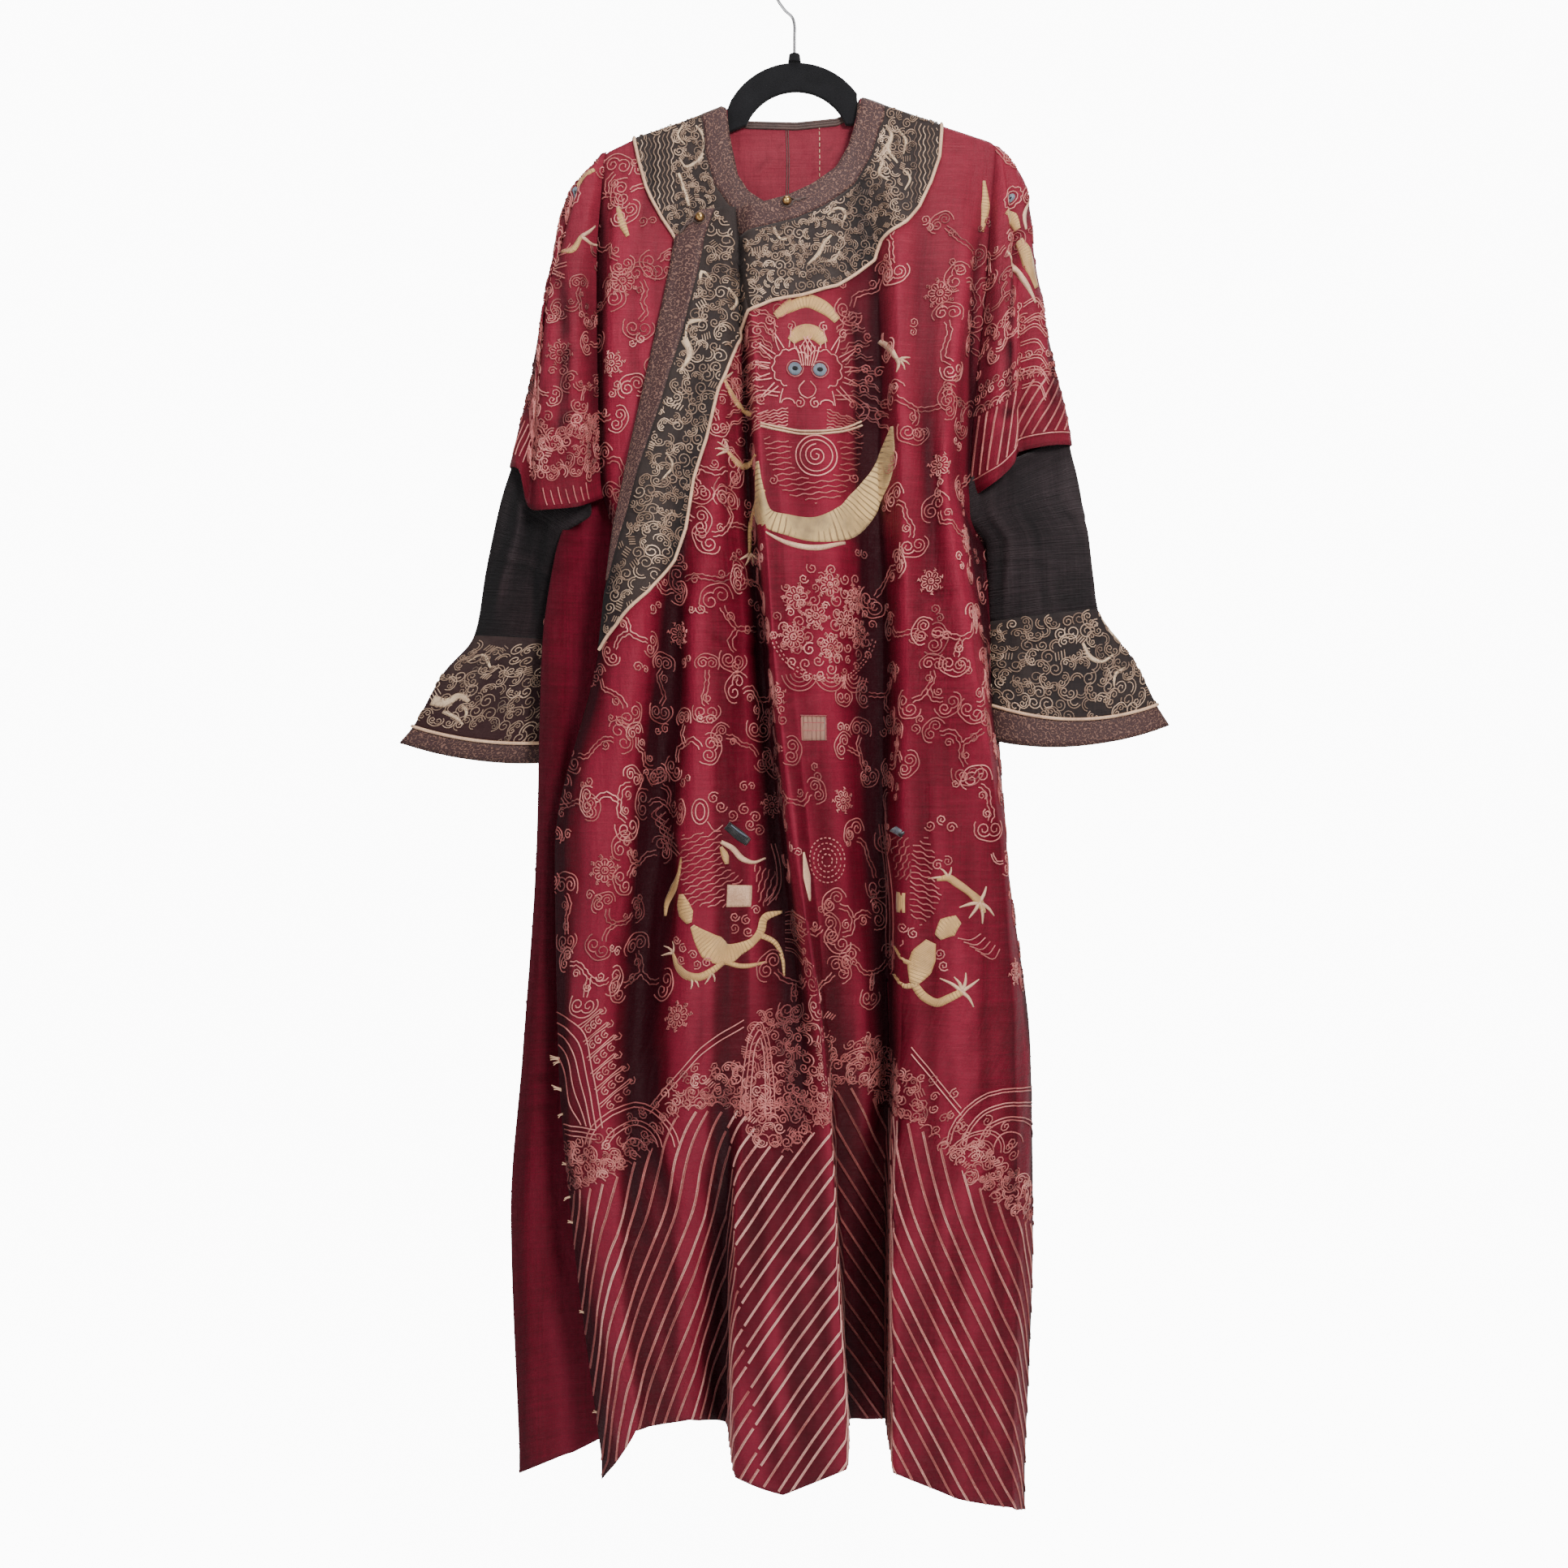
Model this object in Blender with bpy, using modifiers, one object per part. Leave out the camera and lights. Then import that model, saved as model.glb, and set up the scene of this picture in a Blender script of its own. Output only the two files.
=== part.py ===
# A Chinese dragon robe hanging on a slim hanger.
#
# Frame: the origin is the inside of the hook's crown, where a rail carries it. +Z is up,
# +X is the wearer's left and -Y is the front. Sizes are millimetres until a mesh is made.
# Each cloth panel is a wall through folds: a row of the tables gives one fold's place at
# nine levels, and the wall runs smoothly from fold to fold and from level to level.

import math
from collections import namedtuple

import bpy
import bmesh

MM = 0.001

# Walls and seams
CLOTH = 1.5          # silk with its backing
TRIM = 1.2           # collar, bands and bindings laid on the silk
SEAM = 0.3           # between pieces that are sewn together
PIPING_WIDTH = 3.2
PIPING_RISE = 2.8        # of the cuff's piping over the cuff's own ring
NECK_BAND_WIDTH = 26.0
SHOULDER_ROUND = 8.0     # radius of the fold over the hanger
SHOULDER_PART = 0.62     # half the way between front and back at the shoulder seam

# Hanger
HANGER_THICK = 6.0
HANGER_EDGE = 0.8
ARCH_CENTRE = (1.7, -176.0)
ARCH_RADIUS = 79.0
INNER_ARCH_CENTRE = (1.7, -183.0)
INNER_ARCH_RADIUS = 56.0
ARM_HEIGHT = 25.0
ARM_BELOW_SHOULDER = 3.0
ARM_ENDS = (-190.0, 195.0)
WIRE_RADIUS = 1.6
HOOK_RADIUS = 19.0       # inside of the crown
KNOB_RADIUS = 7.0
KNOB_HEIGHT = 9.0
BUTTON_RADIUS = 4.6

# Nine levels down the robe, from the hanger's tips to the hem
LEVELS = (192, 311, 532, 609, 711, 923, 1136, 1306, 1561)

# Rows of each panel: the steps over the shoulder, then depths down the body. The sleeves
# share the rows above their ends, so that both sides of an armhole have the same line.
SHOULDER_STEPS = (0.0, 1.5, SHOULDER_ROUND)
SLEEVE_ROWS = (225, 265, 311, 371, 430, 490, 550)
BODY_ROWS = SLEEVE_ROWS + (600, 655, 711, 810, 923, 1136, 1306, 1430)
ROW_MIN = 5.0        # least drop from row to row where a panel starts low
NECK_SHARE = 9.75    # one more column of the outer front, beside the neck
UNDER_NECK_SHARE = 4.45      # and of the under front

Fold = namedtuple("Fold", "name hem x y")

# The outer front, from its free edge on the wearer's right to the seam on the left.
OUTER_FRONT = (
    Fold("free_edge", -1583,
         (-109, -129, -177, -192, -203, -250, -247, -234, -203),
         (-14, -17, -22, -22, -18, -8, -4, 0, 8)),
    Fold("flap_ridge", -1518,
         (-92, -98, -137, -149, -161, -194, -200, -189, -158),
         (-15, -22, -38, -42, -46, -46, -42, -36, -30)),
    Fold("flap_valley", -1516,
         (-79, -83, -106, -117, -128, -145, -164, -163, -146),
         (-15, -20, -28, -24, -12, 2, -8, -26, -22)),
    Fold("left_ridge", -1513,
         (-72, -72, -83, -89, -98, -103, -105, -110, -109),
         (-15, -20, -32, -36, -38, -44, -46, -30, -8)),
    Fold("hem_valley", -1528,
         (-68, -66, -69, -70, -72, -68, -68, -71, -74),
         (-15, -14, -22, -26, -30, -34, -40, -6, 26)),
    Fold("hem_edge", -1551,
         (-65, -63, -59, -57, -54, -45, -45, -59, -60),
         (-14, -9, -10, -12, -16, -22, -38, -52, -68)),
    Fold("deep_valley", -1562,
         (-62, -58, -48, -43, -35, -14, 5, -4, -12),
         (-13, -6, -2, 0, 0, -2, -28, -62, -84)),
    Fold("main_ridge", -1537,
         (-46, -44, -34, -29, -22, 2, 31, 40, 53),
         (-12, -26, -46, -52, -56, -56, -52, -66, -84)),
    Fold("pleat_wall", -1533,
         (-24, -24, -16, -11, -4, 17, 38, 48, 62),
         (-12, -27, -46, -50, -52, -44, -10, 26, 46)),
    Fold("chest", -1535,
         (18, 18, 26, 30, 34, 47, 64, 72, 78),
         (-11, -24, -40, -42, -40, -30, -6, 34, 50)),
    Fold("chest_valley", -1534,
         (73, 84, 87, 89, 91, 93, 101, 98, 98),
         (-9, -8, -4, -2, 2, 10, 22, 38, 48)),
    Fold("right_ridge", -1547,
         (98, 108, 110, 113, 116, 111, 108, 100, 99),
         (-9, -30, -42, -46, -48, -46, -42, -56, -66)),
    Fold("right_mid", -1573,
         (128, 140, 141, 142, 145, 153, 161, 165, 164),
         (-9, -18, -30, -40, -52, -56, -58, -62, -66)),
    Fold("side_ridge", -1587,
         (170, 167, 154, 161, 179, 210, 225, 228, 221),
         (-9, -24, -44, -56, -60, -44, -42, -46, -54)),
    Fold("side_turn", -1599,
         (191, 187, 172, 192, 204, 219, 239, 241, 233),
         (-8, -8, -10, 10, 10, -20, -20, -22, -30)),
    Fold("side_seam", -1607,
         (210, 203, 185, 219, 218, 224, 248, 250, 240),
         (-7, 4, 6, 28, 26, 12, 4, 0, -10)),
)

# The shorter front beneath it, from the wearer's right side towards the middle.
UNDER_FRONT = (
    Fold("side_edge", -1470,
         (-198, -208, -204, -184, -176, -170, -164, -160, -155),
         (-7, 4, 6, 20, 28, 33, 36, 38, 40)),
    Fold("side_fold", -1474,
         (-181, -187, -185, -166, -154, -148, -142, -138, -134),
         (-8, -14, -10, 12, 28, 34, 38, 40, 42)),
    Fold("shoulder_ridge", -1476,
         (-160, -166, -159, -145, -128, -120, -112, -108, -103),
         (-9, -20, -14, 16, 30, 32, 34, 38, 42)),
    Fold("lapel_fold", -1478,
         (-126, -130, -126, -115, -94, -86, -77, -73, -68),
         (-9, -12, -6, 18, 30, 34, 38, 40, 42)),
    Fold("middle", -1480,
         (-84, -88, -76, -63, -51, -44, -38, -34, -29),
         (-8, -4, 6, 20, 32, 34, 36, 39, 42)),
    Fold("inner_edge", -1482,
         (-46, 5, 10, 14, 18, 20, 22, 22, 22),
         (-4, 0, 10, 22, 32, 36, 40, 42, 44)),
)

# The back hangs between the same side seam and its own free edge.
BACK_EDGE_X = (-198, -208, -205, -245, -265, -272, -287, -300, -293)
BACK_EDGE_Y = (7.5, 12, 16, 10, 8, 10, 14, 18, 30)
BEHIND_SEAM = (14.5, 9, 14, 3.3, 3.3, 3.3, 3.3, 3.3, 3.3)   # the armhole opens the seam above
BACK_DEPTH = (8, 20, 36, 46, 54, 64, 70, 76, 82)
BACK_LEFT_TURN = 0.25    # share of the width in which the free edge turns forward
BACK_RIGHT_TURN = 0.18
BackFold = namedtuple("BackFold", "share hem swell")
BACK_FOLDS = (
    BackFold(0.00, -1585, 0.0),
    BackFold(0.10, -1576, 3.0),
    BackFold(0.25, -1540, -6.0),
    BackFold(0.40, -1529, 9.0),
    BackFold(0.55, -1530, -9.0),
    BackFold(0.70, -1535, 9.0),
    BackFold(0.86, -1565, -6.0),
    BackFold(1.00, -1607, 0.0),
)

# Tops of the panels, as (x, z) from the wearer's right to the left
SHOULDER = ((-208, -195), (-167, -176), (-118, -160.5), (-75, -144), (-60, -138), (-40, -130),
            (50, -128), (70, -134.5), (121, -152), (168, -168), (205, -183), (212, -188))
OUTER_TOP = ((-124, -262), (-60, -240), (18, -190), (58, -131)) + SHOULDER[7:]
UNDER_TOP = SHOULDER[:4] + ((-66, -140), (25, -200))

# Outlines on the panels, seen from the front
NECKLINE = ((-117, -281), (-100, -258), (-83, -255), (-62, -251), (-33, -249), (-8, -242),
            (18, -229), (43, -210), (56, -187), (63, -163), (67, -138))
YOKE_LINE = ((-45, -364), (-24, -354), (7, -348), (43, -336), (63, -322), (83, -306), (92, -287),
             (115, -271), (129, -253), (142, -226), (151, -199), (153, -172), (153, -150))
LAPEL_VALLEY = ((-62, -251), (-57, -281), (-64, -307), (-56, -319), (-46, -357))
LAPEL_LINE = ((-45, -364), (-62, -395), (-79, -446), (-91, -496), (-104, -537), (-112, -588),
              (-125, -621), (-150, -654), (-175, -680), (-202, -716))
BINDING_LINE = ((-83, -255), (-93, -284), (-99, -318), (-115, -381), (-136, -455), (-160, -528),
                (-177, -586), (-193, -641))
UNDER_NECK = ((-73, -139), (-69, -161), (-67, -191), (-60, -216), (-48, -233), (-22, -249),
              (25, -258))
UNDER_YOKE_LINE = ((-167, -165), (-166, -185), (-161, -209), (-155, -230), (-138, -264),
                   (-122, -289), (-100, -315))
BACK_NECK = ((-74, -138), (-71, -150), (-60, -154), (-46, -156), (1, -157), (44, -153),
             (65, -148), (70, -132))
BACK_YOKE_LINE = ((-168, -165), (-160, -209), (-136, -239), (-85, -260), (-3, -269), (78, -256),
                  (125, -230), (151, -192), (156, -155))

# Upper sleeves: each row is a level z with x and y over the front's ridge and fold, into
# the crease and out to the outer edge. The valleys at both ends are the armhole's edges.
SleeveRow = namedtuple("SleeveRow", "z ridge fold crease strip edge")
RIGHT_SLEEVE = (
    SleeveRow(-197, (-201, -7), (-203, -7), (-204, -6), (-206, -5), (-208, 0)),
    SleeveRow(-235, (-212, -12), (-223, -12), (-227, -5), (-231, -6), (-237, 2)),
    SleeveRow(-286, (-222, -17), (-238, -14), (-244, -3), (-247, -6), (-252, 4)),
    SleeveRow(-371, (-230, -22), (-253, -18), (-262, -4), (-264, -8), (-269, 6)),
    SleeveRow(-456, (-230, -24), (-260, -20), (-269, -7), (-274, -10), (-285, 8)),
    SleeveRow(-532, (-229, -26), (-266, -20), (-275, -9), (-289, -11), (-303, 10)),
    SleeveRow(-570, (-227, -28), (-268, -20), (-279, -9), (-295, -11), (-308, 10)),
)
RIGHT_SLEEVE_ENDS = (-550, -566, -568, -562, -524, -518)
LEFT_SLEEVE = (
    SleeveRow(-196, (212, -7), (213, -7), (215, -6), (218, -5), (222, 0)),
    SleeveRow(-235, (213, -10), (219, -12), (222, -6), (233, -8), (244, 2)),
    SleeveRow(-286, (213, -14), (222, -15), (227, -5), (239, -10), (251, 4)),
    SleeveRow(-371, (213, -18), (227, -18), (232, -5), (248, -12), (266, 6)),
    SleeveRow(-456, (213, -20), (228, -20), (233, -5), (259, -14), (285, 6)),
    SleeveRow(-532, (209, -22), (227, -22), (235, -5), (264, -14), (298, 6)),
    SleeveRow(-560, (207, -23), (226, -22), (235, -5), (265, -14), (303, 6)),
)
LEFT_SLEEVE_ENDS = (-550, -538, -520, -505, -500, -496)
SLEEVE_BACK_SHARES = (0.12, 0.4, 0.75, 1.0)
SLEEVE_BACK_SWELL = ((197, 3), (286, 12), (456, 24), (570, 28))

# Lower sleeves: rings from the tuck inside the red sleeve to the hem of the cuff. A ring
# runs from its left end to its right end, with a half depth and a sag of its middle.
Ring = namedtuple("Ring", "left right half_depth sag")
RIGHT_ARM = (
    Ring((-292.5, 10, -500), (-238, 8, -545), 6, 0),
    Ring((-298.2, 10, -520), (-240, 10, -560), 8, 0),
    Ring((-309, 13, -553), (-246, 16, -590), 13, 0),
    Ring((-326, 20, -623), (-247, 34, -626), 13, 0),
    Ring((-340, 24, -694), (-243, 46, -698), 13, 0),
    Ring((-373, 26, -734), (-230, 60, -740), 14, 3),
    Ring((-406, 30, -790), (-208, 72, -798), 16, 14),
    Ring((-421, 32, -807), (-200, 76, -816), 16, 17),
)
LEFT_ARM = (
    Ring((202, -1, -530), (288.2, 6, -486), 7, 0),
    Ring((201, -2, -542), (289.6, 6, -497), 8, 0),
    Ring((196, -3, -566), (298, 5, -535), 13, 0),
    Ring((214, -6, -602), (307, 3, -595), 15, 0),
    Ring((223, -5, -680), (318, 2, -668), 15, 0),
    Ring((221, -5, -728), (357, 5, -723), 18, 8),
    Ring((219, -5, -769), (381, 8, -768), 20, 16),
    Ring((216, -5, -805), (395, 10, -789), 21, 14),
)
CUFF_TOP_RING = 4
CUFF_PIPING_RING = 6

# Colours: (red, green, blue, roughness, metallic)
RED_SILK = (0.42, 0.03, 0.06, 0.5, 0.0)
DARK_CLOTH = (0.035, 0.028, 0.03, 0.7, 0.0)
COLLAR_CLOTH = (0.06, 0.045, 0.045, 0.65, 0.0)
BROWN_BINDING = (0.11, 0.06, 0.05, 0.7, 0.0)
CREAM_PIPING = (0.75, 0.62, 0.45, 0.5, 0.0)
BLACK_FLOCK = (0.01, 0.01, 0.012, 0.95, 0.0)
STEEL = (0.6, 0.6, 0.6, 0.25, 1.0)
GILT = (0.7, 0.45, 0.18, 0.35, 0.9)


def clear_scene():
    for item in list(bpy.data.objects):
        bpy.data.objects.remove(item, do_unlink=True)


def make_collection(name, hidden=False):
    group = bpy.data.collections.new(name)
    bpy.context.scene.collection.children.link(group)
    group.hide_render = hidden
    return group


def material(name, look):
    made = bpy.data.materials.get(name)
    if made:
        return made
    made = bpy.data.materials.new(name)
    made.use_nodes = True
    shader = made.node_tree.nodes["Principled BSDF"]
    shader.inputs["Base Color"].default_value = (*look[:3], 1.0)
    shader.inputs["Roughness"].default_value = look[3]
    shader.inputs["Metallic"].default_value = look[4]
    return made


# ---- Smooth tables ----

def slopes_through(knots, values):
    # Slopes that give no overshoot: flat at each ridge or valley.
    spans = [max(b - a, 0.5) for a, b in zip(knots, knots[1:])]
    rises = [(b - a) / s for a, b, s in zip(values, values[1:], spans)]
    slopes = [rises[0]]
    for before, after in zip(rises, rises[1:]):
        if before * after <= 0:
            slopes.append(0.0)
        else:
            slopes.append(2 * before * after / (before + after))
    slopes.append(rises[-1])
    return spans, slopes


def hermite(start, end, slope_in, slope_out, span, t):
    t2 = t * t
    t3 = t2 * t
    value = start * (2 * t3 - 3 * t2 + 1) + end * (3 * t2 - 2 * t3)
    return value + span * (slope_in * (t3 - 2 * t2 + t) + slope_out * (t3 - t2))


def smooth_at(knots, values, at):
    at = min(max(at, knots[0]), knots[-1])
    spans, slopes = slopes_through(knots, values)
    index = 0
    while index < len(spans) - 1 and at > knots[index + 1]:
        index += 1
    t = (at - knots[index]) / spans[index]
    return hermite(values[index], values[index + 1], slopes[index], slopes[index + 1],
                   spans[index], t)


def straight_at(points, at):
    at = min(max(at, points[0][0]), points[-1][0])
    for (x0, v0), (x1, v1) in zip(points, points[1:]):
        if at <= x1:
            return v0 + (v1 - v0) * (at - x0) / max(x1 - x0, 1e-6)
    return points[-1][1]


def section(folds, z):
    # Each fold's x and y at one height.
    return [(smooth_at(LEVELS, fold.x, -z), smooth_at(LEVELS, fold.y, -z)) for fold in folds]


def across(folds, u, z):
    # A point of a panel: u counts the folds from its first edge.
    line = section(folds, z)
    xs = [x for x, y in line]
    ys = [y for x, y in line]
    index = min(int(u), len(folds) - 2)
    t = u - index
    spans, slopes = slopes_through(xs, ys)
    x = xs[index] + (xs[index + 1] - xs[index]) * t
    y = hermite(ys[index], ys[index + 1], slopes[index], slopes[index + 1], spans[index], t)
    return x, y


def share_at(folds, x, z):
    # Where a front x lies between the folds.
    xs = [point[0] for point in section(folds, z)]
    for index, (left, right) in enumerate(zip(xs, xs[1:])):
        if x <= right:
            return index + (x - left) / max(right - left, 1e-6)
    return float(len(xs) - 1)


def back_folds():
    seam = OUTER_FRONT[-1]
    folds = []
    for row in BACK_FOLDS:
        left = min(1.0, row.share / BACK_LEFT_TURN)
        right = min(1.0, (1.0 - row.share) / BACK_RIGHT_TURN)
        turn = math.sin(min(left, right) * math.pi / 2)
        xs = []
        ys = []
        for index, level in enumerate(LEVELS):
            edge_x = BACK_EDGE_X[index]
            edge_y = BACK_EDGE_Y[index]
            if row.share > 0.5:
                edge_y = seam.y[index] + BEHIND_SEAM[index]
            grown = (level - LEVELS[0]) / (LEVELS[-1] - LEVELS[0])
            xs.append(edge_x + (seam.x[index] - edge_x) * row.share)
            ys.append(edge_y + (BACK_DEPTH[index] - edge_y) * turn + row.swell * grown)
        folds.append(Fold(f"back_{row.share:.2f}", row.hem, tuple(xs), tuple(ys)))
    return tuple(folds)


# ---- Meshes ----

def grid_mesh(name, rows, closed_round=False, outward_flip=False):
    # A skin through rows of points, in millimetres.
    columns = len(rows[0])
    points = [(x * MM, y * MM, z * MM) for row in rows for x, y, z in row]
    faces = []
    last = columns if closed_round else columns - 1
    for row in range(len(rows) - 1):
        for column in range(last):
            a = row * columns + column
            b = row * columns + (column + 1) % columns
            for face in ((a, b, b + columns), (a, b + columns, a + columns)):
                faces.append(face[::-1] if outward_flip else face)
    mesh = bpy.data.meshes.new(name)
    mesh.from_pydata(points, [], faces)
    mesh.update()
    return mesh


def put(name, mesh, look_name, look, group):
    item = bpy.data.objects.new(name, mesh)
    item.data.materials.append(material(look_name, look))
    group.objects.link(item)
    return item


def thicken(item, thickness, outwards):
    wall = item.modifiers.new("wall", "SOLIDIFY")
    wall.thickness = thickness * MM
    wall.offset = 1.0 if outwards else -1.0
    wall.use_rim = True
    return wall


def raised(mesh, distance):
    # The same skin moved out along its own normals.
    copy = mesh.copy()
    lifts = [vertex.normal.copy() for vertex in copy.vertices]
    for vertex, lift in zip(copy.vertices, lifts):
        vertex.co += lift * distance * MM
    copy.update()
    return copy


def prism(name, outline, near, far, group):
    # An outline in x and z, drawn out in y, that trims a skin.
    mesh = bpy.data.meshes.new(name)
    shape = bmesh.new()
    corners = [shape.verts.new((x * MM, near * MM, z * MM)) for x, z in outline]
    face = shape.faces.new(corners)
    moved = bmesh.ops.extrude_face_region(shape, geom=[face])
    for item in moved["geom"]:
        if isinstance(item, bmesh.types.BMVert):
            item.co.y = far * MM
    bmesh.ops.recalc_face_normals(shape, faces=shape.faces)
    shape.to_mesh(mesh)
    shape.free()
    cutter = bpy.data.objects.new(name, mesh)
    cutter.hide_render = True
    cutter.display_type = "WIRE"
    group.objects.link(cutter)
    return cutter


def trim_with(item, cutter, operation):
    cut = item.modifiers.new("outline", "BOOLEAN")
    cut.operation = operation
    cut.object = cutter
    cut.solver = "EXACT"


def beside(path, distance):
    # A path moved to the right of its direction.
    moved = []
    for index, (x, z) in enumerate(path):
        x0, z0 = path[max(index - 1, 0)]
        x1, z1 = path[min(index + 1, len(path) - 1)]
        length = math.hypot(x1 - x0, z1 - z0)
        moved.append((x + (z1 - z0) / length * distance, z - (x1 - x0) / length * distance))
    return moved


# ---- Panels ----

def fold_over_shoulder(y, below, side):
    # Near its top a panel bends over the hanger to the shoulder seam.
    t = min(max(below / SHOULDER_ROUND, 0.0), 1.0)
    ease = math.sqrt(1.0 - (1.0 - t) ** 2)
    return side * SHOULDER_PART + (y - side * SHOULDER_PART) * ease


def panel_rows(folds, tops, side, per_fold, over_from=None, more_shares=()):
    # Rows of points from the top, over the shoulder and down the body's rows to the hem.
    shares = [i / per_fold for i in range((len(folds) - 1) * per_fold + 1)]
    shares = sorted(shares + list(more_shares))
    rows = [[] for _ in range(len(SHOULDER_STEPS) + len(BODY_ROWS) + 1)]
    for u in shares:
        index = min(int(u), len(folds) - 2)
        t = u - index
        x_top = across(folds, u, -LEVELS[0])[0]
        top = straight_at(tops, x_top)
        hem = folds[index].hem + (folds[index + 1].hem - folds[index].hem) * t
        heights = [top - step for step in SHOULDER_STEPS]
        start = heights[-1]
        for count, depth in enumerate(BODY_ROWS):
            heights.append(min(start - ROW_MIN * (count + 1), -depth))
        heights.append(hem)
        for row, z in zip(rows, heights):
            x, y = across(folds, u, z)
            if over_from is None or over_from(x):
                y = fold_over_shoulder(y, top - z, side)
            row.append((x, y, z))
    return rows


def robe_panels(group, cutters):
    silk = ("red_silk", RED_SILK)
    outer_rows = panel_rows(OUTER_FRONT, OUTER_TOP, -1, 2, over_from=lambda x: x > 50,
                            more_shares=[NECK_SHARE])
    outer_skin = grid_mesh("outer_front", outer_rows, outward_flip=True)
    outer = put("outer_front", outer_skin, *silk, group)
    thicken(outer, CLOTH, outwards=False)
    neck = [(-150, -283)] + list(NECKLINE) + [(69, -90), (-150, -90)]
    trim_with(outer, prism("outer_neck_cutter", neck, -80, 60, cutters), "DIFFERENCE")

    under_rows = panel_rows(UNDER_FRONT, UNDER_TOP, -1, 1, over_from=lambda x: x < -66,
                            more_shares=[UNDER_NECK_SHARE])
    under_skin = grid_mesh("under_front", under_rows, outward_flip=True)
    under = put("under_front", under_skin, *silk, group)
    thicken(under, CLOTH, outwards=False)
    neck = list(UNDER_NECK) + [(60, -258), (60, -90), (-71, -90)]
    trim_with(under, prism("under_neck_cutter", neck, -80, 60, cutters), "DIFFERENCE")

    back_rows = panel_rows(back_folds(), SHOULDER, 1, 2)
    back_skin = grid_mesh("back", back_rows)
    back = put("back", back_skin, *silk, group)
    thicken(back, CLOTH, outwards=False)
    neck = list(BACK_NECK) + [(70, -90), (-75, -90)]
    trim_with(back, prism("back_neck_cutter", neck, -80, 120, cutters), "DIFFERENCE")
    return outer_skin, under_skin, back_skin


# ---- What is laid on the panels ----

def laid_piece(name, skin, outline, look, group, cutters):
    # A piece of trim made from the panel's own points, moved out and trimmed to its outline.
    item = put(name, raised(skin, SEAM), *look, group)
    thicken(item, TRIM, outwards=True)
    trim_with(item, prism(name + "_outline", outline, -130, 130, cutters), "INTERSECT")
    return item


def strip_outline(path, start, end):
    return beside(path, start) + beside(path, end)[::-1]


def collar(outer_skin, under_skin, back_skin, group, cutters):
    dark = ("collar_cloth", COLLAR_CLOTH)
    brown = ("brown_binding", BROWN_BINDING)
    cream = ("cream_piping", CREAM_PIPING)
    half = SEAM / 2

    throat = list(NECKLINE[3:])
    band_line = beside(throat, NECK_BAND_WIDTH)
    band_line[0] = (LAPEL_VALLEY[1][0] + half, LAPEL_VALLEY[1][1])
    outline = [(LAPEL_VALLEY[0][0] + half, LAPEL_VALLEY[0][1])] + throat[1:] + [(69, -110), (95, -110)]
    laid_piece("neck_band_front", outer_skin, outline + band_line[::-1], brown, group, cutters)

    inner = [(x, z - SEAM) for x, z in band_line[:-1]] + [(95 + SEAM, -152), (95 + SEAM, -120)]
    valley = [(x + half, z) for x, z in LAPEL_VALLEY[2:]]
    outline = inner + [(153, -120)] + list(YOKE_LINE)[::-1] + valley[::-1]
    laid_piece("collar_front", outer_skin, outline, dark, group, cutters)

    laid_piece("collar_piping_front", outer_skin, strip_outline(YOKE_LINE, SEAM, PIPING_WIDTH),
               cream, group, cutters)

    lapel = [(x - half, z) for x, z in LAPEL_VALLEY] + list(LAPEL_LINE)
    far_edge = [(-235, -720), (-220, -641)]
    binding = [(x + half, z) for x, z in BINDING_LINE]
    laid_piece("overlap_band", outer_skin, lapel + far_edge + binding[::-1], dark, group, cutters)

    outside = [(-220, -640.5), (-205, -532), (-160, -311), (-135, -284)]
    binding = [(x - half, z) for x, z in BINDING_LINE]
    outline = list(NECKLINE[:2]) + binding + outside
    laid_piece("overlap_binding", outer_skin, outline, brown, group, cutters)

    path = list(LAPEL_LINE[1:]) + [(-220, -734)]
    laid_piece("overlap_piping", outer_skin, strip_outline(path, -SEAM, -PIPING_WIDTH),
               cream, group, cutters)

    neck = list(UNDER_NECK[:6])
    band_line = beside(neck, NECK_BAND_WIDTH)
    outline = [(-73, -120)] + neck + band_line[::-1] + [(-99, -120)]
    laid_piece("neck_band_under", under_skin, outline, brown, group, cutters)

    inner = [(x - SEAM, z) for x, z in band_line[:4]]
    outline = [(inner[0][0], -120)] + inner + list(UNDER_YOKE_LINE)[::-1] + [(-167, -120)]
    laid_piece("collar_under", under_skin, outline, dark, group, cutters)

    laid_piece("collar_piping_under", under_skin,
               strip_outline(UNDER_YOKE_LINE[:-1], SEAM, PIPING_WIDTH), cream, group, cutters)

    band_line = beside(BACK_NECK, NECK_BAND_WIDTH)
    outline = [(-75, -110)] + list(BACK_NECK) + [(70, -110), (95, -110)] + band_line[::-1][1:-1]
    outline += [(-99, -150), (-99, -110)]
    laid_piece("neck_band_back", back_skin, outline, brown, group, cutters)

    inner = [(x, z - SEAM) for x, z in band_line[1:-1]]
    outline = [(-99 - SEAM, -110), (-99 - SEAM, -150)] + inner + [(95 + SEAM, -110)]
    outline += [(156, -110)] + list(BACK_YOKE_LINE)[::-1] + [(-168, -110)]
    laid_piece("collar_back", back_skin, outline, dark, group, cutters)

    laid_piece("collar_piping_back", back_skin,
               strip_outline(BACK_YOKE_LINE, SEAM, PIPING_WIDTH), cream, group, cutters)


# ---- Sleeves ----

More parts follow.
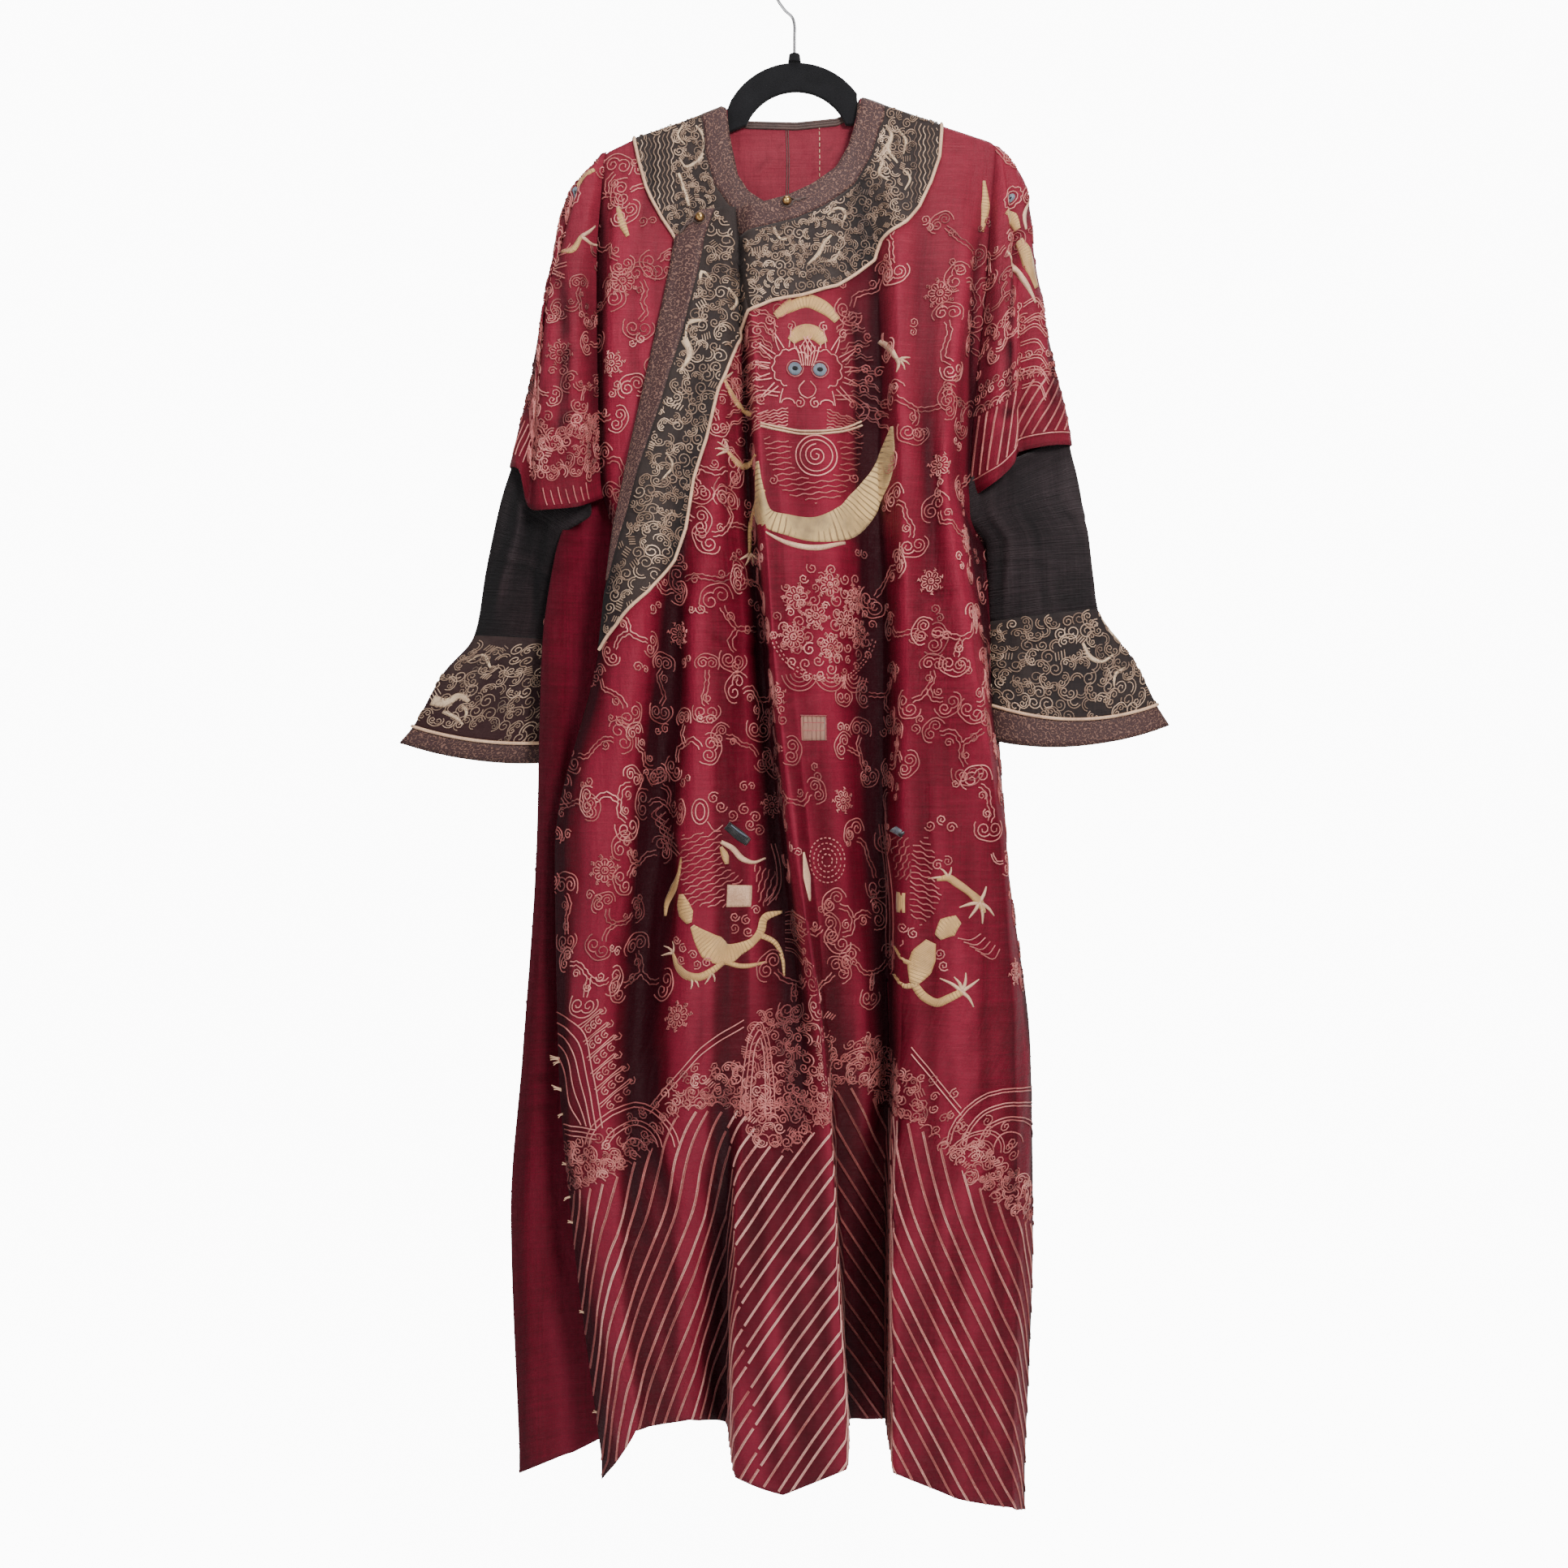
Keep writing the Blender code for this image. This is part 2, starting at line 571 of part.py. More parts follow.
def sleeve_skin(name, rows, ends, front_edge, back_edge, flip):
    # The front runs from the armhole's valley to the outer edge, and the back returns.
    depths = [-row.z for row in rows]
    columns = ("ridge", "fold", "crease", "strip", "edge")
    tracks = [[getattr(row, column) for row in rows] for column in columns]
    top = rows[0].z
    grid = []
    for z_valley in [top] + [-depth for depth in SLEEVE_ROWS]:
        share = (z_valley - top) / (ends[0] - top)
        line = [(*front_edge(z_valley), z_valley)]
        for track, end in zip(tracks, ends[1:]):
            z = top + (end - top) * share
            x = smooth_at(depths, [point[0] for point in track], -z)
            y = smooth_at(depths, [point[1] for point in track], -z)
            line.append((x, y, z))
        edge = line[-1]
        for back_share in SLEEVE_BACK_SHARES:
            z = edge[2] + (z_valley - edge[2]) * back_share
            inner_x, inner_y = back_edge(z)
            swell = straight_at(SLEEVE_BACK_SWELL, -z) * math.sin(math.pi * back_share)
            x = edge[0] + (inner_x - edge[0]) * back_share
            y = edge[1] + (inner_y - edge[1]) * back_share + swell
            line.append((x, y, z))
        grid.append(line)
    return grid_mesh(name, grid, outward_flip=flip)


def edge_of(fold, side):
    # A panel's edge at the armhole, kept one seam away.
    def at(z):
        x = smooth_at(LEVELS, fold.x, -z) + side * 2 * SEAM
        return x, smooth_at(LEVELS, fold.y, -z)
    return at


def upper_sleeves(group):
    silk = ("red_silk", RED_SILK)
    back = back_folds()
    skin = sleeve_skin("sleeve_right", RIGHT_SLEEVE, RIGHT_SLEEVE_ENDS,
                       edge_of(UNDER_FRONT[0], -1), edge_of(back[0], -1), flip=False)
    thicken(put("sleeve_right", skin, *silk, group), CLOTH, outwards=False)
    skin = sleeve_skin("sleeve_left", LEFT_SLEEVE, LEFT_SLEEVE_ENDS,
                       edge_of(OUTER_FRONT[-1], 1), edge_of(back[-1], 1), flip=True)
    thicken(put("sleeve_left", skin, *silk, group), CLOTH, outwards=False)


def ring_points(ring, sides, drop=0.0):
    points = []
    for index in range(sides):
        angle = 2 * math.pi * index / sides
        along = (1 - math.cos(angle)) / 2
        x = ring.left[0] + (ring.right[0] - ring.left[0]) * along
        y = ring.left[1] + (ring.right[1] - ring.left[1]) * along
        z = ring.left[2] + (ring.right[2] - ring.left[2]) * along
        y -= math.sin(angle) * ring.half_depth
        z -= ring.sag * math.sin(angle) ** 2 + drop
        points.append((x, y, z))
    return points


def between(first, second, share):
    def mix(a, b):
        return tuple(p + (q - p) * share for p, q in zip(a, b))
    depth = first.half_depth + (second.half_depth - first.half_depth) * share
    sag = first.sag + (second.sag - first.sag) * share
    return Ring(mix(first.left, second.left), mix(first.right, second.right), depth, sag)


def tube(name, rings, look, group, sides=12, drop=0.0):
    rows = [ring_points(ring, sides, drop) for ring in rings]
    mesh = grid_mesh(name, rows, closed_round=True, outward_flip=True)
    item = put(name, mesh, *look, group)
    thicken(item, CLOTH, outwards=False)
    return item


def lower_sleeves(group):
    dark = ("dark_cloth", DARK_CLOTH)
    collar_look = ("collar_cloth", COLLAR_CLOTH)
    brown = ("brown_binding", BROWN_BINDING)
    cream = ("cream_piping", CREAM_PIPING)
    for side, arm in (("right", RIGHT_ARM), ("left", LEFT_ARM)):
        top, line = CUFF_TOP_RING, CUFF_PIPING_RING
        tube(f"sleeve_extension_{side}", arm[:top + 1], dark, group)
        tube(f"cuff_{side}", arm[top:line + 1], collar_look, group, drop=SEAM)
        tube(f"cuff_binding_{side}", arm[line:], brown, group, drop=2 * SEAM)
        over = [between(arm[line - 1], arm[line], share) for share in (0.94, 1.0)]
        over = [ring._replace(half_depth=ring.half_depth + PIPING_RISE,
                              left=(ring.left[0] - PIPING_RISE, *ring.left[1:]),
                              right=(ring.right[0] + PIPING_RISE, *ring.right[1:]))
                for ring in over]
        piping = tube(f"cuff_piping_{side}", over, cream, group)
        piping.modifiers["wall"].thickness = TRIM * MM


# ---- Buttons and hanger ----

def front_point(x, z):
    u = share_at(OUTER_FRONT, x, z)
    return across(OUTER_FRONT, u, z)[1]


def buttons(group):
    for name, x, z in (("button_throat", -8, -249), ("button_lapel", -98, -266)):
        centre_y = front_point(x, z) - 2 * SEAM - TRIM - BUTTON_RADIUS
        mesh = bpy.data.meshes.new(name)
        shape = bmesh.new()
        bmesh.ops.create_uvsphere(shape, u_segments=12, v_segments=8, radius=BUTTON_RADIUS * MM)
        shape.to_mesh(mesh)
        shape.free()
        item = put(name, mesh, "gilt", GILT, group)
        item.location = (x * MM, centre_y * MM, z * MM)


def arc(centre, radius, start, end, steps):
    points = []
    for index in range(steps + 1):
        angle = math.radians(start + (end - start) * index / steps)
        points.append((centre[0] + radius * math.cos(angle), centre[1] + radius * math.sin(angle)))
    return points


def arm_line(ends, drop, steps=8):
    points = []
    for index in range(steps + 1):
        x = ends[0] + (ends[1] - ends[0]) * index / steps
        points.append((x, straight_at(SHOULDER, x) - drop))
    return points


def hanger(group):
    # One flat outline: the arch, and an arm under each shoulder.
    low = ARM_BELOW_SHOULDER + ARM_HEIGHT
    outline = [(-70, -145), (-68.5, -141)] + arc(ARCH_CENTRE, ARCH_RADIUS, 150, 36, 20)
    outline += [(65.5, -133), (66, -139)] + arm_line((71, ARM_ENDS[1]), ARM_BELOW_SHOULDER)
    outline += [(ARM_ENDS[1] + 3, -190), (ARM_ENDS[1] + 1, -200)]
    outline += arm_line((ARM_ENDS[1] - 3, 66), low)
    outline += arc(INNER_ARCH_CENTRE, INNER_ARCH_RADIUS, 22, 158, 16)
    outline += arm_line((-64, ARM_ENDS[0] + 3), low)
    outline += [(ARM_ENDS[0] - 1, -205), (ARM_ENDS[0] - 3, -196)]
    outline += arm_line((ARM_ENDS[0], -73), ARM_BELOW_SHOULDER)
    body = prism("hanger", outline, -HANGER_THICK / 2, HANGER_THICK / 2, group)
    body.hide_render = False
    body.display_type = "TEXTURED"
    body.data.materials.append(material("black_flock", BLACK_FLOCK))
    rounded = body.modifiers.new("edges", "BEVEL")
    rounded.width = HANGER_EDGE * MM
    rounded.segments = 1
    rounded.limit_method = "ANGLE"
    rounded.angle_limit = math.radians(60)

    crown = ARCH_CENTRE[1] + ARCH_RADIUS
    knob = bmesh.new()
    bmesh.ops.create_cone(knob, cap_ends=True, segments=20, radius1=KNOB_RADIUS * MM,
                          radius2=KNOB_RADIUS * 0.8 * MM, depth=KNOB_HEIGHT * MM)
    mesh = bpy.data.meshes.new("hanger_knob")
    knob.to_mesh(mesh)
    knob.free()
    item = put("hanger_knob", mesh, "black_flock", BLACK_FLOCK, group)
    item.location = (0.0, 0.0, (crown + SEAM + KNOB_HEIGHT / 2) * MM)
    hook(crown + 2 * SEAM + KNOB_HEIGHT, group)


def hook(foot, group):
    # A straight stem, a bend to the wearer's right and a round crown over the rail.
    reach = HOOK_RADIUS + WIRE_RADIUS
    crown = arc((0.0, -HOOK_RADIUS), reach, 205, -25, 18)
    path = [(0.0, foot), (0.0, foot + 18.0), (0.0, foot + 30.0), (-2.0, foot + 38.0)]
    path += [(-10.0, foot + 46.0)] + crown[1:]
    curve = bpy.data.curves.new("hanger_hook", "CURVE")
    curve.dimensions = "3D"
    curve.bevel_depth = WIRE_RADIUS * MM
    curve.bevel_resolution = 3
    curve.use_fill_caps = True
    spline = curve.splines.new("POLY")
    spline.points.add(len(path) - 1)
    for point, (x, z) in zip(spline.points, path):
        point.co = (x * MM, 0.0, z * MM, 1.0)
    curve.materials.append(material("steel", STEEL))
    group.objects.link(bpy.data.objects.new("hanger_hook", curve))


def main():
    clear_scene()
    group = make_collection("chinese_dragon_robe")
    cutters = make_collection("cutters", hidden=True)
    outer_skin, under_skin, back_skin = robe_panels(group, cutters)
    collar(outer_skin, under_skin, back_skin, group, cutters)
    upper_sleeves(group)
    lower_sleeves(group)
    buttons(group)
    hanger(group)


main()
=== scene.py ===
# A Chinese dragon robe on a slim flocked hanger: cloth shells through the frame's folds,
# couched gold thread, satin-stitched dragons, trims, buttons and hanger.
import math

import bmesh
import bpy
import numpy as np
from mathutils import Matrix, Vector


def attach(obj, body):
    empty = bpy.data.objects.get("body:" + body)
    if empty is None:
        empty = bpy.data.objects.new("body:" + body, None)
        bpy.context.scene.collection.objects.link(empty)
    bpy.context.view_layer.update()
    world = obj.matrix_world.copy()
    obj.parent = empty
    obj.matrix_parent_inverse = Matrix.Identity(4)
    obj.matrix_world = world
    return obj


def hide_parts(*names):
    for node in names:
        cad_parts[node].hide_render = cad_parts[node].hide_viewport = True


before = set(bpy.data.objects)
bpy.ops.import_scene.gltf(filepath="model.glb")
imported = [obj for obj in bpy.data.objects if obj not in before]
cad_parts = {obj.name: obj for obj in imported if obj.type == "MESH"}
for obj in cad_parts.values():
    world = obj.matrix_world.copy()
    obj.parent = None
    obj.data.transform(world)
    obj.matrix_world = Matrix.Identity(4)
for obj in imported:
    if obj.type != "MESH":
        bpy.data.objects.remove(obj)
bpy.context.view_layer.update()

mm = 0.001
dice = np.random.default_rng(11)
print("frame loaded")

view = {"place": (-0.011, -1.8, -0.8517), "lens": 39.46, "sensor": 36.0}
camera = bpy.data.objects.new("camera", bpy.data.cameras.new("camera"))
bpy.context.scene.collection.objects.link(camera)
camera.location = view["place"]
camera.rotation_euler = (math.pi / 2, 0, 0)
camera.data.lens = view["lens"]
camera.data.sensor_width = view["sensor"]
bpy.context.scene.camera = camera

lights = {  # place, aim, size, watts, colour
    "key": ((0.8, -1.75, 0.2), (0.0, 0.0, -0.7), 0.5, 46, (1.0, 0.97, 0.95)),
    "fill": ((-1.9, -2.2, -0.5), (0.0, 0.0, -0.95), 1.2, 19, (0.97, 0.97, 1.0)),
    "top": ((0.1, -0.6, 1.3), (0.0, 0.0, -0.8), 1.0, 16, (1.0, 1.0, 1.0)),
    "rear": ((0.6, 1.0, 0.6), (0.0, 0.4, -0.9), 1.0, 10, (1.0, 1.0, 1.0)),
}
for name, (place, aim, size, power, colour) in lights.items():
    lamp = bpy.data.lights.new(name, "AREA")
    lamp.size = size
    lamp.energy = power
    lamp.color = colour
    item = bpy.data.objects.new(name, lamp)
    item.location = place
    item.rotation_euler = (Vector(aim) - Vector(place)).to_track_quat("-Z", "Y").to_euler()
    bpy.context.scene.collection.objects.link(item)
world = bpy.data.worlds.new("studio")
world.use_nodes = True
sky = world.node_tree.nodes["Background"].inputs
sky[0].default_value = (1.0, 1.0, 1.0, 1.0)
sky[1].default_value = 0.3
bpy.context.scene.world = world


class Tree:
    # A small hand for wiring nodes.
    def __init__(self, tree):
        self.tree = tree

    def feed(self, socket, value):
        if isinstance(value, bpy.types.NodeSocket):
            self.tree.links.new(value, socket)
        else:
            socket.default_value = value

    def node(self, kind, values=None, **settings):
        made = self.tree.nodes.new(kind)
        for name, value in settings.items():
            setattr(made, name, value)
        for name, value in (values or {}).items():
            self.feed(made.inputs[name], value)
        return made

    def maths(self, operation, a, b=0.0, clamp=False):
        return self.node("ShaderNodeMath", {0: a, 1: b}, operation=operation, use_clamp=clamp).outputs[0]

    def plus(self, a, b):
        return self.maths("ADD", a, b)

    def times(self, a, b, clamp=False):
        return self.maths("MULTIPLY", a, b, clamp)

    def mix(self, share, under, over):
        values = {0: share, 6: under, 7: (*over, 1.0)}
        return self.node("ShaderNodeMix", values, data_type="RGBA").outputs[2]

    def ramp(self, value, stops):
        made = self.node("ShaderNodeValToRGB", {0: value})
        points = made.color_ramp.elements
        while len(points) < len(stops):
            points.new(0.5)
        for point, (at, colour) in zip(points, stops):
            point.position, point.color = at, (*colour, 1.0)
        return made.outputs[0]

    def fade(self, value, start, end, falling=False):
        ends = (1, 0) if falling else (0, 1)
        return self.ramp(value, [(at, (level,) * 3) for at, level in zip((start, end), ends)])

    def noise(self, vector, scale, detail=3.0, rough=0.55):
        values = {"Vector": vector, "Scale": scale, "Detail": detail, "Roughness": rough}
        return self.node("ShaderNodeTexNoise", values).outputs[0]

    def stretched(self, vector, scale, detail=3.0, rough=0.55):
        mapped = self.node("ShaderNodeMapping", {"Vector": vector, "Scale": scale}).outputs[0]
        return self.noise(mapped, 1.0, detail, rough)

    def wave(self, vector, scale, way, distortion, detail, fine=1.0):
        values = {"Vector": vector, "Scale": scale, "Distortion": distortion, "Detail": detail,
            "Detail Scale": fine}
        return self.node("ShaderNodeTexWave", values, bands_direction=way).outputs[1]

    def flat(self):
        return self.node("ShaderNodeUVMap", uv_map="cloth").outputs[0]

    def solid(self):
        return self.node("ShaderNodeTexCoord").outputs["Object"]

    def held(self, name):
        return self.node("ShaderNodeAttribute", attribute_name=name).outputs["Fac"]

    def group(self, group, values):
        return self.node("ShaderNodeGroup", values, node_tree=group).outputs

    def dress(self, shader, colour, height, relief, strength=0.8):
        bump = self.node("ShaderNodeBump", {"Height": height, "Distance": relief, "Strength": strength})
        self.feed(shader.inputs["Base Color"], colour)
        self.feed(shader.inputs["Normal"], bump.outputs[0])


def newGroup(name, inputs, outputs):
    group = bpy.data.node_groups.new(name, "ShaderNodeTree")
    for title in inputs:
        kind = "NodeSocketVector" if title == "Vector" else "NodeSocketFloat"
        group.interface.new_socket(title, in_out="INPUT", socket_type=kind)
    for title in outputs:
        group.interface.new_socket(title, in_out="OUTPUT", socket_type="NodeSocketFloat")
    tree = Tree(group)
    return group, tree, tree.node("NodeGroupInput").outputs, tree.node("NodeGroupOutput").inputs


def newMaterial(name, roughness, sheen=0.0, tint=(1, 1, 1), metallic=0.0, specular=0.5):
    made = bpy.data.materials.new(name)
    made.use_nodes = True
    shader = made.node_tree.nodes["Principled BSDF"]
    values = {"Roughness": roughness, "Metallic": metallic, "Sheen Weight": sheen, "Sheen Roughness": 0.4,
        "Sheen Tint": (*tint, 1.0), "Specular IOR Level": specular}
    for title, value in values.items():
        shader.inputs[title].default_value = value
    return made, Tree(made.node_tree), shader


# Weave: fine ribs one way, slubs the other, and a soft unevenness between them.
weaveGroup, t, ins, outs = newGroup("silkWeave", ("Vector", "Ribs", "Slub", "Crinkle"), ("Height", "Tone"))
ribs = t.wave(ins["Vector"], ins["Ribs"], "Y", 1.2, 1.0)
streaks = t.stretched(ins["Vector"], (420.0, 9.0, 1.0), 4.0)
slubs = t.stretched(ins["Vector"], (14.0, 700.0, 1.0))
bands = t.stretched(ins["Vector"], (6.0, 170.0, 1.0))
crinkles = t.stretched(ins["Vector"], (95.0, 26.0, 1.0), 4.0, 0.62)
height = t.plus(t.times(ribs, 0.18), t.times(slubs, ins["Slub"]))
height = t.plus(t.plus(height, t.times(streaks, 0.35)), t.times(crinkles, ins["Crinkle"]))
t.feed(outs["Height"], height)
t.feed(outs["Tone"], t.plus(t.plus(t.times(streaks, 0.4), t.times(slubs, 0.25)), t.times(bands, 0.35)))

# Wear: pale rubbed places and darker soiled ones.
wearGroup, t, ins, outs = newGroup("clothWear", ("Vector", "Size"), ("Rubbed", "Soiled"))
broad = t.noise(ins["Vector"], ins["Size"], 5.0, 0.6)
fine = t.noise(ins["Vector"], t.times(ins["Size"], 9.0), 4.0, 0.6)
both = t.plus(t.times(broad, 0.65), t.times(fine, 0.35))
t.feed(outs["Rubbed"], t.fade(both, 0.52, 0.68))
t.feed(outs["Soiled"], t.fade(both, 0.34, 0.48, True))


def clothMaterial(name, look):
    made, tree, shader = newMaterial(name, look["roughness"], look["sheen"], look["tint"],
        specular=look["specular"])
    weave = tree.group(weaveGroup, {"Vector": tree.flat(), "Ribs": look["ribs"], "Slub": look["slub"],
        "Crinkle": look["crinkle"]})
    wear = tree.group(wearGroup, {"Vector": tree.solid(), "Size": look["patches"]})
    place = tree.node("ShaderNodeSeparateXYZ", {"Vector": tree.solid()}).outputs
    # Painted shade: the colour darkens towards the bottom of the robe and towards -x.
    low = tree.fade(tree.plus(place["Z"], 1.6), 0.50, 1.08, True)
    aside = tree.fade(tree.plus(place["X"], 0.5), 0.56, 0.66, True)
    # Painted light: the colour turns lighter towards the top of the robe.
    nearTop = tree.fade(tree.plus(place["Z"], 1.0), *look["paintedTopLightAt"])
    fold = tree.held("fold")
    colour = tree.ramp(weave["Tone"], ((0.36, look["deep"]), (0.64, look["base"])))
    # Rubbed and soiled patches are random wear; then painted shade low down, painted light near the top, a
    # painted highlight on fold ridges in the worn colour, and painted shade in fold troughs.
    for share, over in ((tree.times(wear["Rubbed"], look["rubbing"]), "worn"),
            (tree.times(wear["Soiled"], look["soiling"]), "deep"),
            (tree.times(tree.times(low, aside), look["paintedLowShadeShare"]), "paintedLowShade"),
            (tree.times(nearTop, look["paintedTopLightShare"]), "paintedTopLight"), (tree.times(fold, -look["paintedRidgeLight"], True), "worn"),
            (tree.times(fold, look["shaded"], True), "shade")):
        colour = tree.mix(share, colour, look[over])
    rough = tree.plus(tree.times(weave["Tone"], 0.3), look["roughness"] - 0.15)
    tree.feed(shader.inputs["Roughness"], rough)
    tree.dress(shader, colour, weave["Height"], look["relief"])
    return made


# The worn colour serves both rubbed wear and the painted highlight on fold ridges; the shade colour is painted
# shade in fold troughs.
silkLook = {"base": (0.195, 0.001, 0.019), "deep": (0.100, 0.0005, 0.008), "worn": (0.37, 0.022, 0.056),
    "shade": (0.026, 0.0003, 0.0035), "shaded": 1.0, "paintedRidgeLight": 0.6, "roughness": 0.46, "sheen": 0.07,
    "tint": (1.0, 0.3, 0.38), "specular": 0.2, "ribs": 420.0, "slub": 0.7, "crinkle": 1.5, "patches": 9.0,
    "rubbing": 0.36, "soiling": 0.75, "relief": 0.0024, "paintedLowShadeShare": 0.75, "paintedLowShade": (0.060, 0.0004, 0.005),
    "paintedTopLight": (0.36, 0.048, 0.075), "paintedTopLightAt": (0.35, 0.72), "paintedTopLightShare": 0.4}
redSilk = clothMaterial("redSilk", silkLook)
redLining = clothMaterial("redLining", dict(
    silkLook, base=(0.190, 0.002, 0.021), deep=(0.100, 0.001, 0.009), worn=(0.22, 0.010, 0.032), crinkle=1.6,
    relief=0.0026, roughness=0.6, shaded=0.6, paintedLowShadeShare=0.1, paintedTopLight=(0.33, 0.042, 0.066), paintedTopLightAt=(0.68, 0.78),
    paintedTopLightShare=0.75))
blackRibbed = clothMaterial("blackRibbed", dict(
    silkLook, base=(0.034, 0.022, 0.026), deep=(0.007, 0.005, 0.006), worn=(0.050, 0.034, 0.038),
    shade=(0.005, 0.004, 0.005), tint=(1.0, 0.9, 0.9), sheen=0.06, slub=3.2, crinkle=0.5, relief=0.0030,
    paintedTopLight=(0.045, 0.032, 0.036), roughness=0.62, specular=0.25))
darkSilk = clothMaterial("darkSilk", dict(
    silkLook, base=(0.034, 0.023, 0.022), deep=(0.014, 0.010, 0.011), worn=(0.060, 0.044, 0.038),
    shade=(0.006, 0.005, 0.006), tint=(1.0, 0.9, 0.85), sheen=0.06, crinkle=0.4, relief=0.0012,
    paintedTopLight=(0.055, 0.041, 0.037), roughness=0.66, specular=0.2, rubbing=0.6))


def brocadeMaterial(name, look):
    # Brown ground with a small close gold figure.
    made, tree, shader = newMaterial(name, 0.6, 0.1, (1.0, 0.9, 0.8), specular=0.3)
    flat = tree.flat()
    values = {"Vector": flat, "Scale": look["figure"], "Randomness": 0.55}
    cells = tree.node("ShaderNodeTexVoronoi", values, feature="F1").outputs["Distance"]
    rings = tree.maths("SINE", tree.times(cells, 15.0))
    gaps = tree.fade(tree.noise(flat, look["figure"] * 1.7, 2.0), 0.42, 0.55)
    figure = tree.fade(tree.times(rings, gaps), 0.15, 0.55)
    grain = tree.noise(flat, 900.0, 2.0)
    ground = tree.ramp(grain, ((0.3, look["deep"]), (0.7, look["base"])))
    colour = tree.mix(tree.times(figure, look["strength"]), ground, look["gold"])
    tree.dress(shader, colour, tree.plus(figure, tree.times(grain, 0.5)), 0.0008)
    return made


brownBrocade = brocadeMaterial("brownBrocade", {
    "base": (0.074, 0.032, 0.031), "deep": (0.034, 0.015, 0.016), "gold": (0.27, 0.145, 0.110),
    "figure": 210.0, "strength": 0.7})


def threadMaterial(name, look):
    # Twisted gilt thread: beads along it from noise, and each length its own tone.
    made, tree, shader = newMaterial(name, look["roughness"], 0.15, (1.0, 0.9, 0.8), look["metallic"])
    beads, worn = tree.noise(tree.solid(), 620.0, 2.0), tree.noise(tree.solid(), 55.0)
    mixed = tree.plus(tree.times(tree.held("tone"), 0.45), tree.times(tree.plus(beads, worn), 0.32))
    colour = tree.ramp(mixed, ((0.25, look["dull"]), (0.55, look["base"]), (0.85, look["light"])))
    tree.dress(shader, colour, beads, 0.0008, 0.7)
    return made


goldThread = threadMaterial("goldThread", {
    "base": (0.50, 0.13, 0.125), "light": (0.88, 0.37, 0.33), "dull": (0.18, 0.034, 0.037),
    "roughness": 0.45, "metallic": 0.2})
stripeThread = threadMaterial("stripeThread", {
    "base": (0.50, 0.14, 0.13), "light": (0.97, 0.55, 0.47), "dull": (0.20, 0.042, 0.043),
    "roughness": 0.42, "metallic": 0.15})
oldGoldThread = threadMaterial("oldGoldThread", {
    "base": (0.36, 0.235, 0.165), "light": (0.80, 0.58, 0.42), "dull": (0.085, 0.052, 0.042),
    "roughness": 0.48, "metallic": 0.3})


def satinMaterial(name, look):
    # Close flat stitches across the shape, with darker scale lines where asked.
    made, tree, shader = newMaterial(name, 0.42, 0.25, (1.0, 0.95, 0.85))
    flat = tree.flat()
    stitches = tree.wave(flat, 260.0, "X", 1.5, 2.0)
    rows = tree.fade(tree.wave(flat, look["scales"], "X", 2.6, 1.0, 0.6), 0.74, 0.9)
    patchy = tree.noise(tree.solid(), 34.0)
    lines = tree.times(rows, tree.fade(patchy, 0.45, 0.56))
    ground = tree.ramp(patchy, ((0.3, look["deep"]), (0.65, look["base"])))
    colour = tree.mix(tree.times(lines, look["lining"]), ground, look["line"])
    colour = tree.mix(tree.times(stitches, 0.25), colour, look["deep"])
    tree.dress(shader, colour, tree.maths("SUBTRACT", stitches, lines), 0.0006)
    return made


satinLooks = {}  # base, deep and line colours, then the scales' pitch and how dark they are
for name, base, deep, line, scales, lining in (
        ("scaledSatin", (0.95, 0.64, 0.27), (0.36, 0.24, 0.12), (0.15, 0.07, 0.04), 56.0, 0.75),
        ("paleSatin", (0.95, 0.58, 0.22), (0.46, 0.25, 0.10), (0.25, 0.11, 0.05), 90.0, 0.5),
        ("blueSatin", (0.27, 0.33, 0.39), (0.10, 0.13, 0.18), (0.03, 0.03, 0.05), 60.0, 0.2),
        ("blushSatin", (0.46, 0.24, 0.17), (0.30, 0.13, 0.10), (0.10, 0.03, 0.03), 70.0, 0.6),
        ("inkSatin", (0.006, 0.007, 0.010), (0.003, 0.003, 0.005), (0.02, 0.02, 0.03), 60.0, 0.2)):
    satinLooks[name] = satinMaterial(name, {"base": base, "deep": deep, "line": line, "scales": scales,
        "lining": lining})


def plainLook(name, look):
    # Cord, wire and flock: a broken tone and a fine grain, in object space.
    made, tree, shader = newMaterial(name, look["roughness"], look.get("sheen", 0.0),
        metallic=look.get("metal", 0.0), specular=look.get("specular", 0.5))
    grain, broad = tree.noise(tree.solid(), look["grain"]), tree.noise(tree.solid(), look["patches"])
    both = tree.plus(tree.times(grain, 0.5), tree.times(broad, 0.5))
    tree.dress(shader, tree.ramp(both, ((0.35, look["deep"]), (0.65, look["base"]))), grain, look["relief"],
        0.7)
    return made


creamCord = plainLook("creamCord", {
    "base": (0.86, 0.56, 0.36), "deep": (0.46, 0.26, 0.16), "roughness": 0.5, "sheen": 0.2, "grain": 700.0,
    "patches": 40.0, "relief": 0.0006})
oldCream = plainLook("oldCream", {
    "base": (0.78, 0.58, 0.38), "deep": (0.42, 0.28, 0.18), "roughness": 0.5, "sheen": 0.1, "grain": 700.0,
    "patches": 60.0, "relief": 0.0006})
darkCord = plainLook("darkCord", {
    "base": (0.10, 0.055, 0.045), "deep": (0.04, 0.022, 0.02), "roughness": 0.6, "sheen": 0.2, "grain": 800.0,
    "patches": 60.0, "relief": 0.0006})
blackFlock = plainLook("blackFlock", {
    "base": (0.012, 0.012, 0.014), "deep": (0.005, 0.005, 0.006), "roughness": 0.9, "sheen": 0.12,
    "specular": 0.2, "grain": 1500.0, "patches": 30.0, "relief": 0.0008})
